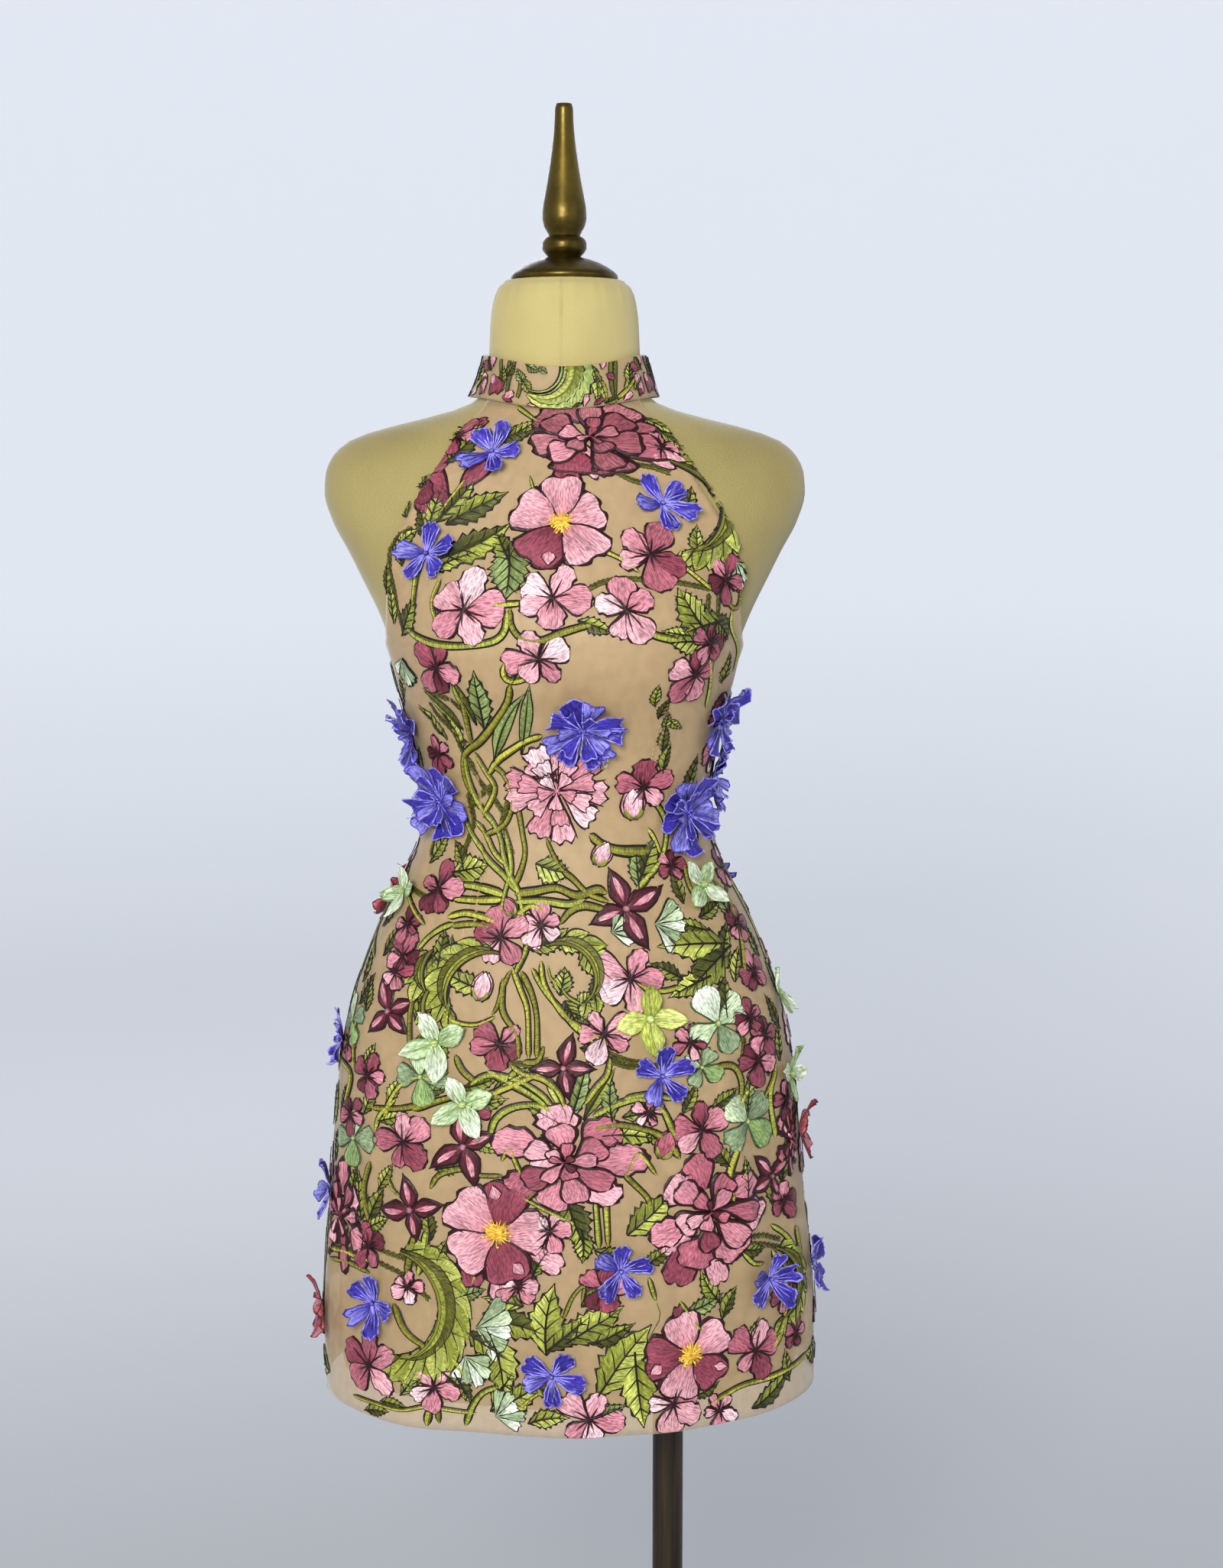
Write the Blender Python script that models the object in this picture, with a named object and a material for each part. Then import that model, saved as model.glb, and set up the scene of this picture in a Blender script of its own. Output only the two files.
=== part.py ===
"""Halter mini dress worn by a limbless dress form on a pole stand.

The dress is a sheer embroidered overlay on a plain lining, hung from a stand neckband, with cut-out
blossoms sewn on by their middles. Its front is one panel, and its back is two panels that stop at
the underarm. The form is a padded torso with a turned finial on its neck, and its pole stands off
the middle of a round base.

Metres, +Z up. The front faces -Y, +X is on the right seen from the front, and the origin is on the
floor under the middle of the base. Levels are heights measured from the widest level of the
shoulders, and angles turn about the upright axis of the body, from the front towards +X.
"""

import math
from collections import namedtuple

import bmesh
import bpy
from mathutils import Vector
from mathutils.bvhtree import BVHTree

SHOULDER_HEIGHT = 1.380
CLEARANCE = 0.0003

# Cloth
LINING_THICKNESS = 0.0010
OVERLAY_THICKNESS = 0.0010
BAND_THICKNESS = 0.0016
LINING_EASE = 0.0028
LAYER_GAP = 0.0006
SEAM_GAP = 0.0006

# Levels of the dress
OVERLAY_HEM = -0.757
LINING_HEM = -0.737
UNDERARM = -0.138
ARMHOLE_TURN = 0.012
BACK_DIP = 0.034
NECK_SEAM_FRONT = 0.0520
NECK_SEAM_RISE = 0.0100
BAND_HEIGHT = 0.0330

# Grid of the panels
FRONT_COLUMNS = 16
BACK_COLUMNS = 8
SKIRT_ROWS = 17
ARMHOLE_ROWS = 4
YOKE_ROWS = 9

# Form and stand
FORM_COLUMNS = 28
WIDEST_FORM_STEP = 0.045
FORM_BOTTOM = -0.640
POLE_RADIUS = 0.0130
POLE_OFFSET = 0.0860
BASE_RADIUS = 0.2300
BASE_THICKNESS = 0.0240
BASE_BEVEL = 0.0040
SOCKET_RADIUS = 0.0240
SOCKET_HEIGHT = 0.0450
SOCKET_BEVEL = 0.0020
FLANGE_RADIUS = 0.0380
FLANGE_THICKNESS = 0.0080
BASE_SIDES = 40
POLE_SIDES = 16
FINIAL_SIDES = 16

Section = namedtuple("Section", "level half_width front back squareness")

# Torso of the form, from its bottom to the top of its neck.
TORSO = (
    Section(FORM_BOTTOM, 0.150, 0.092, 0.096, 2.20),
    Section(-0.610, 0.160, 0.100, 0.104, 2.20),
    Section(-0.540, 0.166, 0.106, 0.114, 2.20),
    Section(-0.470, 0.165, 0.108, 0.121, 2.25),
    Section(-0.413, 0.156, 0.106, 0.118, 2.25),
    Section(-0.375, 0.144, 0.102, 0.110, 2.25),
    Section(-0.336, 0.127, 0.096, 0.098, 2.25),
    Section(-0.300, 0.112, 0.090, 0.087, 2.25),
    Section(-0.268, 0.109, 0.087, 0.083, 2.25),
    Section(-0.235, 0.112, 0.089, 0.087, 2.30),
    Section(-0.196, 0.120, 0.094, 0.094, 2.35),
    Section(-0.160, 0.130, 0.099, 0.101, 2.40),
    Section(-0.146, 0.134, 0.100, 0.103, 2.40),
    Section(-0.126, 0.142, 0.101, 0.105, 2.40),
    Section(-0.106, 0.151, 0.101, 0.107, 2.35),
    Section(-0.083, 0.163, 0.099, 0.107, 2.25),
    Section(-0.058, 0.1755, 0.096, 0.106, 2.25),
    Section(-0.034, 0.188, 0.091, 0.104, 2.30),
    Section(-0.012, 0.194, 0.085, 0.100, 2.35),
    Section(0.003, 0.193, 0.080, 0.096, 2.35),
    Section(0.016, 0.188, 0.075, 0.091, 2.25),
    Section(0.028, 0.176, 0.070, 0.085, 2.05),
    Section(0.036, 0.158, 0.067, 0.080, 1.90),
    Section(0.043, 0.132, 0.064, 0.076, 1.80),
    Section(0.050, 0.103, 0.062, 0.072, 1.80),
    Section(0.057, 0.080, 0.060, 0.068, 1.85),
    Section(0.065, 0.067, 0.059, 0.065, 1.95),
    Section(0.078, 0.062, 0.058, 0.063, 2.00),
    Section(0.100, 0.0605, 0.058, 0.060, 2.00),
    Section(0.122, 0.0595, 0.058, 0.059, 2.00),
    Section(0.139, 0.0575, 0.056, 0.057, 2.00),
    Section(0.150, 0.0535, 0.053, 0.053, 2.00),
    Section(0.1555, 0.0480, 0.048, 0.048, 2.00),
)

# Where the skirt hangs clear of the hips.
SKIRT = (
    Section(-0.800, 0.2025, 0.132, 0.138, 2.15),
    Section(-0.757, 0.2035, 0.131, 0.137, 2.15),
    Section(-0.700, 0.2040, 0.129, 0.136, 2.15),
    Section(-0.640, 0.2005, 0.126, 0.134, 2.15),
    Section(-0.570, 0.1940, 0.123, 0.132, 2.20),
    Section(-0.500, 0.1885, 0.119, 0.130, 2.20),
    Section(-0.440, 0.1780, 0.115, 0.126, 2.25),
    Section(-0.387, 0.1600, 0.109, 0.117, 2.25),
    Section(-0.349, 0.1435, 0.103, 0.107, 2.25),
    Section(-0.317, 0.1270, 0.098, 0.098, 2.25),
    Section(-0.300, 0.1190, 0.095, 0.094, 2.25),
    Section(-0.283, 0.1150, 0.0925, 0.090, 2.25),
    Section(-0.262, 0.1145, 0.0910, 0.088, 2.25),
    Section(-0.225, 0.1185, 0.094, 0.092, 2.30),
    Section(-0.190, 0.1260, 0.099, 0.098, 2.35),
    Section(-0.150, 0.1350, 0.102, 0.104, 2.40),
    Section(-0.100, 0.1350, 0.090, 0.090, 2.40),
)

# How far inside the overlay the lining hangs at the sides.
Slack = namedtuple("Slack", "level inside")
LINING_SLACK = (
    Slack(-0.800, 0.0120),
    Slack(-0.700, 0.0090),
    Slack(-0.560, 0.0040),
    Slack(-0.420, 0.0000),
    Slack(0.000, 0.0000),
)

# Bust of the form: two swells, which the cloth bridges.
BUST_LEVEL = -0.128
BUST_ACROSS = 0.072
BUST_SWELL = 0.026
BUST_SPREAD = 0.038
BUST_RISE = 0.050
BUST_FALL = 0.042
BRIDGE_SWELL = 0.016
BRIDGE_SPREAD = 0.040

# Edge of the front panel above the underarm, as half its width seen from the front.
Edge = namedtuple("Edge", "level across")
HALTER_EDGE = (
    Edge(-0.1260, 0.1400),
    Edge(-0.1175, 0.1392),
    Edge(-0.0805, 0.1365),
    Edge(-0.0570, 0.1340),
    Edge(-0.0440, 0.1280),
    Edge(-0.0300, 0.1195),
    Edge(0.0000, 0.1005),
    Edge(0.0300, 0.0815),
    Edge(0.0620, 0.0640),
)

Turning = namedtuple("Turning", "level radius")
FINIAL = (
    Turning(0.1560, 0.0415),
    Turning(0.1580, 0.0430),
    Turning(0.1605, 0.0425),
    Turning(0.1640, 0.0385),
    Turning(0.1690, 0.0300),
    Turning(0.1725, 0.0210),
    Turning(0.1748, 0.0130),
    Turning(0.1780, 0.0160),
    Turning(0.1815, 0.0178),
    Turning(0.1855, 0.0178),
    Turning(0.1890, 0.0160),
    Turning(0.1912, 0.0125),
    Turning(0.1945, 0.0140),
    Turning(0.1990, 0.0165),
    Turning(0.2050, 0.0178),
    Turning(0.2120, 0.0175),
    Turning(0.2220, 0.0158),
    Turning(0.2340, 0.0135),
    Turning(0.2480, 0.0112),
    Turning(0.2640, 0.0090),
    Turning(0.2800, 0.0076),
    Turning(0.2905, 0.0072),
    Turning(0.2935, 0.0062),
)

Finish = namedtuple("Finish", "colour roughness metallic")
FINISHES = {
    "lining": Finish((0.50, 0.36, 0.22), 0.55, 0.0),
    "overlay": Finish((0.46, 0.38, 0.20), 0.70, 0.0),
    "violet": Finish((0.09, 0.06, 0.50), 0.45, 0.0),
    "mint": Finish((0.52, 0.68, 0.42), 0.55, 0.0),
    "rose": Finish((0.45, 0.09, 0.12), 0.55, 0.0),
    "jersey": Finish((0.50, 0.42, 0.20), 0.85, 0.0),
    "gilt": Finish((0.30, 0.20, 0.06), 0.35, 0.9),
    "dark_wood": Finish((0.045, 0.030, 0.018), 0.50, 0.0),
    "steel": Finish((0.25, 0.24, 0.22), 0.35, 1.0),
    "button": Finish((0.46, 0.33, 0.20), 0.50, 0.0),
}


def blend_through(table, level):
    """Values of a table at a level, on a smooth curve through its rows that adds no bumps."""
    rows = sorted(table, key=lambda row: row[0])
    level = min(max(level, rows[0][0]), rows[-1][0])
    index = next(i for i in range(1, len(rows)) if level <= rows[i][0])
    step = rows[index][0] - rows[index - 1][0]
    share = (level - rows[index - 1][0]) / step

    def slope(column, knot):
        if knot in (0, len(rows) - 1):
            return 0.0
        before = rows[knot][0] - rows[knot - 1][0]
        after = rows[knot + 1][0] - rows[knot][0]
        rise_in = (rows[knot][column] - rows[knot - 1][column]) / before
        rise_out = (rows[knot + 1][column] - rows[knot][column]) / after
        if rise_in * rise_out <= 0.0:
            return 0.0
        weight_in, weight_out = 2 * after + before, after + 2 * before
        return (weight_in + weight_out) / (weight_in / rise_in + weight_out / rise_out)

    values = []
    for column in range(1, len(rows[0])):
        low, high = rows[index - 1][column], rows[index][column]
        leave, arrive = slope(column, index - 1) * step, slope(column, index) * step
        square, cube = share**2, share**3
        values.append(
            low * (2 * cube - 3 * square + 1)
            + leave * (cube - 2 * square + share)
            + high * (3 * square - 2 * cube)
            + arrive * (cube - square)
        )
    return values


def ring_radius(table, angle, level):
    """Distance from the axis to the outline of a section, which has its own front and back."""
    half_width, front, back, squareness = blend_through(table, level)
    depth = front if math.cos(angle) > 0 else back
    across = (abs(math.sin(angle)) / half_width) ** squareness
    ahead = (abs(math.cos(angle)) / depth) ** squareness
    return (across + ahead) ** (-1 / squareness)


def bell(distance, spread):
    """A bell curve, 1 at no distance."""
    return math.exp(-0.5 * (distance / spread) ** 2)


def bust_swell(across, level, bridged):
    """How far the bust stands out of the torso section, with or without cloth over its middle."""
    off = level - BUST_LEVEL
    upright = bell(off, BUST_RISE if off > 0 else BUST_FALL)
    swell = BUST_SWELL * (
        bell(across - BUST_ACROSS, BUST_SPREAD) + bell(across + BUST_ACROSS, BUST_SPREAD)
    )
    if bridged:
        swell += BRIDGE_SWELL * bell(across, BRIDGE_SPREAD)
    return swell * upright


def torso_radius(angle, level, bridged=False):
    """Distance from the axis to the padded torso."""
    radius = ring_radius(TORSO, angle, level)
    if math.cos(angle) <= 0:
        return radius
    facing = math.cos(angle) ** 0.5
    return radius + facing * bust_swell(radius * math.sin(angle), level, bridged)


def larger_of(first, second, rounding):
    """The larger of two lengths, rounded where they are nearly equal."""
    near = max(rounding - abs(first - second), 0.0)
    return max(first, second) + near**2 / (4 * rounding)


def flutes(angle, level):
    """Soft upright waves that open towards the hem of the skirt."""
    hang = min(max((-0.50 - level) / 0.26, 0.0), 1.0)
    wave = math.sin(5 * angle + 0.6) + 0.6 * math.sin(8 * angle + 2.1) + 0.4 * math.sin(13 * angle)
    return 0.0022 * wave * hang**1.5


def dress_radius(angle, level, layer):
    """Distance from the axis to the inner face of the lining, or of the room for the overlay."""
    on_form = torso_radius(angle, level, bridged=True) + LINING_EASE
    if level > SKIRT[-1].level:
        return on_form
    hanging = ring_radius(SKIRT, angle, level) + flutes(angle, level)
    if layer == "lining":
        (slack,) = blend_through(LINING_SLACK, level)
        hanging -= slack * (0.35 + abs(math.sin(angle)) ** 1.5)
    return larger_of(on_form, hanging, 0.006)


def at_radius(radius, angle, level):
    """The point at a distance from the axis."""
    return Vector((radius * math.sin(angle), -radius * math.cos(angle), SHOULDER_HEIGHT + level))


def dress_point(angle, level, layer, lift):
    """A point of a layer of the dress, moved out by lift along the cloth's own normal."""

    def bare(turn, height):
        return at_radius(dress_radius(turn, height, layer), turn, height)

    step = 0.004
    around = bare(angle + 2 * step, level) - bare(angle - 2 * step, level)
    upward = bare(angle, level + step) - bare(angle, level - step)
    return bare(angle, level) + around.cross(upward).normalized() * lift


LINING_LIFTS = (0.0, LINING_THICKNESS)
OVERLAY_FACE = LINING_THICKNESS + LAYER_GAP + OVERLAY_THICKNESS
OVERLAY_LIFTS = (OVERLAY_FACE - OVERLAY_THICKNESS, OVERLAY_FACE)


def angle_at(across, level):
    """The angle at which the dress is that far across, seen from the front."""
    low, high = 0.0, math.pi / 2
    for _ in range(40):
        middle = (low + high) / 2
        if dress_radius(middle, level, "overlay") * math.sin(middle) < across:
            low = middle
        else:
            high = middle
    return low


def neck_seam_level(angle):
    """Level of the seam between the dress and the neckband, lowest in front."""
    return NECK_SEAM_FRONT + NECK_SEAM_RISE * math.sin(min(abs(angle) * 1.1, math.pi / 2)) ** 2


def half_seam(level):
    """The angle that half a seam's gap takes up at a side of the dress."""
    return SEAM_GAP / 2 / ring_radius(SKIRT, math.pi / 2, level)


def halter_angle(level):
    """Half the angle that the front panel covers at a level, rounded under the arm."""
    side = math.pi / 2 - half_seam(level)
    if level <= UNDERARM:
        return side
    above_turn = max(level, UNDERARM + ARMHOLE_TURN)
    (across,) = blend_through(HALTER_EDGE, above_turn)
    edge = angle_at(across, above_turn)
    share = min((level - UNDERARM) / ARMHOLE_TURN, 1.0)
    return side + (edge - side) * math.sqrt(share)


def even_levels(low, high, rows):
    """Evenly spaced levels of a number of rows, both ends included."""
    return [low + (high - low) * i / rows for i in range(rows + 1)]


def skirt_levels(layer):
    """Levels of a panel's rows from its hem to the underarm. Both layers share them above the hems."""
    levels = even_levels(LINING_HEM, UNDERARM, SKIRT_ROWS)
    return [OVERLAY_HEM, *levels] if layer == "overlay" else levels


def yoke_levels():
    """Pairs of levels of the yoke's rows above the underarm, in the middle and at the edge."""
    turn = UNDERARM + ARMHOLE_TURN
    edge = [UNDERARM + ARMHOLE_TURN * (i / ARMHOLE_ROWS) ** 2 for i in range(1, ARMHOLE_ROWS)]
    edge += even_levels(turn, NECK_SEAM_FRONT, YOKE_ROWS)
    return list(zip(even_levels(UNDERARM, NECK_SEAM_FRONT, len(edge))[1:], edge))


def new_object(name, build, finish):
    """Links a built mesh as an object with the named finish, shaded smooth but for sharp edges."""
    bmesh.ops.recalc_face_normals(build, faces=build.faces)
    mesh = bpy.data.meshes.new(name)
    build.to_mesh(mesh)
    build.free()
    material = bpy.data.materials.get(finish)
    if material is None:
        colour, roughness, metallic = FINISHES[finish]
        material = bpy.data.materials.new(finish)
        material.use_nodes = True
        shader = material.node_tree.nodes["Principled BSDF"]
        shader.inputs["Base Color"].default_value = (*colour, 1.0)
        shader.inputs["Roughness"].default_value = roughness
        shader.inputs["Metallic"].default_value = metallic
    mesh.materials.append(material)
    mesh.shade_smooth()
    mesh.set_sharp_from_angle(angle=math.radians(40))
    item = bpy.data.objects.new(name, mesh)
    bpy.context.scene.collection.objects.link(item)
    return item


def strip_of_quads(build, lower, upper, around=False):
    """Joins two rows of points, and their ends too where the rows run all the way round."""
    for j in range(len(lower) if around else len(lower) - 1):
        n = (j + 1) % len(lower)
        build.faces.new((lower[j], lower[n], upper[n], upper[j]))


def mirrored_triangles(build, lower, upper):
    """Joins two rows of points by triangles that lean towards the middle on both sides."""
    middle = len(lower) // 2
    for j in range(len(lower) - 1):
        corners = [lower[j], lower[j + 1], upper[j + 1], upper[j]]
        if j < middle:
            corners = corners[1:] + corners[:1]
        build.faces.new(corners[:3])
        build.faces.new((corners[0], corners[2], corners[3]))


def wall(name, finish, inner, outer):
    """A cloth wall between two grids of points, each a list of rows, closed along its edges."""
    build = bmesh.new()
    inside, outside = (
        [[build.verts.new(point) for point in row] for row in grid] for grid in (inner, outer)
    )
    for rows in (inside, outside):
        for lower, upper in zip(rows, rows[1:]):
            mirrored_triangles(build, lower, upper)
    for end in (0, -1):
        strip_of_quads(build, inside[end], outside[end])
        strip_of_quads(build, [row[end] for row in inside], [row[end] for row in outside])
    return new_object(name, build, finish)


def loft(name, finish, rings):
    """A solid through closed rings of points, with flat ends."""
    build = bmesh.new()
    rings = [[build.verts.new(point) for point in ring] for ring in rings]
    build.faces.new(rings[0])
    build.faces.new(rings[-1])
    for lower, upper in zip(rings, rings[1:]):
        strip_of_quads(build, lower, upper, around=True)
    return new_object(name, build, finish)


def circle(centre, height, radius, sides):
    """Points of a level circle."""
    turns = [2 * math.pi * k / sides for k in range(sides)]
    return [
        (centre[0] + radius * math.cos(turn), centre[1] + radius * math.sin(turn), height)
        for turn in turns
    ]


def front_grid(layer, lift):
    """Points of the front panel: rows from the hem to the neck seam, columns across."""
    grid = []
    for middle, edge in [(level, level) for level in skirt_levels(layer)] + yoke_levels():
        reach = halter_angle(edge)
        near_neck = max(middle - UNDERARM, 0.0) / (NECK_SEAM_FRONT - UNDERARM)
        row = []
        for j in range(FRONT_COLUMNS + 1):
            share = 2 * j / FRONT_COLUMNS - 1
            angle = reach * share
            rise = (neck_seam_level(angle) - NECK_SEAM_FRONT) * near_neck**3
            level = middle + (edge - middle) * share**2 + rise
            row.append(dress_point(angle, level, layer, lift))
        grid.append(row)
    return grid


def back_grid(side, layer, lift):
    """Points of one back panel, from its side seam to the middle of the back. side is 1 for +X."""
    grid = []
    for level in skirt_levels(layer):
        row = []
        for j in range(BACK_COLUMNS + 1):
            share = j / BACK_COLUMNS
            dip = BACK_DIP * math.sin(math.pi / 2 * share) ** 2
            height = (level - LINING_HEM) / (UNDERARM - LINING_HEM)
            lowered = level - dip * max(height, 0.0) ** 3
            start = math.pi / 2 + half_seam(level)
            end = math.pi - 1.5 * half_seam(level)
            row.append(dress_point(side * (start + (end - start) * share), lowered, layer, lift))
        grid.append(row)
    return grid


def make_panels():
    """The front and the two backs, in lining and in overlay. Returns the overlay's objects."""
    overlay = []
    for layer, lifts in (("lining", LINING_LIFTS), ("overlay", OVERLAY_LIFTS)):
        made = [wall(f"{layer}_front", layer, *(front_grid(layer, lift) for lift in lifts))]
        for side, word in ((1, "right"), (-1, "left")):
            grids = (back_grid(side, layer, lift) for lift in lifts)
            made.append(wall(f"{layer}_back_{word}", layer, *grids))
        overlay = made
    return overlay


BAND_COLUMNS = 36
BAND_ROWS = 2
BAND_END = math.pi - SEAM_GAP / 2 / 0.064
BAND_TOP_RADIUS = 0.0640
BAND_FLARE = 0.0010
BUTTON_ANGLE = math.radians(174.0)
BUTTON_RADIUS = 0.0048
BUTTON_HEIGHT = 0.0030
BUTTON_SIDES = 12
BUTTON_PLACES = (0.26, 0.74)


def band_point(angle, share, lift):
    """A point of the neckband. share runs from its seam, 0, to its top edge, 1."""
    seam = dress_point(angle, neck_seam_level(angle), "overlay", OVERLAY_FACE)
    foot = math.hypot(seam.x, seam.y) + BAND_FLARE
    radius = foot + (BAND_TOP_RADIUS - foot) * share**0.8 + lift
    level = seam.z - SHOULDER_HEIGHT + CLEARANCE + BAND_HEIGHT * share
    return at_radius(radius, angle, level)


def make_neckband():
    """The stand neckband, open at the nape, and the two buttons that close it."""
    turns = [BAND_END * (2 * j / BAND_COLUMNS - 1) for j in range(BAND_COLUMNS + 1)]
    grids = [
        [[band_point(turn, i / BAND_ROWS, lift) for turn in turns] for i in range(BAND_ROWS + 1)]
        for lift in (0.0, BAND_THICKNESS)
    ]
    wall("neckband", "overlay", *grids)
    for number, share in enumerate(BUTTON_PLACES, start=1):
        place = band_point(BUTTON_ANGLE, share, BAND_THICKNESS)
        around = band_point(BUTTON_ANGLE + 0.02, share, BAND_THICKNESS) - place
        upward = band_point(BUTTON_ANGLE, share + 0.1, BAND_THICKNESS) - place
        outward = around.cross(upward).normalized()
        button(f"neckband_button_{number}", place + outward * CLEARANCE, outward)


def button(name, foot, outward):
    """A covered button: a low dome whose flat side is at foot."""
    turn = outward.to_track_quat("Z", "Y")
    profile = ((0.0, 1.0), (0.45, 0.94), (0.85, 0.55), (1.0, 0.15))
    rings = [
        [
            foot + turn @ Vector(point)
            for point in circle((0, 0), BUTTON_HEIGHT * rise, BUTTON_RADIUS * size, BUTTON_SIDES)
        ]
        for rise, size in profile
    ]
    loft(name, "button", rings)


# Cut-out blossoms, sewn on by their middles.
# lobes: petals. points: corners of a petal's edge. notch: where two petals part, as a share of the
# radius. cup: how far the tips stand off the cloth. ruffle: how far the edge waves up and down.
Bloom = namedtuple("Bloom", "finish lobes points notch cup ruffle")
BLOOMS = {
    "violet": Bloom("violet", 5, 3, 0.50, 0.0085, 0.0022),
    "cornflower": Bloom("violet", 8, 2, 0.76, 0.0080, 0.0030),
    "mint": Bloom("mint", 4, 4, 0.46, 0.0080, 0.0026),
    "rosette": Bloom("rose", 5, 3, 0.55, 0.0095, 0.0026),
}
BLOOM_THICKNESS = 0.0009
BLOOM_HEART = 0.26

# angle and turn in degrees, level and radius in metres
Place = namedtuple("Place", "kind angle level radius turn")
FRONT_PLACES = (
    Place("violet", -36.0, 0.018, 0.0240, 70),
    Place("violet", -48.5, -0.059, 0.0240, 20),
    Place("violet", 41.0, -0.021, 0.0245, 50),
    Place("violet", 35.0, -0.467, 0.0250, 90),
    Place("violet", 20.0, -0.622, 0.0245, 10),
    Place("violet", -4.0, -0.706, 0.0255, 62),
    Place("violet", -59.5, -0.661, 0.0260, 80),
    Place("violet", 64.5, -0.645, 0.0250, 5),
    Place("violet", -84.0, -0.462, 0.0245, 30),
    Place("violet", -82.0, -0.585, 0.0260, 55),
    Place("violet", 84.0, -0.652, 0.0250, 15),
    Place("cornflower", 8.5, -0.193, 0.0320, 0),
    Place("cornflower", -74.0, -0.203, 0.0290, 20),
    Place("cornflower", -59.0, -0.256, 0.0330, 40),
    Place("cornflower", 72.0, -0.192, 0.0290, 10),
    Place("cornflower", 59.0, -0.266, 0.0330, 30),
    Place("cornflower", 86.0, -0.243, 0.0280, 15),
    Place("mint", -72.0, -0.334, 0.0235, 20),
    Place("mint", 60.0, -0.324, 0.0240, 45),
    Place("mint", -45.0, -0.443, 0.0278, 25),
    Place("mint", -35.5, -0.490, 0.0278, 25),
    Place("mint", 32.0, -0.422, 0.0280, 0),
    Place("mint", 84.0, -0.423, 0.0240, 35),
    Place("mint", 79.0, -0.486, 0.0235, 75),
    Place("rosette", -80.0, -0.686, 0.0250, 40),
    Place("rosette", 83.0, -0.536, 0.0250, 15),
)
BACK_PLACES = (
    Place("violet", 116.0, -0.345, 0.0245, 15),
    Place("violet", -134.0, -0.425, 0.0260, 50),
    Place("violet", 144.0, -0.545, 0.0255, 30),
    Place("violet", -150.0, -0.640, 0.0245, 70),
    Place("violet", 112.0, -0.655, 0.0250, 5),
    Place("cornflower", 124.0, -0.232, 0.0320, 10),
    Place("cornflower", -128.0, -0.247, 0.0310, 35),
    Place("cornflower", -150.0, -0.330, 0.0300, 20),
    Place("mint", 148.0, -0.405, 0.0290, 25),
    Place("mint", -112.0, -0.530, 0.0270, 55),
    Place("mint", 152.0, -0.690, 0.0250, 40),
    Place("rosette", -104.0, -0.350, 0.0250, 30),
)


def bloom_grid(bloom, place, lift):
    """Points of one face of a blossom: a ring round its heart, and its rim of petals."""
    across = math.radians(place.angle)
    reach = dress_radius(across, place.level, "overlay")
    count = bloom.lobes * bloom.points
    heart, rim = [], []
    for k in range(count):
        turn = math.radians(place.turn) + 2 * math.pi * k / count
        petal = bloom.notch if k % bloom.points == 0 else 1.0
        wave = bloom.ruffle * math.sin(3 * turn)
        for ring, size, rise in ((heart, BLOOM_HEART, 0.0), (rim, petal, bloom.cup * petal + wave)):
            angle = across + place.radius * size * math.cos(turn) / reach
            level = place.level + place.radius * size * math.sin(turn)
            ring.append(dress_point(angle, level, "overlay", lift + rise))
    return heart, rim


def height_over(trees, points, outward):
    """How far the lowest of the points stands over the cloth, measured along outward."""
    above = outward * 0.05
    heights = []
    for point in points:
        hits = [tree.ray_cast(point + above, -outward)[3] for tree in trees]
        heights.extend(distance - above.length for distance in hits if distance is not None)
    return min(heights)


def make_blossoms(panels):
    """Every cut-out blossom, each seated just off the overlay under its middle."""
    trees = []
    for panel in panels:
        build = bmesh.new()
        build.from_mesh(panel.data)
        trees.append(BVHTree.FromBMesh(build))
        build.free()
    numbers = dict.fromkeys(BLOOMS, 0)
    for place in FRONT_PLACES + BACK_PLACES:
        numbers[place.kind] += 1
        bloom = BLOOMS[place.kind]
        under = bloom_grid(bloom, place, OVERLAY_FACE)
        upper = bloom_grid(bloom, place, OVERLAY_FACE + BLOOM_THICKNESS)
        heart, rim = under
        middle = sum(heart, Vector()) / len(heart)
        outward = (sum(upper[0], Vector()) / len(heart) - middle).normalized()
        shift = outward * (CLEARANCE - height_over(trees, [middle, *heart, *rim], outward))
        build = bmesh.new()
        rims = []
        for face in (under, upper):
            heart, rim = ([build.verts.new(point + shift) for point in ring] for ring in face)
            build.faces.new(heart)
            strip_of_quads(build, heart, rim, around=True)
            rims.append(rim)
        strip_of_quads(build, *rims, around=True)
        new_object(f"{place.kind}_{numbers[place.kind]:02d}", build, bloom.finish)


def make_form():
    """The padded torso, lofted through level sections with flat ends."""
    levels = [row.level for row in TORSO]
    between = [(a + b) / 2 for a, b in zip(levels, levels[1:]) if b - a > WIDEST_FORM_STEP]
    turns = [2 * math.pi * j / FORM_COLUMNS for j in range(FORM_COLUMNS)]
    rings = [
        [at_radius(torso_radius(turn, level), turn, level) for turn in turns]
        for level in sorted(levels + between)
    ]
    loft("form_torso", "jersey", rings)


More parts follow.
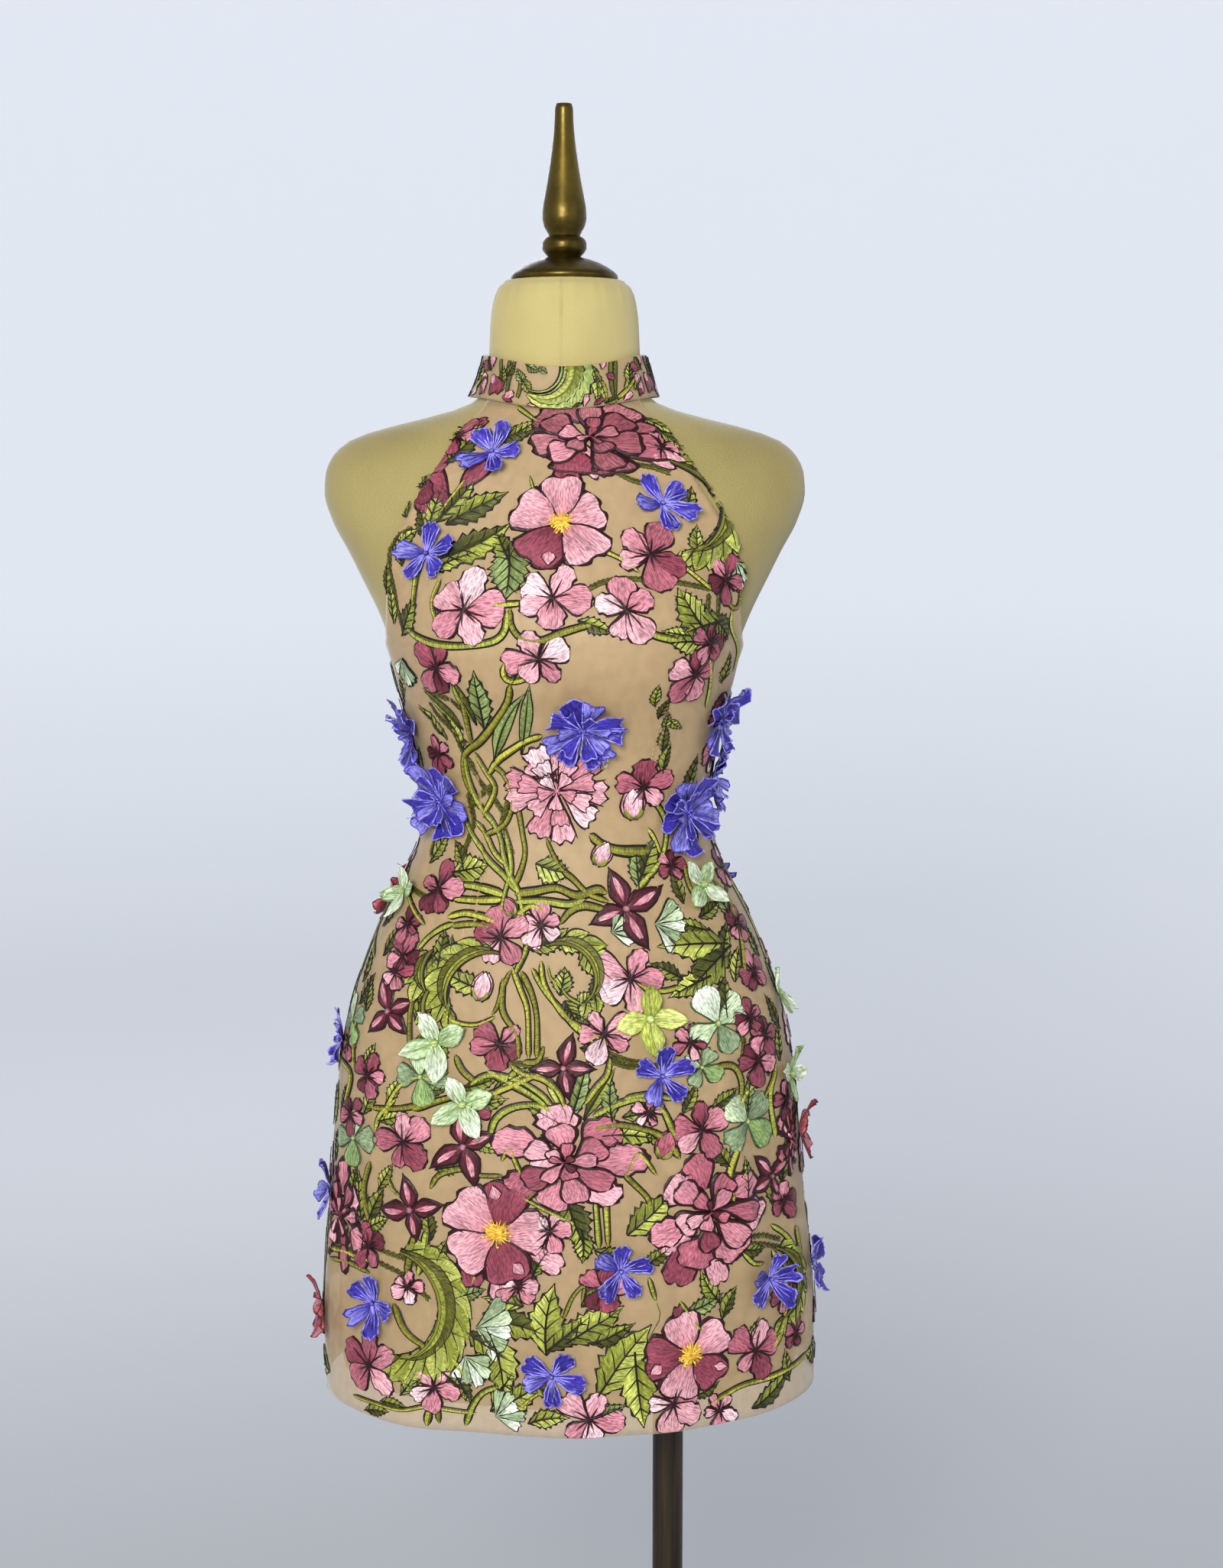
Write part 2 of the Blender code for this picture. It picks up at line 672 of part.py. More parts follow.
def make_stand():
    """The finial, the pole with its flange and socket, and the round base."""
    axis, foot = (0.0, 0.0), (POLE_OFFSET, 0.0)
    finial = [circle(axis, SHOULDER_HEIGHT + row.level, row.radius, FINIAL_SIDES) for row in FINIAL]
    loft("neck_finial", "gilt", finial)

    base = (
        (0.0, BASE_RADIUS),
        (BASE_THICKNESS - BASE_BEVEL, BASE_RADIUS),
        (BASE_THICKNESS, BASE_RADIUS - BASE_BEVEL),
    )
    loft("base", "dark_wood", [circle(axis, *row, BASE_SIDES) for row in base])

    on_base = BASE_THICKNESS + CLEARANCE
    bore = POLE_RADIUS + CLEARANCE
    socket = (
        (on_base, bore),
        (on_base, SOCKET_RADIUS),
        (on_base + SOCKET_HEIGHT - SOCKET_BEVEL, SOCKET_RADIUS),
        (on_base + SOCKET_HEIGHT, SOCKET_RADIUS - SOCKET_BEVEL),
        (on_base + SOCKET_HEIGHT, bore),
    )
    build = bmesh.new()
    rings = [[build.verts.new(p) for p in circle(foot, *row, POLE_SIDES)] for row in socket]
    for first, second in zip(rings, rings[1:] + rings[:1]):
        strip_of_quads(build, first, second, around=True)
    new_object("pole_socket", build, "steel")

    under_form = SHOULDER_HEIGHT + FORM_BOTTOM - CLEARANCE
    flange = ((under_form - FLANGE_THICKNESS, FLANGE_RADIUS), (under_form, FLANGE_RADIUS))
    loft("form_flange", "steel", [circle(foot, *row, BASE_SIDES) for row in flange])
    pole = ((on_base, POLE_RADIUS), (under_form - FLANGE_THICKNESS - CLEARANCE, POLE_RADIUS))
    loft("pole", "dark_wood", [circle(foot, *row, POLE_SIDES) for row in pole])


def main():
    """Builds every piece in an empty scene."""
    for item in list(bpy.data.objects):
        bpy.data.objects.remove(item)
    make_form()
    make_stand()
    overlay = make_panels()
    make_neckband()
    make_blossoms(overlay)


main()
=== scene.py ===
"""A halter dress with embroidered net over a plain lining, on a limbless dress form.

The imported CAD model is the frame. Every piece here is built in metres in that frame, +Z up,
the front of the dress towards -Y. Angles run round the body from the middle of the front,
positive towards +X. Levels are heights from the shoulder line.
"""

import logging
from dataclasses import dataclass
from enum import Enum
from functools import lru_cache
from math import atan2, cos, degrees, hypot, pi, radians, sin
from typing import Iterable, Sequence

import bmesh
import bpy
import numpy as np
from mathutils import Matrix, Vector


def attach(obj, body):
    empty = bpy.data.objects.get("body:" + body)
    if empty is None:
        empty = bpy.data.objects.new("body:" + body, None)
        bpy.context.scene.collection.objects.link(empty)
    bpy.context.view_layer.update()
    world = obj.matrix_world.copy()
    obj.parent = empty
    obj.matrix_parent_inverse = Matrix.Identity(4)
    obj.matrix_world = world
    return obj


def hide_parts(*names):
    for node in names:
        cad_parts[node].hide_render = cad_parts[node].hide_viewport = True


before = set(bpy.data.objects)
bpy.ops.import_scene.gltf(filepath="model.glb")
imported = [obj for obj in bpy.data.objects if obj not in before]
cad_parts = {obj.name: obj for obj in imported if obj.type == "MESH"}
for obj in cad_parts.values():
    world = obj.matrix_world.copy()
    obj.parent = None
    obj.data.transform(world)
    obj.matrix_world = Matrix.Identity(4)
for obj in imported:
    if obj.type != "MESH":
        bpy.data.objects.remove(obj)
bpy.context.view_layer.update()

log = logging.getLogger("dress")
logging.basicConfig(level=logging.INFO, format="%(name)s: %(message)s")

Array = np.ndarray
Pair = tuple[float, float]
Triple = tuple[float, float, float]
Way = Sequence[Pair]
Piece = bpy.types.Object
Material = bpy.types.Material
Socket = bpy.types.NodeSocket

# ---------------------------------------------------------------- sizes

SHOULDER_HEIGHT = 1.380
SEAM_GAP = 0.0006
OVERLAY_HEM = -0.757
LINING_HEM = -0.737
UNDERARM = -0.138
ARMHOLE_TURN = 0.012
BACK_DIP = 0.034
NECK_SEAM_FRONT = 0.0520
NECK_SEAM_RISE = 0.0100
LINING_EASE = 0.0028
OVERLAY_FACE = 0.0026
BAND_HEIGHT = 0.0330
BAND_TOP_RADIUS = 0.0640
BAND_FLARE = 0.0010
BAND_END = pi - SEAM_GAP / 2 / BAND_TOP_RADIUS
BAND_RADIUS = 0.066
BAND_THICKNESS = 0.0016
YOKE_RADIUS = 0.14
SKIRT_RADIUS = 0.150
CLEARANCE = 0.0003
MM = 0.001
BUST = {"level": -0.128, "across": 0.072, "swell": 0.026, "spread": 0.038}
BUST_RISE, BUST_FALL = 0.050, 0.042
BRIDGE_SWELL, BRIDGE_SPREAD = 0.016, 0.040

# level, half width, front, back, squareness
TORSO_ROWS = (
    (-0.640, 0.150, 0.092, 0.096, 2.20), (-0.610, 0.160, 0.100, 0.104, 2.20), (-0.540, 0.166, 0.106, 0.114, 2.20),
    (-0.470, 0.165, 0.108, 0.121, 2.25), (-0.413, 0.156, 0.106, 0.118, 2.25),
    (-0.375, 0.144, 0.102, 0.110, 2.25), (-0.336, 0.127, 0.096, 0.098, 2.25),
    (-0.300, 0.112, 0.090, 0.087, 2.25), (-0.268, 0.109, 0.087, 0.083, 2.25),
    (-0.235, 0.112, 0.089, 0.087, 2.30), (-0.196, 0.120, 0.094, 0.094, 2.35),
    (-0.160, 0.130, 0.099, 0.101, 2.40), (-0.146, 0.134, 0.100, 0.103, 2.40),
    (-0.126, 0.142, 0.101, 0.105, 2.40), (-0.106, 0.151, 0.101, 0.107, 2.35),
    (-0.083, 0.163, 0.099, 0.107, 2.25), (-0.058, 0.1755, 0.096, 0.106, 2.25),
    (-0.034, 0.188, 0.091, 0.104, 2.30), (-0.012, 0.194, 0.085, 0.100, 2.35),
    (0.003, 0.193, 0.080, 0.096, 2.35), (0.016, 0.188, 0.075, 0.091, 2.25), (0.028, 0.176, 0.070, 0.085, 2.05),
    (0.036, 0.158, 0.067, 0.080, 1.90), (0.043, 0.132, 0.064, 0.076, 1.80), (0.050, 0.103, 0.062, 0.072, 1.80),
    (0.057, 0.080, 0.060, 0.068, 1.85), (0.065, 0.067, 0.059, 0.065, 1.95), (0.078, 0.062, 0.058, 0.063, 2.00),
    (0.100, 0.0605, 0.058, 0.060, 2.00), (0.122, 0.0595, 0.058, 0.059, 2.00),
    (0.139, 0.0575, 0.056, 0.057, 2.00), (0.150, 0.0535, 0.053, 0.053, 2.00),
    (0.1555, 0.0480, 0.048, 0.048, 2.00),
)
SKIRT_ROWS = (
    (-0.800, 0.2025, 0.132, 0.138, 2.15), (-0.757, 0.2035, 0.131, 0.137, 2.15),
    (-0.700, 0.2040, 0.129, 0.136, 2.15), (-0.640, 0.2005, 0.126, 0.134, 2.15),
    (-0.570, 0.1940, 0.123, 0.132, 2.20), (-0.500, 0.1885, 0.119, 0.130, 2.20),
    (-0.440, 0.1780, 0.115, 0.126, 2.25), (-0.387, 0.1600, 0.109, 0.117, 2.25),
    (-0.349, 0.1435, 0.103, 0.107, 2.25), (-0.317, 0.1270, 0.098, 0.098, 2.25),
    (-0.300, 0.1190, 0.095, 0.094, 2.25), (-0.283, 0.1150, 0.0925, 0.090, 2.25),
    (-0.262, 0.1145, 0.0910, 0.088, 2.25), (-0.225, 0.1185, 0.094, 0.092, 2.30),
    (-0.190, 0.1260, 0.099, 0.098, 2.35), (-0.150, 0.1350, 0.102, 0.104, 2.40),
    (-0.100, 0.1350, 0.090, 0.090, 2.40),
)
SLACK_ROWS = ((-0.800, 0.0120), (-0.700, 0.0090), (-0.560, 0.0040), (-0.420, 0.0), (0.0, 0.0))
# level, half width of the halter's front seen from the front
EDGE_ROWS = (
    (-0.1260, 0.1400), (-0.1175, 0.1392), (-0.0805, 0.1365), (-0.0570, 0.1340), (-0.0440, 0.1280),
    (-0.0300, 0.1195), (0.0000, 0.1005), (0.0300, 0.0815), (0.0620, 0.0640),
)
# level, radius
FINIAL_ROWS = (
    (0.1560, 0.0415), (0.1580, 0.0430), (0.1605, 0.0425), (0.1640, 0.0385), (0.1690, 0.0300), (0.1725, 0.0210),
    (0.1748, 0.0130), (0.1780, 0.0160), (0.1815, 0.0178), (0.1855, 0.0178), (0.1890, 0.0160), (0.1912, 0.0125),
    (0.1945, 0.0140), (0.1990, 0.0165), (0.2050, 0.0178), (0.2120, 0.0175), (0.2220, 0.0158), (0.2340, 0.0135),
    (0.2480, 0.0112), (0.2640, 0.0090), (0.2800, 0.0076), (0.2905, 0.0072), (0.2935, 0.0062),
)


class Layer(Enum):
    """The two layers of the dress."""

    LINING = "lining"
    OVERLAY = "overlay"


class Table:
    """Rows of numbers by level, read on a smooth curve that adds no bumps."""

    def __init__(self, rows: Sequence[Sequence[float]]) -> None:
        """Works out the slope at each row.

        Args:
            rows: A level and its values, one row each.
        """
        table = np.array(sorted(rows), float)
        self.levels = table[:, 0]
        self.values = table[:, 1:]
        step = np.diff(self.levels)[:, None]
        rise = np.diff(self.values, axis=0) / step
        self.slopes = np.zeros_like(self.values)
        before, after = step[:-1], step[1:]
        weight_in, weight_out = 2 * after + before, after + 2 * before
        rise_in, rise_out = rise[:-1], rise[1:]
        same_way = rise_in * rise_out > 0
        safe_in = np.where(same_way, rise_in, 1.0)
        safe_out = np.where(same_way, rise_out, 1.0)
        mean = (weight_in + weight_out) / (weight_in / safe_in + weight_out / safe_out)
        self.slopes[1:-1] = np.where(same_way, mean, 0.0)

    def at(self, level: Array) -> Array:
        """Values at some levels.

        Args:
            level: Levels of any shape.

        Returns:
            The values, with one more axis than the levels.
        """
        level = np.clip(level, self.levels[0], self.levels[-1])
        index = np.clip(np.searchsorted(self.levels, level), 1, len(self.levels) - 1)
        step = (self.levels[index] - self.levels[index - 1])[..., None]
        share = (level - self.levels[index - 1])[..., None] / step
        square, cube = share**2, share**3
        return (self.values[index - 1] * (2 * cube - 3 * square + 1) + self.slopes[index - 1] * step
            * (cube - 2 * square + share) + self.values[index] * (3 * square - 2 * cube) + self.slopes[index] * step
            * (cube - square))


TORSO, SKIRT, SLACK, EDGE = (Table(rows) for rows in (TORSO_ROWS, SKIRT_ROWS, SLACK_ROWS, EDGE_ROWS))


@dataclass(frozen=True)
class Crease:
    """One soft trough or ridge in the cloth.

    angle is in degrees. level, length, width and depth are in metres, and a positive depth
    stands out. lean is the turn from upright, in degrees, positive towards +X at the top.
    """

    angle: float
    level: float
    length: float
    width: float
    depth: float
    lean: float


def creased(rows: Sequence[Sequence[float]]) -> tuple[Crease, ...]:
    """Creases from rows of their fields."""
    return tuple(Crease(*row) for row in rows)


CREASES = creased((
    # the two darts, pulled in a little by their stitching
    (-38.5, -0.270, 0.150, 0.0035, -0.0009, -4),
    (39.5, -0.270, 0.150, 0.0035, -0.0009, 4),
    # drag lines under the bust and at the armholes
    (-66.0, -0.160, 0.034, 0.0050, -0.0011, 52),
    (-74.0, -0.184, 0.028, 0.0045, 0.0010, 60),
    (-55.0, -0.187, 0.026, 0.0050, -0.0008, 38),
    (64.0, -0.163, 0.038, 0.0055, -0.0012, -50),
    (73.0, -0.190, 0.030, 0.0045, 0.0010, -63),
    (52.0, -0.200, 0.022, 0.0040, -0.0007, -35),
    (8.0, -0.166, 0.030, 0.0060, -0.0007, 74),
    (-12.0, -0.176, 0.026, 0.0055, -0.0006, -70),
    # rolls at the waist
    (-80.0, -0.262, 0.034, 0.0050, 0.0010, 80),
    (-69.0, -0.287, 0.030, 0.0055, -0.0010, 84),
    (78.0, -0.272, 0.040, 0.0055, 0.0011, -82),
    (64.0, -0.296, 0.028, 0.0050, -0.0009, -76),
    (4.0, -0.288, 0.036, 0.0070, -0.0006, 86),
    # upright folds over the hips and down to the hem
    (-58.0, -0.520, 0.120, 0.0090, -0.0013, 5),
    (-76.0, -0.610, 0.110, 0.0080, 0.0016, 3),
    (-42.0, -0.660, 0.075, 0.0075, 0.0012, -4),
    (-14.0, -0.690, 0.060, 0.0090, -0.0011, 6),
    (14.0, -0.640, 0.090, 0.0085, 0.0012, -3),
    (38.0, -0.600, 0.110, 0.0080, -0.0014, -6),
    (57.0, -0.540, 0.140, 0.0075, 0.0016, -5),
    (70.0, -0.590, 0.120, 0.0070, -0.0015, -2),
    (82.0, -0.660, 0.080, 0.0065, 0.0014, 4),
    # the same on the sides that the photo doesn't show
    (104.0, -0.200, 0.040, 0.0055, -0.0009, 40),
    (118.0, -0.268, 0.044, 0.0055, 0.0010, -80),
    (-112.0, -0.276, 0.038, 0.0055, -0.0010, 78),
    (-126.0, -0.205, 0.036, 0.0050, 0.0008, -45),
    (100.0, -0.560, 0.130, 0.0080, 0.0015, 3),
    (117.0, -0.640, 0.090, 0.0075, -0.0013, -4),
    (138.0, -0.600, 0.120, 0.0090, 0.0014, 5),
    (160.0, -0.660, 0.080, 0.0080, -0.0012, -3),
    (-98.0, -0.630, 0.100, 0.0075, -0.0014, 2),
    (-118.0, -0.570, 0.130, 0.0085, 0.0015, -5),
    (-140.0, -0.650, 0.085, 0.0080, -0.0012, 4),
    (-163.0, -0.600, 0.110, 0.0090, 0.0011, 2),
))
LINING_CREASES = creased((
    (-66.0, -0.700, 0.060, 0.0090, -0.0022, 3),
    (-30.0, -0.705, 0.050, 0.0100, 0.0016, -5),
    (4.0, -0.700, 0.055, 0.0110, -0.0016, 4),
    (27.0, -0.705, 0.050, 0.0090, 0.0015, -3),
    (62.0, -0.690, 0.070, 0.0085, -0.0022, -4),
    (100.0, -0.700, 0.060, 0.0090, 0.0018, 3),
    (150.0, -0.700, 0.055, 0.0100, -0.0017, -4),
    (-105.0, -0.700, 0.060, 0.0090, 0.0018, 4),
    (-148.0, -0.700, 0.055, 0.0100, -0.0016, 2),
))


class Cloth:
    """The shape of the dress, for arrays of angles and levels."""

    STEP = 0.004
    MEAN_RADIUS = 0.155

    @staticmethod
    def ring(table: Table, angle: Array, level: Array) -> Array:
        """Distance from the axis to the outline of a level section.

        Args:
            table: Half width, front, back and squareness by level.
            angle: Turns from the middle of the front, in radians.
            level: Levels of the same shape.
        """
        half_width, front, back, power = np.moveaxis(table.at(level), -1, 0)
        depth = np.where(np.cos(angle) > 0, front, back)
        across = (np.abs(np.sin(angle)) / half_width) ** power
        ahead = (np.abs(np.cos(angle)) / depth) ** power
        return (across + ahead) ** (-1 / power)

    @classmethod
    def torso(cls, angle: Array, level: Array, bridged: bool = False) -> Array:
        """Distance from the axis to the padded torso, with or without cloth over its middle.

        Args:
            angle: Turns, in radians.
            level: Levels.
            bridged: True where cloth spans the bust.
        """
        radius = cls.ring(TORSO, angle, level)
        across = radius * np.sin(angle)
        off = level - BUST["level"]
        upright = np.exp(-0.5 * (off / np.where(off > 0, BUST_RISE, BUST_FALL)) ** 2)
        swell = sum(BUST["swell"] * np.exp(-0.5 * ((across - side * BUST["across"]) / BUST["spread"]) ** 2)
            for side in (-1, 1))
        if bridged:
            swell = swell + BRIDGE_SWELL * np.exp(-0.5 * (across / BRIDGE_SPREAD) ** 2)
        return radius + np.sqrt(np.maximum(np.cos(angle), 0.0)) * swell * upright

    @classmethod
    def radius(cls, angle: Array, level: Array, layer: Layer) -> Array:
        """Distance from the axis to the inner face of a layer of the dress.

        Args:
            angle: Turns, in radians.
            level: Levels.
            layer: Lining or overlay.
        """
        on_form = cls.torso(angle, level, bridged=True) + LINING_EASE
        hang = np.clip((-0.50 - level) / 0.26, 0.0, 1.0)
        wave = np.sin(5 * angle + 0.6) + 0.6 * np.sin(8 * angle + 2.1) + 0.4 * np.sin(13 * angle)
        hanging = cls.ring(SKIRT, angle, level) + 0.0022 * wave * hang**1.5
        if layer is Layer.LINING:
            hanging = hanging - SLACK.at(level)[..., 0] * (0.35 + np.abs(np.sin(angle)) ** 1.5)
        near = np.maximum(0.006 - np.abs(on_form - hanging), 0.0)
        larger = np.maximum(on_form, hanging) + near**2 / 0.024
        return np.where(level > SKIRT_ROWS[-1][0], on_form, larger)

    @classmethod
    def folds(cls, angle: Array, level: Array, creases: Sequence[Crease]) -> Array:
        """How far the creases move the cloth out, or in where negative.

        Args:
            angle: Turns, in radians.
            level: Levels.
            creases: The creases to add up.
        """
        total = np.zeros(np.broadcast(angle, level).shape)
        for crease in creases:
            turned = (angle - radians(crease.angle) + pi) % (2 * pi) - pi
            x, y = cls.MEAN_RADIUS * turned, level - crease.level
            lean = radians(crease.lean)
            along = (y * cos(lean) + x * sin(lean)) / crease.length
            across = (x * cos(lean) - y * sin(lean)) / crease.width
            bend = across + 0.5 * along**2
            middle = np.exp(-(bend**2)) - 0.38 * np.exp(-(((bend - 2.0) / 1.3) ** 2))
            total += crease.depth * middle * np.exp(-(np.abs(along) ** 3) * 2.0)
        # the form stands close inside the cloth, down to the lower end of its padding
        return np.maximum(2.2 * total, np.where(level > -0.63, -0.0021, -0.006))

    @classmethod
    def bare(cls, angle: Array, level: Array, layer: Layer) -> Array:
        """Points of a layer's inner face, without creases.

        Args:
            angle: Turns, in radians.
            level: Levels.
            layer: Lining or overlay.
        """
        reach = cls.radius(angle, level, layer)
        return np.stack([reach * np.sin(angle), -reach * np.cos(angle), SHOULDER_HEIGHT + level], axis=-1)

    @classmethod
    def frame(cls, angle: Array, level: Array, layer: Layer) -> tuple[Array, Array, Array, Array]:
        """Points of a layer's inner face with their outward normals and metric.

        Args:
            angle: Turns, in radians.
            level: Levels.
            layer: Lining or overlay.

        Returns:
            Points, unit normals, metres per radian, and metres per unit of level.
        """
        angle, level = np.broadcast_arrays(np.asarray(angle, float), np.asarray(level, float))
        step = cls.STEP
        around = cls.bare(angle + 2 * step, level, layer) - cls.bare(angle - 2 * step, level, layer)
        upward = cls.bare(angle, level + step, layer) - cls.bare(angle, level - step, layer)
        normal = np.cross(around, upward)
        normal /= np.linalg.norm(normal, axis=-1, keepdims=True)
        per_turn = np.linalg.norm(around, axis=-1) / (4 * step)
        per_level = np.linalg.norm(upward, axis=-1) / (2 * step)
        return cls.bare(angle, level, layer), normal, per_turn, per_level

    @classmethod
    def points(cls, angle: Array, level: Array, layer: Layer, lift: Array | float) -> Array:
        """Points of a layer, creased, and moved out along the cloth's normal.

        Args:
            angle: Turns, in radians.
            level: Levels.
            layer: Lining or overlay.
            lift: How far out from the layer's inner face.
        """
        place, normal, _, _ = cls.frame(angle, level, layer)
        creases = CREASES + LINING_CREASES if layer is Layer.LINING else CREASES
        # the cloth lies flat again where it is sewn to the neckband
        ease = np.clip((NECK_SEAM_FRONT - 0.004 - level) / 0.03, 0.0, 1.0)
        out = lift + cls.folds(angle, level, creases) * ease
        return place + normal * np.asarray(out)[..., None]


def neck_seam(angle: Array) -> Array:
    """Level of the seam between the dress and the neckband at some angles."""
    turn = np.minimum(np.abs(angle) * 1.1, pi / 2)
    return NECK_SEAM_FRONT + NECK_SEAM_RISE * np.sin(turn) ** 2


def half_seam(level: Array) -> Array:
    """The angle that half a seam's gap takes up at a side of the dress."""
    side = np.full(np.shape(level), pi / 2)
    return SEAM_GAP / 2 / Cloth.ring(SKIRT, side, level)


def halter_angle(level: Array) -> Array:
    """Half the angle that the front panel covers at some levels, rounded under the arm."""
    level = np.asarray(level, float)
    side = pi / 2 - half_seam(level)
    above = np.maximum(level, UNDERARM + ARMHOLE_TURN)
    across = EDGE.at(above)[..., 0]
    low, high = np.zeros_like(level), np.full_like(level, pi / 2)
    for _ in range(40):
        middle = (low + high) / 2
        short = Cloth.radius(middle, above, Layer.OVERLAY) * np.sin(middle) < across
        low, high = np.where(short, middle, low), np.where(short, high, middle)
    share = np.clip((level - UNDERARM) / ARMHOLE_TURN, 0.0, 1.0)
    return np.where(level <= UNDERARM, side, side + (low - side) * np.sqrt(share))


def back_top(angle: Array) -> Array:
    """Level of the top edge of the back at some angles from the middle of the front."""
    share = np.clip((np.abs(angle) - pi / 2) / (pi / 2), 0.0, 1.0)
    return UNDERARM - BACK_DIP * np.sin(pi / 2 * share) ** 2


# ---------------------------------------------------------------- meshes


def polar(reach: float, way: float) -> Pair:
    """Where a point lies that is so far off on a way, in radians from the right."""
    return reach * cos(way), reach * sin(way)


def linear(red: float, green: float, blue: float) -> tuple[float, float, float, float]:
    """A colour for a node socket, from its 0 to 255 values as seen on a screen."""
    return (*(((c / 255 + 0.055) / 1.055) ** 2.4 if c > 10 else c / 3295 for c in (red, green, blue)), 1.0)


def link_mesh(name: str, points: Array, faces: Iterable, uv: Array | None = None) -> Piece:
    """A mesh object from arrays, in the scene.

    Args:
        name: Its name.
        points: One point a row.
        faces: Corner numbers, one face a row.
        uv: Where each point lies on the flat cloth, in metres.
    """
    mesh = bpy.data.meshes.new(name)
    mesh.from_pydata(points.tolist(), [], list(faces))
    if uv is not None:
        corners = np.empty(len(mesh.loops), np.int32)
        mesh.loops.foreach_get("vertex_index", corners)
        mesh.uv_layers.new(name="cloth").data.foreach_set("uv", uv[corners].astype(np.float32).ravel())
    mesh.shade_smooth()
    piece = bpy.data.objects.new(name, mesh)
    bpy.context.scene.collection.objects.link(piece)
    return piece


def face_out(piece: Piece) -> Piece:
    """Turns the faces of a piece outwards."""
    build = bmesh.new()
    build.from_mesh(piece.data)
    bmesh.ops.recalc_face_normals(build, faces=build.faces)
    build.to_mesh(piece.data)
    build.free()
    return piece


def grid_faces(rows: int, columns: int, around: bool = False) -> Array:
    """Corner numbers of a grid's faces.

    Args:
        rows: Rows of points.
        columns: Points in a row.
        around: True where each row closes on itself.
    """
    across = columns if around else columns - 1
    i, j = np.meshgrid(np.arange(rows - 1), np.arange(across), indexing="ij")
    n = (j + 1) % columns
    corners = (i * columns + j, i * columns + n, (i + 1) * columns + n, (i + 1) * columns + j)
    return np.stack(corners, axis=-1).reshape(-1, 4)


def closed_sheet(name: str, outer: Array, inner: Array, uv: Array) -> Piece:
    """A thin closed wall of cloth between two grids of points.

    Args:
        name: The piece's name.
        outer: Points of the outer face, rows by columns.
        inner: Points of the inner face, of the same shape.
        uv: Places on the flat cloth, of the same shape.
    """
    rows, columns = outer.shape[:2]
    count = rows * columns
    faces = grid_faces(rows, columns)
    number = np.arange(count).reshape(rows, columns)
    rim = np.concatenate([number[0], number[1:, -1], number[-1, -2::-1], number[-2:0:-1, 0]])
    after = np.roll(rim, -1)
    side = np.stack([rim, after, after + count, rim + count], axis=-1)
    points = np.concatenate([outer.reshape(-1, 3), inner.reshape(-1, 3)])
    faces = np.concatenate([faces, faces[:, ::-1] + count, side])
    return face_out(link_mesh(name, points, faces.tolist(), np.concatenate([uv.reshape(-1, 2)] * 2)))


# ---------------------------------------------------------------- materials


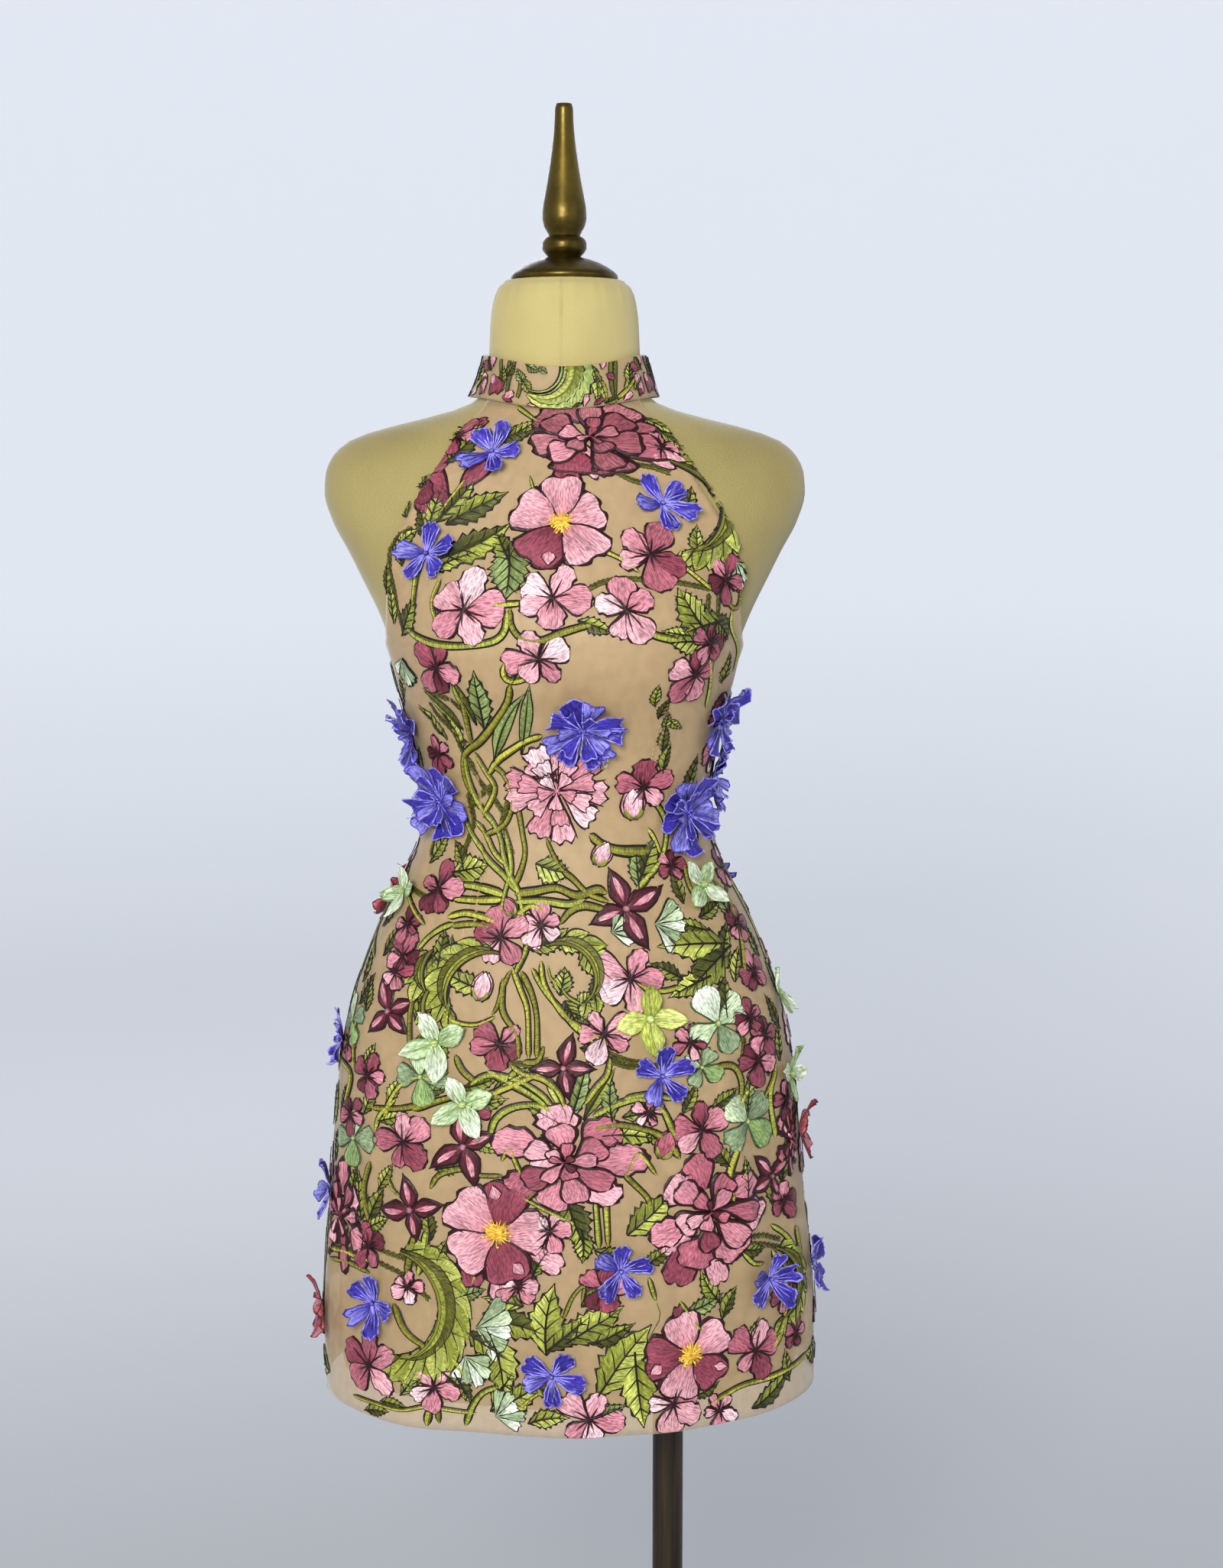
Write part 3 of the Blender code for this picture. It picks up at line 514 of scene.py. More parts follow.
class Nodes:
    """Short ways to build one material's nodes."""

    def __init__(self, name: str) -> None:
        """Starts a material.

        Args:
            name: The material's name.
        """
        self.material = bpy.data.materials.new(name)
        self.material.use_nodes = True
        self.tree = self.material.node_tree
        self.shader = self.tree.nodes["Principled BSDF"]

    def add(self, kind: str, **settings: object) -> bpy.types.Node:
        """A node of a kind, with its settings."""
        node = self.tree.nodes.new(kind)
        for key, value in settings.items():
            setattr(node, key, value)
        return node

    def link(self, source: Socket, target: Socket) -> None:
        """Joins two sockets."""
        self.tree.links.new(source, target)

    def fill(self, sockets: Sequence[Socket], values: Sequence[object]) -> None:
        """Links each value into its socket, or sets it there where it is a constant."""
        for socket, value in zip(sockets, values):
            if isinstance(value, Socket):
                self.link(value, socket)
            else:
                socket.default_value = value

    def value(self, socket: str, value: object) -> None:
        """Sets a constant straight on the shader."""
        self.shader.inputs[socket].default_value = value

    def coordinates(self, which: str, scale: Triple) -> Socket:
        """Object or UV coordinates, scaled.

        Args:
            which: "Object" or "UV".
            scale: Scale on each axis.
        """
        source = self.add("ShaderNodeTexCoord")
        mapping = self.add("ShaderNodeMapping")
        mapping.inputs["Scale"].default_value = scale
        self.link(source.outputs[which], mapping.inputs["Vector"])
        return mapping.outputs["Vector"]

    def noise(self, vector: Socket, scale: float, detail: float = 3.0, roughness: float = 0.55) -> Socket:
        """Noise values, 0 to 1."""
        node = self.add("ShaderNodeTexNoise")
        node.inputs["Scale"].default_value = scale
        node.inputs["Detail"].default_value = detail
        node.inputs["Roughness"].default_value = roughness
        self.link(vector, node.inputs["Vector"])
        return node.outputs["Fac"]

    def math(self, kind: str, first: object, second: object = 0.0) -> Socket:
        """A sum, product or other mathematics of two values or sockets."""
        node = self.add("ShaderNodeMath", operation=kind)
        self.fill(node.inputs, (first, second))
        return node.outputs[0]

    def weighted(self, first: Socket, one: float, second: Socket, two: float) -> Socket:
        """The sum of two values, each times its weight."""
        return self.math("ADD", self.math("MULTIPLY", first, one), self.math("MULTIPLY", second, two))

    def ramp(self, value: Socket, stops: Sequence[tuple[float, Sequence[float]]]) -> Socket:
        """A colour for each value.

        Args:
            value: The value to look up.
            stops: Places from 0 to 1 with their colours.
        """
        node = self.add("ShaderNodeValToRGB")
        elements = node.color_ramp.elements
        while len(elements) < len(stops):
            elements.new(0.5)
        for element, (place, colour) in zip(elements, stops):
            element.position, element.color = place, colour
        self.link(value, node.inputs["Fac"])
        return node.outputs["Color"]

    def range(self, value: Socket, low: float, high: float, to_low: float, to_high: float) -> Socket:
        """A value taken from one range to another, and kept in it."""
        node = self.add("ShaderNodeMapRange")
        for socket, number in zip(list(node.inputs)[1:5], (low, high, to_low, to_high)):
            socket.default_value = number
        self.link(value, node.inputs["Value"])
        return node.outputs["Result"]

    def mix(self, factor: object, first: object, second: object) -> Socket:
        """A mix of two colours."""
        node = self.add("ShaderNodeMix", data_type="RGBA")
        self.fill((node.inputs[0], *node.inputs[6:8]), (factor, first, second))
        return node.outputs[2]

    def bump(self, height: Socket, distance: float, strength: float = 1.0) -> None:
        """Adds relief to the shader's normal.

        Args:
            height: Values from 0 to 1.
            distance: Relief in metres.
            strength: From 0 to 1.
        """
        node = self.add("ShaderNodeBump")
        node.inputs["Strength"].default_value = strength
        node.inputs["Distance"].default_value = distance
        self.link(height, node.inputs["Height"])
        self.link(node.outputs["Normal"], self.shader.inputs["Normal"])

    def feed(self, source: Socket, socket: str) -> None:
        """Links a socket into the shader."""
        self.link(source, self.shader.inputs[socket])


@dataclass(frozen=True)
class ClothFinish:
    """A woven cloth: its colours, the size of its weave in metres, and its sheen."""

    name: str
    dark: Triple
    light: Triple
    weave: float
    roughness: float
    sheen: float

    def material(self) -> Material:
        """Builds the cloth's material on its UV map."""
        n = Nodes(self.name)
        per = 1 / self.weave
        fine = n.coordinates("UV", (per * 0.35, per, 1))
        slubs = n.noise(fine, 1.0, 2.0)
        cross = n.noise(n.coordinates("UV", (per, per * 0.25, 1)), 1.0, 2.0)
        broad = n.noise(n.coordinates("UV", (5, 3, 1)), 1.0, 1.0)
        shade = n.weighted(slubs, 0.50, cross, 0.30)
        shade = n.math("ADD", shade, n.math("MULTIPLY", broad, 0.20))
        n.feed(n.ramp(shade, ((0.30, linear(*self.dark)), (0.70, linear(*self.light)))), "Base Color")
        n.feed(n.range(slubs, 0.3, 0.7, self.roughness - 0.07, self.roughness + 0.07), "Roughness")
        n.value("Sheen Weight", self.sheen)
        n.value("Sheen Roughness", 0.35)
        n.bump(shade, 0.00018, 0.7)
        return n.material


@dataclass(frozen=True)
class NetFinish:
    """Fine knitted net: its thread colour, cell size in metres, and how much of it is thread."""

    name: str
    colour: Triple
    cell: float
    thread: float

    def material(self) -> Material:
        """Builds the net: round holes in staggered rows, cut by alpha."""
        n = Nodes(self.name)
        grid = n.coordinates("UV", (1 / self.cell, 1 / (self.cell * 1.7320508), 1))
        fields = []
        for shift in (0.0, 0.5):
            moved = n.add("ShaderNodeMapping")
            moved.inputs["Location"].default_value = (shift, shift, 0)
            n.link(grid, moved.inputs["Vector"])
            parts = n.add("ShaderNodeSeparateXYZ")
            n.link(moved.outputs["Vector"], parts.inputs["Vector"])
            x = n.math("SUBTRACT", n.math("FRACT", parts.outputs["X"]), 0.5)
            y = n.math("MULTIPLY", n.math("SUBTRACT", n.math("FRACT", parts.outputs["Y"]), 0.5), 1.732)
            square = n.math("ADD", n.math("MULTIPLY", x, x), n.math("MULTIPLY", y, y))
            fields.append(n.math("SQRT", square))
        hole = n.math("MINIMUM", fields[0], fields[1])
        edge = 0.5 - self.thread / 2
        cover = n.range(hole, edge - 0.06, edge + 0.05, 0.22, 0.62)
        n.feed(cover, "Alpha")
        tone = n.noise(n.coordinates("UV", (120, 90, 1)), 1.0, 3.0)
        red, green, blue = self.colour
        n.feed(n.ramp(tone, ((0.3, linear(red * 0.94, green * 0.94, blue * 0.93)),
            (0.7, linear(min(red * 1.03, 255), green * 1.03, blue * 1.04)))), "Base Color")
        n.value("Roughness", 0.55)
        n.value("Sheen Weight", 0.35)
        n.value("Sheen Roughness", 0.4)
        return n.material


class Studio:
    """The camera, the lights and the pale surround."""

    CAMERA_PLACE = (0.0377, -1.85, 1.380)
    CAMERA_TILT = 82.3
    LENS, SENSOR, FAR = 52.0, 36.0, 40
    # name, place, aim, size, power, colour
    LAMPS = (
        ("key", (-0.45, -2.6, 1.95), (0, 0, 1.12), 0.8, 66, (1.0, 0.985, 0.96)),
        ("fill", (2.3, -1.9, 1.8), (0, 0, 1.10), 1.6, 5, (0.95, 0.97, 1.0)),
        ("top", (0.3, 0.8, 3.3), (0, 0, 1.3), 1.6, 4, (1.0, 1.0, 1.0)),
        ("rear", (-0.8, 2.9, 2.3), (0, 0, 1.1), 1.6, 24, (0.97, 0.98, 1.0)),
    )
    WORLD_LIGHT = 0.22
    FLOOR_REACH, FLOOR_DROP = 3.0, 0.0004
    COVE_RADIUS, COVE_STEPS, WALL_HEIGHT = 3.6, 12, 6.0
    WALL_SIDES = 96

    def camera(self) -> None:
        """Places the camera as in the photo."""
        data = bpy.data.cameras.new("camera")
        data.lens, data.sensor_width, data.clip_end = self.LENS, self.SENSOR, self.FAR
        camera = bpy.data.objects.new("camera", data)
        camera.location = self.CAMERA_PLACE
        camera.rotation_euler = (radians(self.CAMERA_TILT), 0.0, 0.0)
        bpy.context.scene.collection.objects.link(camera)
        bpy.context.scene.camera = camera

    def lamp(self, name: str, place: Sequence[float], aim: Sequence[float], size: float, power: float,
            colour: Sequence[float]) -> None:
        """A square soft light.

        Args:
            name: The light's name.
            place: Where it stands.
            aim: What it points at.
            size: Its side, in metres.
            power: Its power, in watts.
            colour: Its colour.
        """
        data = bpy.data.lights.new(name, "AREA")
        data.shape, data.size, data.energy, data.color = "SQUARE", size, power, colour
        lamp = bpy.data.objects.new(name, data)
        lamp.location = place
        lamp.rotation_euler = (Vector(aim) - Vector(place)).to_track_quat("-Z", "Y").to_euler()
        bpy.context.scene.collection.objects.link(lamp)

    def lights(self) -> None:
        """A large key light in front, a weaker fill, and a light from above and behind."""
        for row in self.LAMPS:
            self.lamp(*row)
        world = bpy.data.worlds.new("world")
        world.use_nodes = True
        background = world.node_tree.nodes["Background"]
        background.inputs["Color"].default_value = linear(232, 236, 244)
        background.inputs["Strength"].default_value = self.WORLD_LIGHT
        bpy.context.scene.world = world
        bpy.context.scene.view_settings.view_transform = "Standard"

    def surround(self) -> None:
        """A pale floor that turns up into a round wall, far enough off for every view. It glows as painted light, and
        its colour and glow are darker towards the middle of the floor as painted shade.
        """
        reach, cove = self.FLOOR_REACH, self.COVE_RADIUS
        profile = [(0.001, 0.0), (1.0, 0.0), (2.0, 0.0), (reach, 0.0)]
        for step in range(1, self.COVE_STEPS + 1):
            turn = pi / 2 * step / self.COVE_STEPS
            profile.append((reach + cove * sin(turn), cove * (1 - cos(turn))))
        profile.append((reach + cove, self.WALL_HEIGHT))
        turns = np.linspace(0, 2 * pi, self.WALL_SIDES + 1)[:-1]
        rows = np.array([[(*polar(r, t), h - self.FLOOR_DROP) for t in turns] for r, h in profile])
        faces = grid_faces(len(profile), len(turns), True)
        stage = face_out(link_mesh("surround", rows.reshape(-1, 3), faces.tolist()))
        for polygon in stage.data.polygons[:1]:
            if polygon.normal.z < 0:
                stage.data.flip_normals()
        n = Nodes("surround")
        far = n.add("ShaderNodeVectorMath", operation="LENGTH")
        n.link(n.coordinates("Object", (1, 1, 0.6)), far.inputs[0])
        share = n.range(far.outputs["Value"], 0.8, 5.5, 0.0, 1.0)
        # painted shade: the colour and the glow are darker towards the middle of the floor, and the glow itself is
        # painted light
        n.feed(n.ramp(share, ((0.0, linear(188, 190, 194)), (1.0, linear(228, 230, 234)))), "Base Color")
        n.feed(n.ramp(share, ((0.0, linear(46, 48, 51)), (1.0, linear(162, 166, 172)))), "Emission Color")
        # painted light and shade: the surround glows less in front of the dress than on the wall behind it
        sides = n.add("ShaderNodeSeparateXYZ")
        n.link(n.coordinates("Object", (1, 1, 1)), sides.inputs[0])
        n.feed(n.range(sides.outputs["Y"], -2.5, 1.5, 0.42, 1.0), "Emission Strength")
        n.value("Roughness", 0.85)
        n.value("Specular IOR Level", 0.2)
        stage.data.materials.append(n.material)

    def build(self) -> None:
        """Builds all of it."""
        self.camera()
        self.lights()
        self.surround()
        log.info("camera, lights and surround")


# ---------------------------------------------------------------- pieces


def dress_piece(piece: Piece, material: Material, slot: str, *nodes: str) -> Piece:
    """Gives a piece its material and body, and hides the CAD nodes that it stands for.

    Args:
        piece: The finished piece.
        material: Its material.
        slot: The name of its material slot; not used.
        nodes: CAD nodes that it replaces.
    """
    piece.data.materials.clear()
    piece.data.materials.append(material)
    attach(piece, "root")
    if nodes:
        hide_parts(*nodes)
    log.info("%s: %d faces", piece.name, len(piece.data.polygons))
    return piece


@dataclass
class Panels:
    """The front and the two backs of one layer."""

    layer: Layer
    material: Material
    slot: str
    hem: float
    inner: float
    outer: float
    front_columns: int = 76
    back_columns: int = 38
    skirt_rows: int = 88
    yoke_rows: int = 32

    def front(self) -> tuple[Array, Array]:
        """Angles and levels of the front's grid, from the hem to the neck seam."""
        skirt = np.linspace(self.hem, UNDERARM, self.skirt_rows + 1)
        turn = UNDERARM + ARMHOLE_TURN
        edge = np.concatenate([UNDERARM + ARMHOLE_TURN * (np.arange(1, 6) / 6) ** 2,
            np.linspace(turn, NECK_SEAM_FRONT, self.yoke_rows + 1)])
        middle = np.linspace(UNDERARM, NECK_SEAM_FRONT, len(edge) + 1)[1:]
        middle, edge = np.concatenate([skirt, middle]), np.concatenate([skirt, edge])
        share = np.linspace(-1, 1, self.front_columns + 1)[None, :]
        angle = halter_angle(edge)[:, None] * share
        near_neck = np.maximum(middle - UNDERARM, 0.0) / (NECK_SEAM_FRONT - UNDERARM)
        rise = (neck_seam(angle) - NECK_SEAM_FRONT) * near_neck[:, None] ** 3
        level = middle[:, None] + (edge - middle)[:, None] * share**2 + rise
        return angle, level

    def back(self, side: int) -> tuple[Array, Array]:
        """Angles and levels of one back's grid, from its side seam to the middle of the back.

        Args:
            side: 1 for +X, or -1.
        """
        skirt = np.linspace(self.hem, UNDERARM, self.skirt_rows + 1)[:, None]
        share = np.linspace(0, 1, self.back_columns + 1)[None, :]
        height = np.maximum((skirt - LINING_HEM) / (UNDERARM - LINING_HEM), 0.0)
        level = skirt - BACK_DIP * np.sin(pi / 2 * share) ** 2 * height**3
        start = pi / 2 + half_seam(skirt)
        end = pi - 1.5 * half_seam(skirt)
        return side * (start + (end - start) * share), level

    def panel(self, name: str, angle: Array, level: Array) -> None:
        """Args:
            name: The CAD node's name.
            angle: Its grid's angles.
            level: Its grid's levels.
        """
        outer = Cloth.points(angle, level, self.layer, self.outer)
        inner = Cloth.points(angle, level, self.layer, self.inner)
        across = np.zeros(angle.shape)
        across[:, 1:] = np.cumsum(np.linalg.norm(np.diff(outer, axis=1), axis=-1), axis=1)
        across -= across[:, angle.shape[1] // 2, None]
        upward = np.zeros(angle.shape)
        upward[1:] = np.cumsum(np.linalg.norm(np.diff(outer, axis=0), axis=-1), axis=0)
        piece = closed_sheet(f"{name}_cloth", outer, inner, np.stack([across, upward], axis=-1))
        dress_piece(piece, self.material, self.slot, name)

    def build(self) -> None:
        """Builds the three panels."""
        word = self.layer.value
        self.panel(f"{word}_front", *self.front())
        self.panel(f"{word}_back_right", *self.back(1))
        self.panel(f"{word}_back_left", *self.back(-1))


@dataclass
class Neckband:
    """The stand band of net round the neck."""

    material: Material
    thickness: float = BAND_THICKNESS
    columns: int = 160
    rows: int = 12

    @staticmethod
    def points(angle: Array, share: Array, lift: Array | float) -> Array:
        """Points of the band.

        Args:
            angle: Turns, in radians.
            share: From the seam, 0, to the top edge, 1.
            lift: How far out from the band's inner face.
        """
        angle, share = np.broadcast_arrays(np.asarray(angle, float), np.asarray(share, float))
        place, normal, _, _ = Cloth.frame(angle, neck_seam(angle), Layer.OVERLAY)
        seam = place + normal * OVERLAY_FACE
        foot = np.hypot(seam[..., 0], seam[..., 1]) + BAND_FLARE
        rise = np.clip(share, 0.0, None) ** 0.8
        radius = foot + (BAND_TOP_RADIUS - foot) * rise + lift
        level = seam[..., 2] + CLEARANCE + BAND_HEIGHT * share
        return np.stack([radius * np.sin(angle), -radius * np.cos(angle), level], axis=-1)

    def build(self) -> Piece:
        """Builds the band as one thin sheet."""
        angle = np.linspace(-BAND_END, BAND_END, self.columns + 1)[None, :]
        share = np.linspace(0, 1, self.rows + 1)[:, None]
        outer = self.points(angle, share, self.thickness - 0.0004)
        inner = self.points(angle, share, 0.0004)
        across = np.broadcast_to(angle * BAND_RADIUS, outer.shape[:2])
        upward = np.broadcast_to(share * BAND_HEIGHT, outer.shape[:2])
        piece = closed_sheet("neckband_cloth", outer, inner, np.stack([across, upward], axis=-1))
        dress_piece(piece, self.material, "net", "neckband")
        return piece


# ---------------------------------------------------------------- embroidery


class Palette:
    """Thread colours, in linear light."""

    NAMED = {"pink white": (246, 214, 220), "pink light": (232, 172, 180), "pink": (212, 140, 152),
        "pink deep": (184, 104, 118), "rose": (152, 72, 88), "dusk": (150, 82, 90), "dusk light": (184, 116, 122),
        "rose deep": (112, 40, 54), "burgundy": (46, 12, 18), "wine": (44, 10, 18), "leaf light": (164, 172, 66),
        "leaf pale": (198, 204, 100), "leaf sage": (140, 160, 92), "leaf olive": (96, 100, 26),
        "leaf dark": (46, 48, 12), "stem light": (180, 176, 66), "stem mid": (138, 134, 42),
        "stem olive": (104, 100, 22), "dark": (28, 20, 8), "tan": (196, 166, 122), "mint": (214, 232, 190),
        "mint white": (248, 254, 236), "mint deep": (138, 166, 100), "sage": (150, 170, 128),
        "sage deep": (66, 84, 50), "lime": (180, 190, 84), "lime light": (222, 228, 140), "violet": (64, 52, 166),
        "violet light": (146, 140, 236), "violet deep": (16, 6, 74), "rosette": (168, 58, 68),
        "rosette light": (214, 112, 120), "yellow": (250, 214, 84), "orange": (214, 132, 16)}

    @classmethod
    @lru_cache(maxsize=None)
    def get(cls, name: str) -> Array:
        """A thread colour by its name."""
        return np.array(linear(*cls.NAMED[name])[:3])


class Lay(Enum):
    """Which way the threads of a patch run, as a turn from its length in degrees."""

    ALONG = 0.0
    SLANTED = 52.0
    ACROSS = 90.0


@dataclass(frozen=True)
class Outline:
    """The cut of a petal or leaf: half widths along it, its tip, and the teeth of its edge."""

    widths: tuple[Pair, ...]
    rounding: float = 0.0
    notch: float = 0.0
    teeth: int = 0
    bite: float = 0.0
    zigzag: float = 0.0


ROUND = Outline(((0, 0.20), (0.30, 0.62), (0.62, 1.0), (0.86, 0.92), (1, 0.58)), 0.17, 0.07)
HEART = Outline(((0, 0.22), (0.28, 0.50), (0.58, 0.90), (0.82, 1.0), (1, 0.66)), 0.15, 0.17)
LOBED = Outline(((0, 0.24), (0.30, 0.72), (0.48, 1.0), (0.60, 0.82), (0.80, 0.92), (1, 0.46)), 0.12, 0.04)
BROAD = Outline(((0, 0.24), (0.25, 0.64), (0.55, 0.96), (0.80, 1.0), (1, 0.74)), 0.15, 0.12)
POINTED = Outline(((0, 0.28), (0.36, 1.0), (0.72, 0.58), (1, 0.05)))
LEAFY = Outline(((0, 0.10), (0.18, 0.66), (0.42, 1.0), (0.74, 0.62), (1, 0.05)), teeth=7, bite=0.17)
SLENDER = Outline(((0, 0.20), (0.30, 0.88), (0.52, 1.0), (0.80, 0.58), (1, 0.04)))
FRINGED = Outline(((0, 0.16), (0.40, 0.54), (0.75, 0.92), (1, 1.0)), 0.10, 0.0, zigzag=0.16)
STRIP = Outline(((0, 0.8), (0.12, 1.0), (0.75, 0.8), (1, 0.15)))
CORD = Outline(((0, 0.9), (0.5, 1.0), (1, 0.9)))
TULIP = Outline(((0, 0.40), (0.25, 0.92), (0.5, 1.0), (0.8, 0.60), (1, 0.10)))


@dataclass(frozen=True)
class Paint:
    """The threads of a patch: from its root to its tip, its edge, and how high they are laid."""

    root: str
    tip: str
    edge: str
    edge_width: float = 0.0008
    fill: float = 0.0005
    cord: float = 0.0007
    lay: Lay = Lay.ALONG
    blend: float = 1.0


class Spot:
    """A place on the dress that a motif is drawn round, in metres across and up from it."""

    def __init__(self, angle: float, level: float, turn: float = 0.0, stretch: Pair = (1.0, 1.0)) -> None:
        """Measures the cloth there.

        Args:
            angle: Degrees from the middle of the front.
            level: Height from the shoulder line.
            turn: How far the motif is turned, in degrees.
            stretch: Its scale across and up, after the turn.
        """
        self.angle, self.level = radians(angle), level
        self.turn, self.stretch = radians(turn), stretch
        _, _, per_turn, per_level = Cloth.frame(np.array([self.angle]), np.array([level]), Layer.OVERLAY)
        self.per_turn, self.per_level = float(per_turn[0]), float(per_level[0])

    def place(self, x: Array, y: Array) -> tuple[Array, Array]:
        """Angles and levels of points given in metres from the spot."""
        c, s = cos(self.turn), sin(self.turn)
        across, up = (x * c - y * s) * self.stretch[0], (x * s + y * c) * self.stretch[1]
        return self.angle + across / self.per_turn, self.level + up / self.per_level


class BandSpot(Spot):
    """A place on the neckband. Its level is the share of the band's height, 0 to 1."""

    def __init__(self, angle: float, share: float, turn: float = 0.0) -> None:
        """Measures the band."""
        self.angle, self.level, self.turn = radians(angle), share, radians(turn)
        self.stretch, self.per_turn, self.per_level = (1.0, 1.0), BAND_RADIUS, BAND_HEIGHT


def bent_strip(root: Pair, heading: float, bend: float, length: float, t: Array, aside: Array) -> tuple[Array,
        Array]:
    """Places on a strip whose middle line is an arc.

    Args:
        root: Where the strip starts.
        heading: Which way it starts, in degrees from the right.
        bend: How far it turns along its length, in degrees.
        length: The length of its middle line.
        t: Shares of that length.
        aside: Distances from the middle line, to its right.
    """
    first, turn = radians(heading), radians(bend)
    way = first + turn * t
    if abs(turn) > 1e-4:
        x = (np.sin(way) - sin(first)) / turn * length
        y = (cos(first) - np.cos(way)) / turn * length
    else:
        x, y = cos(first) * t * length, sin(first) * t * length
    return root[0] + x + np.sin(way) * aside, root[1] + y - np.cos(way) * aside


class Embroidery:
    """Patches of laid thread, gathered into one mesh."""

    NET_FACE = 0.0023
    LINING_FACE = 0.0010
    BAND_FACE = 0.0013
    KNOT_SIDES = 10
    CHAIN_STEP = 0.0042
    STEM_STEP = 0.0035
    STEM_TAPER = 0.006
    STEM_ACROSS = (-1.0, -0.78, -0.58, -0.20, 0.24, 0.58, 0.78, 1.0)
    STEM_RISE = (-0.0001, 0.0006, 0.0006, 0.0014, 0.0013, 0.0006, 0.0006, -0.0001)

    def __init__(self, name: str, seed: int, band: bool = False, reach: float = 0.0012,
            layer: Layer = Layer.OVERLAY) -> None:
        """Starts with no patches.

        Args:
            name: The finished piece's name.
            seed: Seed of its small differences.
            band: True for work on the neckband.
            reach: How far patches may stand past the garment's cut edge.
            layer: The layer that it is worked on.
        """
        self.name, self.band, self.reach, self.layer = name, band, reach, layer
        self.random = np.random.default_rng(seed)
        self.places: list[Array] = []
        self.uvs: list[Array] = []
        self.faces: list[Array] = []
        self.colours: list[Array] = []
        self.count = 0

    def vary(self, low: float, high: float) -> float:
        """A number drawn between two others."""
        return self.random.uniform(low, high)

    def add(self, angle: Array, level: Array, height: Array, uv: Array, colour: Array, edge: Array,
            edge_colour: Array) -> None:
        """Adds one patch.

        Args:
            angle: Angles of its grid.
            level: Levels of its grid.
            height: How far each point stands off the net.
            uv: Places along and across the threads, in metres.
            colour: A colour for each point.
            edge: True for each face that belongs to the edge.
            edge_colour: The edge's colour.
        """
        rows, columns = angle.shape
        faces = grid_faces(rows, columns)
        corners = colour.reshape(-1, 3)[faces]
        corners[edge.ravel()] = edge_colour
        self.places.append(np.stack([angle, level, height], -1).reshape(-1, 3))
        self.uvs.append((uv + self.random.uniform(0, 5, 2)).reshape(-1, 2)[faces])
        self.colours.append(corners)
        self.faces.append(faces + self.count)
        self.count += rows * columns

    def blade(self, spot: Spot, root: Pair, heading: float, size: Pair, outline: Outline, paint: Paint,
            lift: float = 0.0, bend: float = 0.0, sides: tuple[int, int] = (-1, 1), across: int = 4, along: int = 6,
            stand: Triple | None = None) -> None:
        """Adds a petal, leaf, vein or bud: one patch on a straight or bent middle line.

        Args:
            spot: The motif's place.
            root: Where the patch starts, from the spot.
            heading: Which way it points, in degrees from the right.
            size: Its length and its full width.
            outline: Its cut.
            paint: Its threads.
            lift: How far it lies over the net.
            bend: How far it turns along its length, in degrees.
            sides: -1 or 0 for its right edge, and 0 or 1 for its left.
            across: Columns of faces inside its edges.
            along: Rows of faces inside its edges.
            stand: Cup, ruffle and curl of a petal that stands free of the cloth, in metres.
        """
        length, half = size[0], size[1] / 2
        near = min(paint.edge_width / length, 0.18)
        if outline.teeth:
            start = np.arange(outline.teeth) / outline.teeth
            s = np.concatenate([start, start + 0.70 / outline.teeth])
            ripple = np.concatenate([-np.ones(outline.teeth), np.ones(outline.teeth)])
            keep = s < 1 - 1.3 * near
            order = np.argsort(s[keep])
            s, ripple = s[keep][order], ripple[keep][order]
            s = np.concatenate([s, [1 - near, 1 - near / 2, 1.0]])
            ripple = np.concatenate([ripple, [0, 0, 0]]) * outline.bite
        else:
            s = np.concatenate([[0.0], np.linspace(near, 1 - near, along + 1), [1 - near / 2, 1.0]])
            ripple = np.zeros(len(s))
        s = s[:, None]
        wide = np.maximum(half * Table(outline.widths).at(s)[..., 0], 1e-5)
        band = np.clip(paint.edge_width / wide, 0.04, 0.75)
        low = -(1 - band) if sides[0] else np.zeros_like(band)
        high = (1 - band) if sides[1] else np.zeros_like(band)
        inner = low + (high - low) * np.linspace(0, 1, across + 1)[None, :]
        parts = [inner]
        if sides[0]:
            parts.insert(0, np.concatenate([-np.ones_like(band), -(1 - band / 2)], axis=1))
        if sides[1]:
            parts.append(np.concatenate([1 - band / 2, np.ones_like(band)], axis=1))
        tau = np.concatenate(parts, axis=1)
        size_of_tau = np.abs(tau)
        width = wide * (1 + ripple[:, None] * size_of_tau**3)
        wobble = self.random.uniform(0, 6.28, 3)
        width = width * (1 + 0.05 * np.sin(7 * s + wobble[0] + tau))
        zig = np.abs(((tau * 3.5 + wobble[1]) % 1) - 0.5) * 2 - 0.5
        t = (s - outline.rounding * size_of_tau**3 * s**5 - outline.notch * np.exp(-((tau / 0.22) ** 2)) * s**8
            + outline.zigzag * zig * s**6)
        angle, level = spot.place(*bent_strip(root, heading, bend, length, t, tau * width))

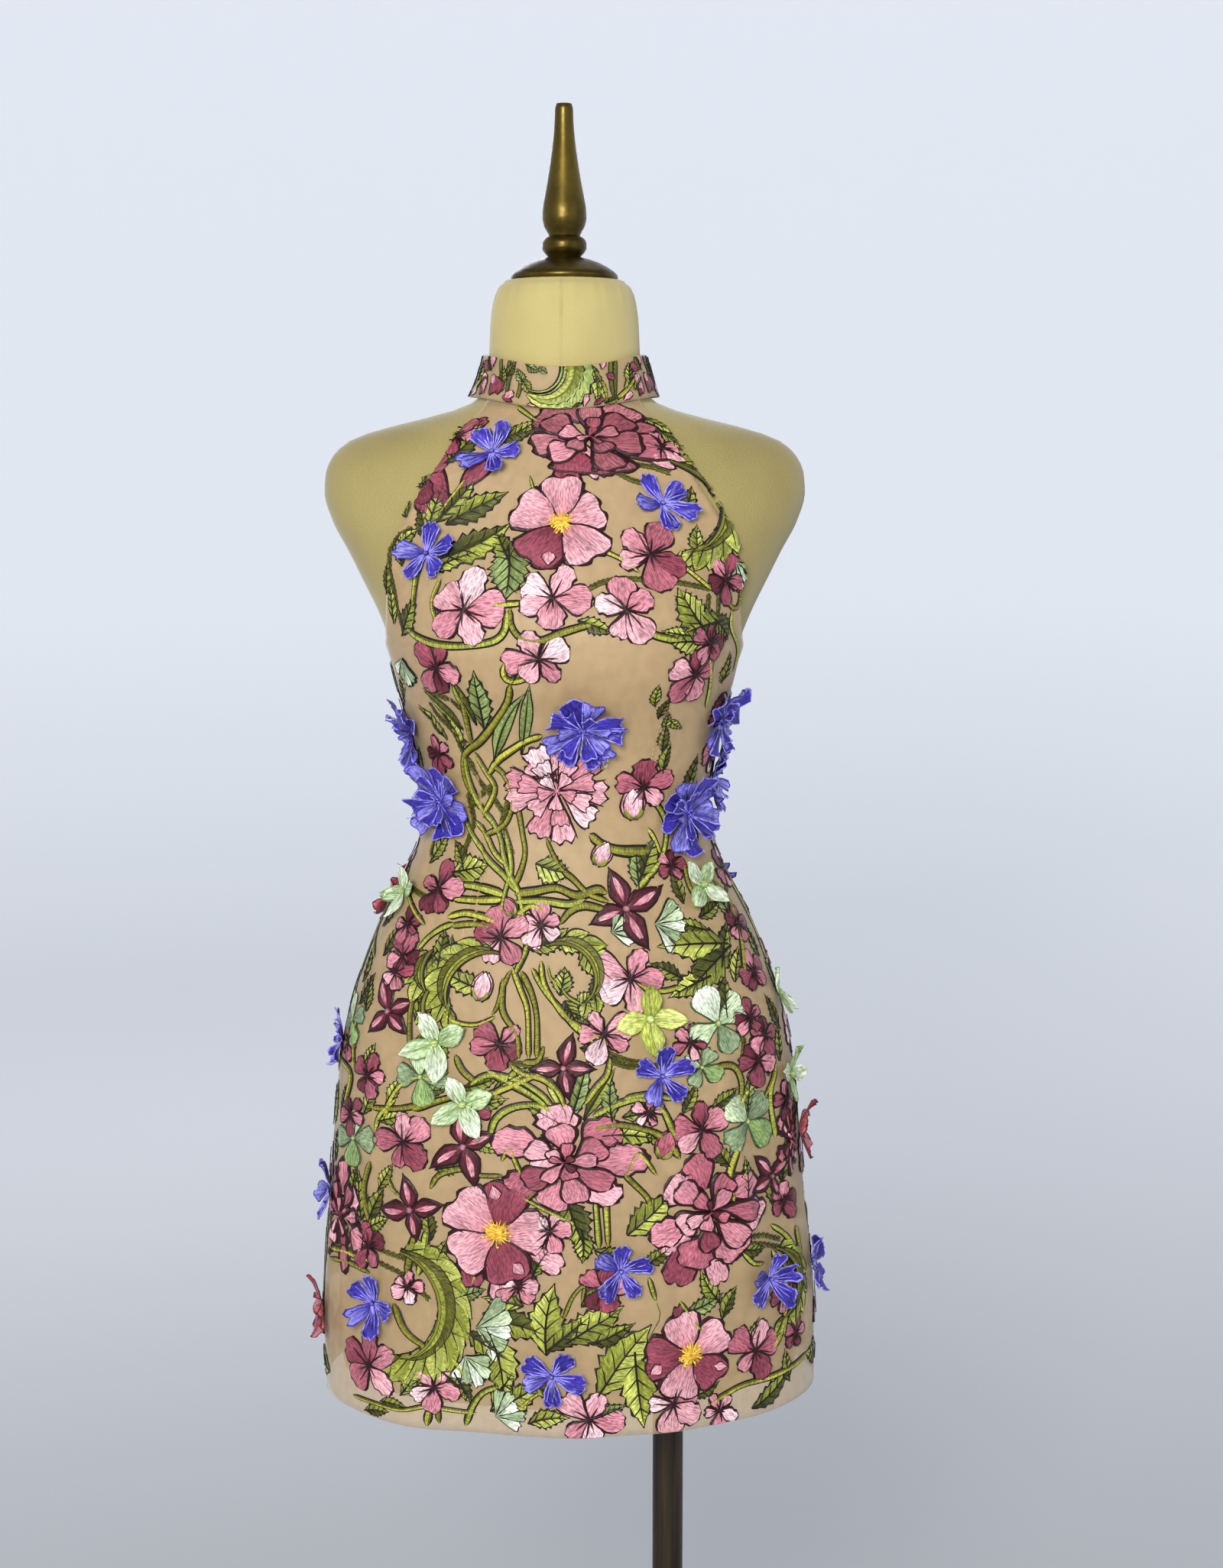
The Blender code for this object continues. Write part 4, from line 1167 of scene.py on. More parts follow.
        inside = np.minimum((1 - size_of_tau) * wide, (1 - s) * length)
        steps = [0.0, paint.edge_width / 2, paint.edge_width, paint.edge_width + 0.004]
        if stand is None:
            inside = np.minimum(inside, s * length + 0.0001)
            heights = [-lift, paint.cord, 0.55 * paint.cord, 0.55 * paint.cord + paint.fill]
            height = lift + np.interp(inside, steps, heights)
        else:
            cup, ruffle, curl = stand
            waves = np.sin(wobble[2] + 5.2 * t + 2.6 * tau) * s**1.5
            height = lift + np.interp(inside, steps, [0.0, 0.0004, 0.0001, 0.0002])
            height = height + cup * s**1.35 + ruffle * waves + curl * tau**2 * s
        columns = tau.shape[1]
        streaks = 1 + 0.10 * self.random.standard_normal(columns)
        share = np.clip(s**paint.blend, 0, 1)[..., None] * np.ones((1, columns, 1))
        colour = Palette.get(paint.root) * (1 - share) + Palette.get(paint.tip) * share
        colour = colour * (streaks[None, :, None] * (1 + 0.06 * self.random.standard_normal()))
        edge = np.zeros((len(s) - 1, columns - 1), bool)
        edge[-2:] = True
        if sides[0]:
            edge[:, :2] = True
        if sides[1]:
            edge[:, -2:] = True
        lay = radians(paint.lay.value) * np.where(tau < 0, -1, 1)
        u, v = s * length + 0 * tau, tau * wide
        uv = np.stack([u * np.cos(lay) + v * np.sin(lay), v * np.cos(lay) - u * np.sin(lay)], -1)
        self.add(angle, level, height, uv, np.clip(colour, 0, 1), edge, Palette.get(paint.edge))

    def line(self, spot: Spot, root: Pair, heading: float, size: Pair, tone: str, lift: float, bend: float = 0.0,
            along: int = 3) -> None:
        """Adds a fine line of thread, as a low ridge that thins towards its end.

        Args:
            spot: The motif's place.
            root: Where the line starts, from the spot.
            heading: Which way it points, in degrees from the right.
            size: Its length and its full width.
            tone: Its colour.
            lift: How far it lies over the net.
            bend: How far it turns along its length, in degrees.
            along: Rows of faces.
        """
        s, tau = np.linspace(0, 1, along + 1)[:, None], np.array([[-1.0, 0.0, 1.0]])
        aside = tau * size[1] / 2 * (1 - 0.8 * s**3)
        angle, level = spot.place(*bent_strip(root, heading, bend, size[0], s, aside))
        height = lift + 0.0003 - 0.0007 * np.abs(tau) + 0 * s
        colour = np.broadcast_to(Palette.get(tone), (along + 1, 3, 3))
        uv = np.stack([s * size[0] + 0 * tau, aside], -1)
        self.add(angle, level, height, uv, colour, np.zeros((along, 2), bool), colour[0, 0])

    def dome(self, spot: Spot, root: Pair, radius: float, height: float, lift: float, inner: str,
            outer: str) -> None:
        """Adds a round knot or heart.

        Args:
            spot: The motif's place.
            root: Its middle, from the spot.
            radius: Its radius.
            height: How high it stands.
            lift: How far its foot lies over the net.
            inner: Its colour in the middle.
            outer: Its colour at the rim.
        """
        turns = np.linspace(0, 2 * pi, self.KNOT_SIDES + 1)[None, :]
        share = np.array([1.0, 0.85, 0.5, 0.02])[:, None]
        x, y = radius * share * np.cos(turns), radius * share * np.sin(turns)
        angle, level = spot.place(root[0] + x, root[1] + y)
        rise = lift + height * np.sqrt(np.maximum(1 - share**2, 0)) + 0 * turns
        rise[0] = 0.0 if lift < 0.003 else lift - 0.0006
        mixed = share[..., None] * np.ones((1, self.KNOT_SIDES + 1, 1))
        colour = Palette.get(inner) * (1 - mixed) + Palette.get(outer) * mixed
        uv = np.stack([x, y], -1)
        self.add(angle, level, rise, uv, colour, np.zeros((3, self.KNOT_SIDES), bool), Palette.get(outer))

    def route(self, way: Way, width: float, light: str, side: str, edge: str) -> None:
        """Adds a stem in satin stitch along a way over the cloth.

        Args:
            way: Angles in degrees and levels that it passes through.
            width: Its full width.
            light: Its main colour.
            side: The colour of its shaded side.
            edge: The colour of its thin edges.
        """
        knots = np.array(way, float)
        knots[:, 0] = np.radians(knots[:, 0]) * SKIRT_RADIUS
        knots += self.random.normal(0, 0.0006, knots.shape)
        padded = np.concatenate([[2 * knots[0] - knots[1]], knots, [2 * knots[-1] - knots[-2]]])
        line = []
        for a, b, c, d in zip(padded, padded[1:], padded[2:], padded[3:]):
            steps = max(int(np.linalg.norm(c - b) / self.STEM_STEP), 2)
            for k in range(steps):
                t = k / steps
                line.append(0.5 * (2 * b + (c - a) * t + (2 * a - 5 * b + 4 * c - d) * t**2
                    + (3 * b - a - 3 * c + d) * t**3))
        line.append(knots[-1])
        line = np.array(line)
        step = np.gradient(line, axis=0)
        step /= np.linalg.norm(step, axis=1, keepdims=True)
        run = np.concatenate([[0], np.cumsum(np.linalg.norm(np.diff(line, axis=0), axis=1))])
        taper = np.clip(np.minimum(run, run[-1] - run) / self.STEM_TAPER, 0.0, 1.0) ** 0.5
        half = width / 2 * (0.25 + 0.75 * taper) * (1 + 0.10 * np.sin(run * 90 + self.vary(0, 6)))
        tau = np.array(self.STEM_ACROSS)[None, :]
        rise = np.array(self.STEM_RISE)[None, :]
        x = line[:, :1] + step[:, 1:] * tau * half[:, None]
        y = line[:, 1:] - step[:, :1] * tau * half[:, None]
        height = rise * (0.3 + 0.7 * taper[:, None]) + self.vary(0, 0.0003)
        colour = np.broadcast_to(Palette.get(light), (*x.shape, 3)).copy()
        colour[:, :4] = Palette.get(side)
        shade = 1 + 0.10 * np.sin(run * 60 + self.vary(0, 6))
        colour *= shade[:, None, None]
        edges = np.zeros((len(run) - 1, 7), bool)
        edges[:, [0, 1, 5, 6]] = True
        uv = np.stack([tau * half[:, None], run[:, None] + 0 * tau], -1)
        angle, level = x / SKIRT_RADIUS, y + 0 * x
        self.add(angle, level, height, uv, np.clip(colour, 0, 1), edges, Palette.get(edge))
        faces = self.colours[-1].reshape(len(run) - 1, 7, 4, 3)
        # the shaded side keeps a colour of its own, with no blend over the middle
        faces[:, 3:5] = Palette.get(light) * shade[:-1, None, None, None]
        faces[:, 2] = Palette.get(side) * shade[:-1, None, None]
        self.colours[-1] = np.clip(faces.reshape(-1, 4, 3), 0, 1)

    def thread(self, way: Way, width: float, tone: str, fine: bool = False) -> None:
        """Adds one thread or cord along a way. On the band, levels are shares of its height.

        Args:
            way: The places that it passes through.
            width: Its width.
            tone: Its colour.
            fine: True for one that is seen as a line alone.
        """
        for start, end in zip(way, way[1:]):
            spot = BandSpot(*start) if self.band else Spot(*start)
            x = radians(end[0] - start[0]) * spot.per_turn
            y = (end[1] - start[1]) * spot.per_level
            heading, length = degrees(atan2(y, x)), hypot(x, y)
            if fine:
                self.line(spot, (0, 0), heading, (length, width), tone, 0.0004, along=1)
                continue
            self.blade(spot, (0, 0), heading, (length * 1.06, width), CORD, Paint(tone, tone, tone, width * 0.3,
                width * 0.3, width * 0.5, Lay.ACROSS), 0.0001, across=1, along=1)

    @staticmethod
    def measured(way: Way) -> tuple[Array, Array]:
        """The places of a way over the cloth, and how far along it each one lies."""
        knots = np.array(way, float)
        apart = np.hypot(np.radians(np.diff(knots[:, 0])) * SKIRT_RADIUS, np.diff(knots[:, 1]))
        return knots, np.concatenate([[0], np.cumsum(apart)])

    def stitches(self, way: Way, length: float = 0.0026, gap: float = 0.0012) -> None:
        """Adds a row of machine stitches along a way."""
        knots, run = self.measured(way)
        for start in np.arange(0, run[-1] - length, length + gap):
            ends = [(float(np.interp(at, run, knots[:, 0])), float(np.interp(at, run, knots[:, 1])))
                for at in (start, start + length)]
            self.thread(ends, 0.0009, "tan", fine=True)

    def chain(self, way: Way, width: float) -> None:
        """Adds a dark stem made of short slanted stitches, one after another."""
        knots, run = self.measured(way)
        places = np.arange(0, run[-1], self.CHAIN_STEP)
        angle = np.interp(places, run, knots[:, 0])
        level = np.interp(places, run, knots[:, 1])
        paints = (Paint("stem olive", "leaf olive", "dark", 0.0004, 0.0004, 0.0005),
            Paint("leaf dark", "stem olive", "dark", 0.0004, 0.0004, 0.0005))
        for k in range(len(places) - 1):
            heading = degrees(atan2(level[k + 1] - level[k], radians(angle[k + 1] - angle[k]) * SKIRT_RADIUS))
            for side, paint in zip((-1, 1), paints):
                self.blade(Spot(angle[k], level[k]), (0, 0), heading + 17 * side, (0.0062, width * 0.55), SLENDER,
                    paint, 0.0002 + 0.0002 * (k % 2), across=1, along=2)

    # ------------------------------------------------------------ motifs

    TONES = {
        "light": ("pink light", "pink white", "pink", "pink light", "pink"),
        "mixed": ("pink light", "rose", "pink", "pink deep", "pink deep"),
        "rose": ("rose", "pink deep", "rose deep", "rose", "pink"),
    }
    # the colour at a petal's root, for the colour at its tip
    DEEPER = {
        "pink white": "pink light", "pink light": "pink", "pink": "pink deep", "pink deep": "rose",
        "rose": "rose deep", "rose deep": "wine", "dusk": "rose", "dusk light": "dusk",
    }

    def flower(self, spot: Spot, radius: float, turn: float, tone: str) -> None:
        """A flat flower of five petals with thin dark edges.

        Args:
            spot: Its place.
            radius: Its radius.
            turn: How far it is turned, in degrees.
            tone: light, mixed or rose.
        """
        tips = list(self.TONES[tone])
        self.random.shuffle(tips)
        for k in range(5):
            cut = (ROUND, LOBED, HEART, ROUND, LOBED)[(k + int(10 * abs(turn))) % 5]
            size = radius * self.vary(0.86, 1.16)
            paint = Paint(self.DEEPER[tips[k]], tips[k], "wine", 0.0019, 0.0005, 0.0006, blend=0.55)
            self.blade(spot, (0, 0), turn + 72 * k + self.vary(-13, 13), (size, size * self.vary(0.66, 0.98)), cut,
                paint, 0.0004 + 0.00022 * k, bend=self.vary(-26, 26), across=5)
        self.rays(spot, radius, 9, 0.26, 0.72, turn + 20)

    def rays(self, spot: Spot, radius: float, count: int, least: float, most: float, turn: float) -> None:
        """Thin dark lines from the middle of a flower."""
        for k in range(count):
            self.line(spot, (0, 0), turn + 360 * k / count + self.vary(-12, 12),
                (radius * self.vary(least, most), 0.0017), "wine", 0.0025, self.vary(-20, 20))

    def bud(self, spot: Spot, size: float, heading: float, tone: str) -> None:
        """A tulip-shaped bud with two small leaves at its foot."""
        tip, root = ("pink light", "pink") if tone == "light" else ("pink deep", "rose")
        for k, (side, tip_name) in enumerate(((-20, tip), (20, root), (0, "pink white" if tone == "light"
                else tip))):
            self.blade(spot, (0, 0), heading + side, (size * 1.5, size * (0.9 if side else 1.0)), TULIP,
                Paint(root, tip_name, "wine", 0.0014, 0.0006, 0.0006), 0.0003 + 0.0004 * k, bend=-side * 1.4)
        for side in (-48, 48):
            self.blade(spot, (0, 0), heading + side, (size * 0.75, size * 0.34), SLENDER,
                Paint("leaf olive", "leaf light", "dark", 0.0005), 0.0012, bend=-side * 0.5, across=2)

    def star(self, spot: Spot, radius: float, turn: float) -> None:
        """A flower of four narrow burgundy petals, each with a light streak."""
        for k in range(4):
            heading = turn + 90 * k + self.vary(-12, 12)
            size = radius * self.vary(0.86, 1.12)
            bend = self.vary(-22, 22)
            self.blade(spot, (0, 0), heading, (size, size * 0.56), POINTED, Paint("rose deep", "burgundy",
                "burgundy", 0.0026, 0.0006, 0.0009, blend=0.6), 0.0005 + 0.0002 * k, bend=bend)
            for side in (-1, 1):
                self.blade(spot, polar(size * 0.16, radians(heading)), heading + 9 * side,
                    (size * 0.62, size * 0.11), SLENDER, Paint("pink deep", "pink light", "rose", 0.0004, 0.0004,
                    0.0004), 0.0024, bend=bend - 16 * side, across=2, along=4)
        self.dome(spot, (0, 0), radius * 0.10, 0.0008, 0.0026, "pink", "burgundy")

    # the rings of a peony: petals, start, length, width, lift, tips, cut
    RINGS = {
        "pink": (
            (7, 0.40, 0.66, 0.66, 0.0003,
                ("pink", "pink deep", "pink light", "pink", "pink deep", "pink", "pink light"), LOBED),
            (6, 0.16, 0.58, 0.50, 0.0015, ("pink deep", "pink", "pink light", "rose", "pink"), ROUND),
            (5, 0.02, 0.40, 0.30, 0.0026, ("pink", "pink deep", "pink light"), ROUND),
            (3, -0.02, 0.24, 0.18, 0.0035, ("rose deep", "pink deep"), ROUND),
        ),
        "dusky": (
            (8, 0.34, 0.68, 0.66, 0.0003,
                ("dusk", "dusk light", "dusk", "dusk", "dusk light", "rose", "dusk", "pink deep"), BROAD),
            (6, 0.18, 0.58, 0.58, 0.0015, ("dusk", "dusk light", "dusk", "pink", "dusk"), ROUND),
            (5, 0.06, 0.42, 0.38, 0.0026, ("dusk light", "dusk", "pink"), ROUND),
            (3, -0.02, 0.26, 0.22, 0.0035, ("rose", "pink"), ROUND),
        ),
    }

    def peony(self, spot: Spot, radius: float, turn: float, tone: str) -> None:
        """A full flower of four rings of petals, with thick burgundy edges.

        Args:
            spot: Its place.
            radius: Its radius.
            turn: How far it is turned, in degrees.
            tone: pink or dusky.
        """
        edge = 0.0035 if tone == "pink" else 0.0044
        for ring, (count, start, length, width, lift, tips, cut) in enumerate(self.RINGS[tone]):
            for k in range(count):
                heading = turn + 360 * (k + 0.5 * (ring % 2)) / count + self.vary(-10, 10)
                way = radians(heading)
                reach = radius * start * self.vary(0.9, 1.1)
                size = radius * length * self.vary(0.80, 1.20)
                tip = tips[k % len(tips)]
                paint = Paint(self.DEEPER[tip], tip, "burgundy", edge if ring < 2 else 0.8 * edge, 0.0004, 0.0008,
                    blend=0.5)
                self.blade(spot, polar(reach, way), heading + self.vary(-14, 14),
                    (size, radius * width * self.vary(0.85, 1.15)), cut, paint, lift + 0.00012 * k,
                    bend=self.vary(-38, 38), across=5, along=6)

    def wild_rose(self, spot: Spot, radius: float, turn: float, dark: tuple[int, ...]) -> None:
        """An open flower of five broad petals, with a yellow tufted heart.

        Args:
            spot: Its place.
            radius: Its radius.
            turn: How far it is turned, in degrees.
            dark: Which petals are dark rose.
        """
        for k in (1, 3, 0, 2, 4):
            heading = turn + 72 * k + self.vary(-7, 7)
            way = radians(heading)
            size = radius * self.vary(0.88, 1.04)
            root, tip = ("rose deep", "rose") if k in dark else ("pink deep", "pink light")
            self.blade(spot, polar(0.08 * radius, way), heading, (size * 0.92, size * 0.98), BROAD,
                Paint(root, tip, "burgundy", 0.0032, 0.0006, 0.0009, blend=0.6), 0.0004 + 0.0002 * k,
                bend=self.vary(-14, 14), across=7, along=7)
            if k in dark:
                self.blade(spot, polar(0.62 * size, way + 0.2), heading + 30, (size * 0.30, size * 0.26), POINTED,
                    Paint("pink", "pink light", "burgundy", 0.0010, 0.0004, 0.0006), 0.0030, across=3)
        for k in range(30):
            heading = 360 * k / 30 + self.vary(-7, 7)
            self.blade(spot, polar(radius * 0.05, radians(heading)), heading,
                (radius * self.vary(0.14, 0.27), 0.0011), STRIP, Paint("orange", "yellow", "yellow", 0.0003, 0.0003,
                0.0004), 0.0026 + 0.0003 * (k % 3), across=1, along=2)
        for k in range(16):
            way, reach = self.vary(0, 6.28), radius * self.vary(0.12, 0.26)
            self.dome(spot, polar(reach, way), 0.0009, 0.0009, 0.0030, "yellow", "yellow")
        self.dome(spot, (0, 0), radius * 0.11, 0.0014, 0.0030, "orange", "yellow")

    def carnation(self, spot: Spot, radius: float, turn: float) -> None:
        """A ruffled flower of fringed petals in three rings."""
        rings = ((9, 0.18, 0.84, 0.56, 0.0004), (7, 0.08, 0.64, 0.46, 0.0012), (5, 0.0, 0.42, 0.36, 0.0020))
        for ring, (count, start, length, width, lift) in enumerate(rings):
            for k in range(count):
                heading = turn + 360 * (k + 0.4 * ring) / count + self.vary(-8, 8)
                way = radians(heading)
                tip = ("pink light", "pink", "pink light", "pink white", "pink")[(k + ring) % 5]
                self.blade(spot, polar(radius * start, way), heading, (radius * length * self.vary(0.9, 1.1),
                    radius * width), FRINGED, Paint("rose", tip, "wine", 0.0017, 0.0005, 0.0007, blend=0.45),
                    lift + 0.00014 * k, bend=self.vary(-10, 10), across=8, along=5)

    def cross_flower(self, spot: Spot, radius: float, turn: float, tone: str) -> None:
        """A flat pale flower of four petals, or a fan of them on one side."""
        if tone == "fan":
            for k in range(5):
                tip = ("mint white", "sage", "mint white", "mint", "sage")[k]
                self.blade(spot, (0, 0), turn - 52 + 26 * k, (radius * self.vary(0.85, 1.1), radius * 0.42),
                    FRINGED, Paint("sage", tip, "dark", 0.0011, 0.0005, 0.0005), 0.0004 + 0.0003 * k, across=4,
                    along=5)
            return
        tips = ("sage", "mint", "sage", "mint deep") if tone == "sage" else ("mint", "mint white", "mint", "sage")
        for k in range(4):
            size = radius * self.vary(0.88, 1.1)
            self.blade(spot, (0, 0), turn + 90 * k + self.vary(-8, 8), (size, size * self.vary(0.74, 0.94)),
                (HEART, ROUND)[k % 2], Paint("sage deep" if tips[k] == "sage" else "mint deep", tips[k],
                "sage deep", 0.0017, 0.0005, 0.0006, blend=0.4), 0.0004 + 0.0002 * k, across=5, along=6)
        self.dome(spot, (0, 0), radius * 0.10, 0.0006, 0.0014, "lime light", "sage deep")

    def leaf(self, spot: Spot, length: float, width: float, heading: float, tone: str) -> None:
        """A toothed leaf with a lighter and a darker half, a midrib and side veins.

        Args:
            spot: Its middle.
            length: Its length.
            width: Its full width.
            heading: Which way it points, in degrees from the right.
            tone: light, olive or sage.
        """
        one, two = {"light": (("leaf olive", "leaf light"), ("leaf light", "leaf pale")),
            "olive": (("leaf dark", "leaf olive"), ("leaf olive", "leaf light")),
            "sage": (("leaf olive", "leaf sage"), ("leaf sage", "leaf sage"))}[tone]
        if self.random.random() < 0.5:
            one, two = two, one
        bend = self.vary(-30, 30)
        way = radians(heading)
        root = polar(-length / 2, way)
        narrow = width < 0.26 * length
        outline = SLENDER if narrow else LEAFY
        start = heading - bend / 2
        for (inner, outer), sides in ((one, (-1, 0)), (two, (0, 1))):
            self.blade(spot, root, start, (length, width), outline, Paint(inner, outer, "dark",
                min(0.0018, 0.10 * width), 0.0004, 0.0006, Lay.SLANTED, 0.7), 0.0002, bend=bend, sides=sides,
                across=3, along=8)
        self.line(spot, root, start, (length * 0.93, min(0.0019, 0.11 * width)), "dark", 0.0014, bend, 8)
        if narrow:
            return
        first, turn = radians(start), radians(bend)
        for k in range(4):
            t = 0.16 + 0.19 * k
            at = first + turn * t
            x, y = polar(length * t, first + turn * t / 2)
            x, y = root[0] + x, root[1] + y
            for side in (-1, 1):
                reach = width * (0.40, 0.44, 0.38, 0.26)[k]
                self.line(spot, (x, y), degrees(at) + 40 * side, (reach * 1.2, min(0.0013, 0.07 * width)), "dark",
                    0.0013, 14 * side)

    def curl(self, spot: Spot, radius: float, start: float, sweep: float, width: float, tone: str) -> None:
        """A curled leaf, toothed along its outer side.

        Args:
            spot: The middle of its curl.
            radius: The curl's radius.
            start: Where it starts round the curl, in degrees.
            sweep: How far it turns, in degrees.
            width: Its full width.
            tone: light or olive.
        """
        way = radians(start)
        heading = start + (90 if sweep > 0 else -90)
        length = abs(radians(sweep)) * radius
        root = polar(radius, way)
        inner, side = ((0, 1), -1) if sweep > 0 else ((-1, 0), 1)
        tones = (("leaf olive", "leaf pale"), ("leaf olive", "leaf light"))[:: 1 if tone == "light" else -1]
        fingers = max(int(length / 0.0095), 4)
        for k in range(fingers):
            t = (k + 0.3) / fingers
            at = radians(start + sweep * t)
            reach = width * (0.50 + 0.75 * sin(pi * (0.12 + 0.80 * t)))
            self.blade(spot, polar(radius, at), heading + sweep * t + 34 * side, (reach, reach * 0.60),
                SLENDER if k % 3 else LEAFY, Paint(*tones[k % 2], "dark", 0.0015, 0.0005, 0.0007, Lay.SLANTED, 0.6),
                0.0003 + 0.0002 * (k % 3), bend=-16 * side, across=4)
            self.line(spot, polar(radius, at), heading + sweep * t + 34 * side, (reach * 0.8, 0.0013), "dark",
                0.0019, -16 * side, 4)
        for band, offset, paint in ((0.54, 0.0, Paint("stem olive", "leaf olive", "dark", 0.0012, 0.0006, 0.0010,
                Lay.SLANTED)), (0.28, 0.0006, Paint("stem mid", "leaf light", "dark", 0.0010, 0.0005, 0.0008,
                Lay.SLANTED))):
            self.blade(spot, root, heading, (length * 1.02, width * band * 1.5), SLENDER, paint, 0.0012 + offset,
                bend=sweep, sides=inner, across=3, along=16)
        self.blade(spot, root, heading, (length * 1.04, 0.0042), STRIP, Paint("stem olive", "stem light", "dark",
            0.0010, 0.0005, 0.0008, Lay.ACROSS), 0.0022, bend=sweep, across=1, along=16)

    # ------------------------------------------------------------ finish

    def trimmed(self, angle: Array, level: Array) -> tuple[Array, Array, Array]:
        """Keeps points on the cut of the garment.

        Args:
            angle: Angles.
            level: Levels.

        Returns:
            The kept angles and levels, and True where a point was moved.
        """
        rough = self.reach * (1 + 0.6 * np.sin(level * 1900) * np.sin(level * 730 + angle * 40))
        if self.band:
            kept = np.clip(level, 0.012, 0.988)
            turned = np.clip(angle, -BAND_END + 0.004, BAND_END - 0.004)
            return turned, kept, (kept != level) | (turned != angle)
        angle = (angle + pi) % (2 * pi) - pi
        ladder = np.linspace(UNDERARM - 0.002, NECK_SEAM_FRONT + 0.02, 240)
        limit = np.interp(level, ladder, halter_angle(ladder)) + rough / YOKE_RADIUS
        yoke = (level > UNDERARM) & (np.abs(angle) < 2.0)
        turned = np.where(yoke, np.clip(angle, -limit, limit), angle)
        behind = np.abs(turned) > pi / 2
        ceiling = np.where(behind & ~yoke, back_top(turned) + rough, neck_seam(turned) - 0.0006)
        kept = np.clip(level, OVERLAY_HEM + 0.0012, ceiling)
        seam = pi - 0.004
        moved = (kept != level) | (turned != angle)
        closed = np.clip(turned, -seam, seam)
        return closed, kept, moved

    def finish(self, material: Material, slot: str, nodes: Sequence[str] = (), thickness: float = 0.0) -> Piece:
        """Lays the patches on the cloth as one piece.

        Args:
            material: The thread.
            slot: The name of its material slot.
            nodes: CAD nodes that it stands for.
            thickness: Thickness of petals that stand free.
        """
        places = np.concatenate(self.places)
        faces, uvs, colours = (np.concatenate(part) for part in (self.faces, self.uvs, self.colours))
        angle, level = places[:, 0], places[:, 1]
        moved = np.zeros(len(angle), bool)
        if not thickness:
            angle, level, moved = self.trimmed(angle, level)
        if self.band:
            points = Neckband.points(angle, level, self.BAND_FACE + places[:, 2])
        else:
            face = self.NET_FACE if self.layer is Layer.OVERLAY else self.LINING_FACE
            points = Cloth.points(angle, level, self.layer, face + places[:, 2])
        keep = ~moved[faces].all(axis=1)
        spread = np.abs(angle[faces]).max(axis=1) - np.abs(angle[faces]).min(axis=1)
        keep &= spread < 1.0
        faces, uvs, colours = faces[keep], uvs[keep], colours[keep]
        used = np.unique(faces)
        number = np.zeros(len(points), int)
        number[used] = np.arange(len(used))
        piece = link_mesh(self.name, points[used], number[faces].tolist())
        piece.data.uv_layers.new(name="cloth").data.foreach_set("uv", uvs.astype(np.float32).ravel())
        paint = piece.data.color_attributes.new("thread", "FLOAT_COLOR", "CORNER")
        rgba = np.concatenate([colours, np.ones((*colours.shape[:2], 1))], axis=-1)
        paint.data.foreach_set("color", rgba.astype(np.float32).ravel())
        if thickness:
            bpy.ops.object.select_all(action="DESELECT")
            bpy.context.view_layer.objects.active = piece
            piece.select_set(True)
            solid = piece.modifiers.new("thickness", "SOLIDIFY")
            solid.thickness, solid.offset = thickness, -1.0
            bpy.ops.object.modifier_apply(modifier=solid.name)
        return dress_piece(piece, material, slot, *nodes)


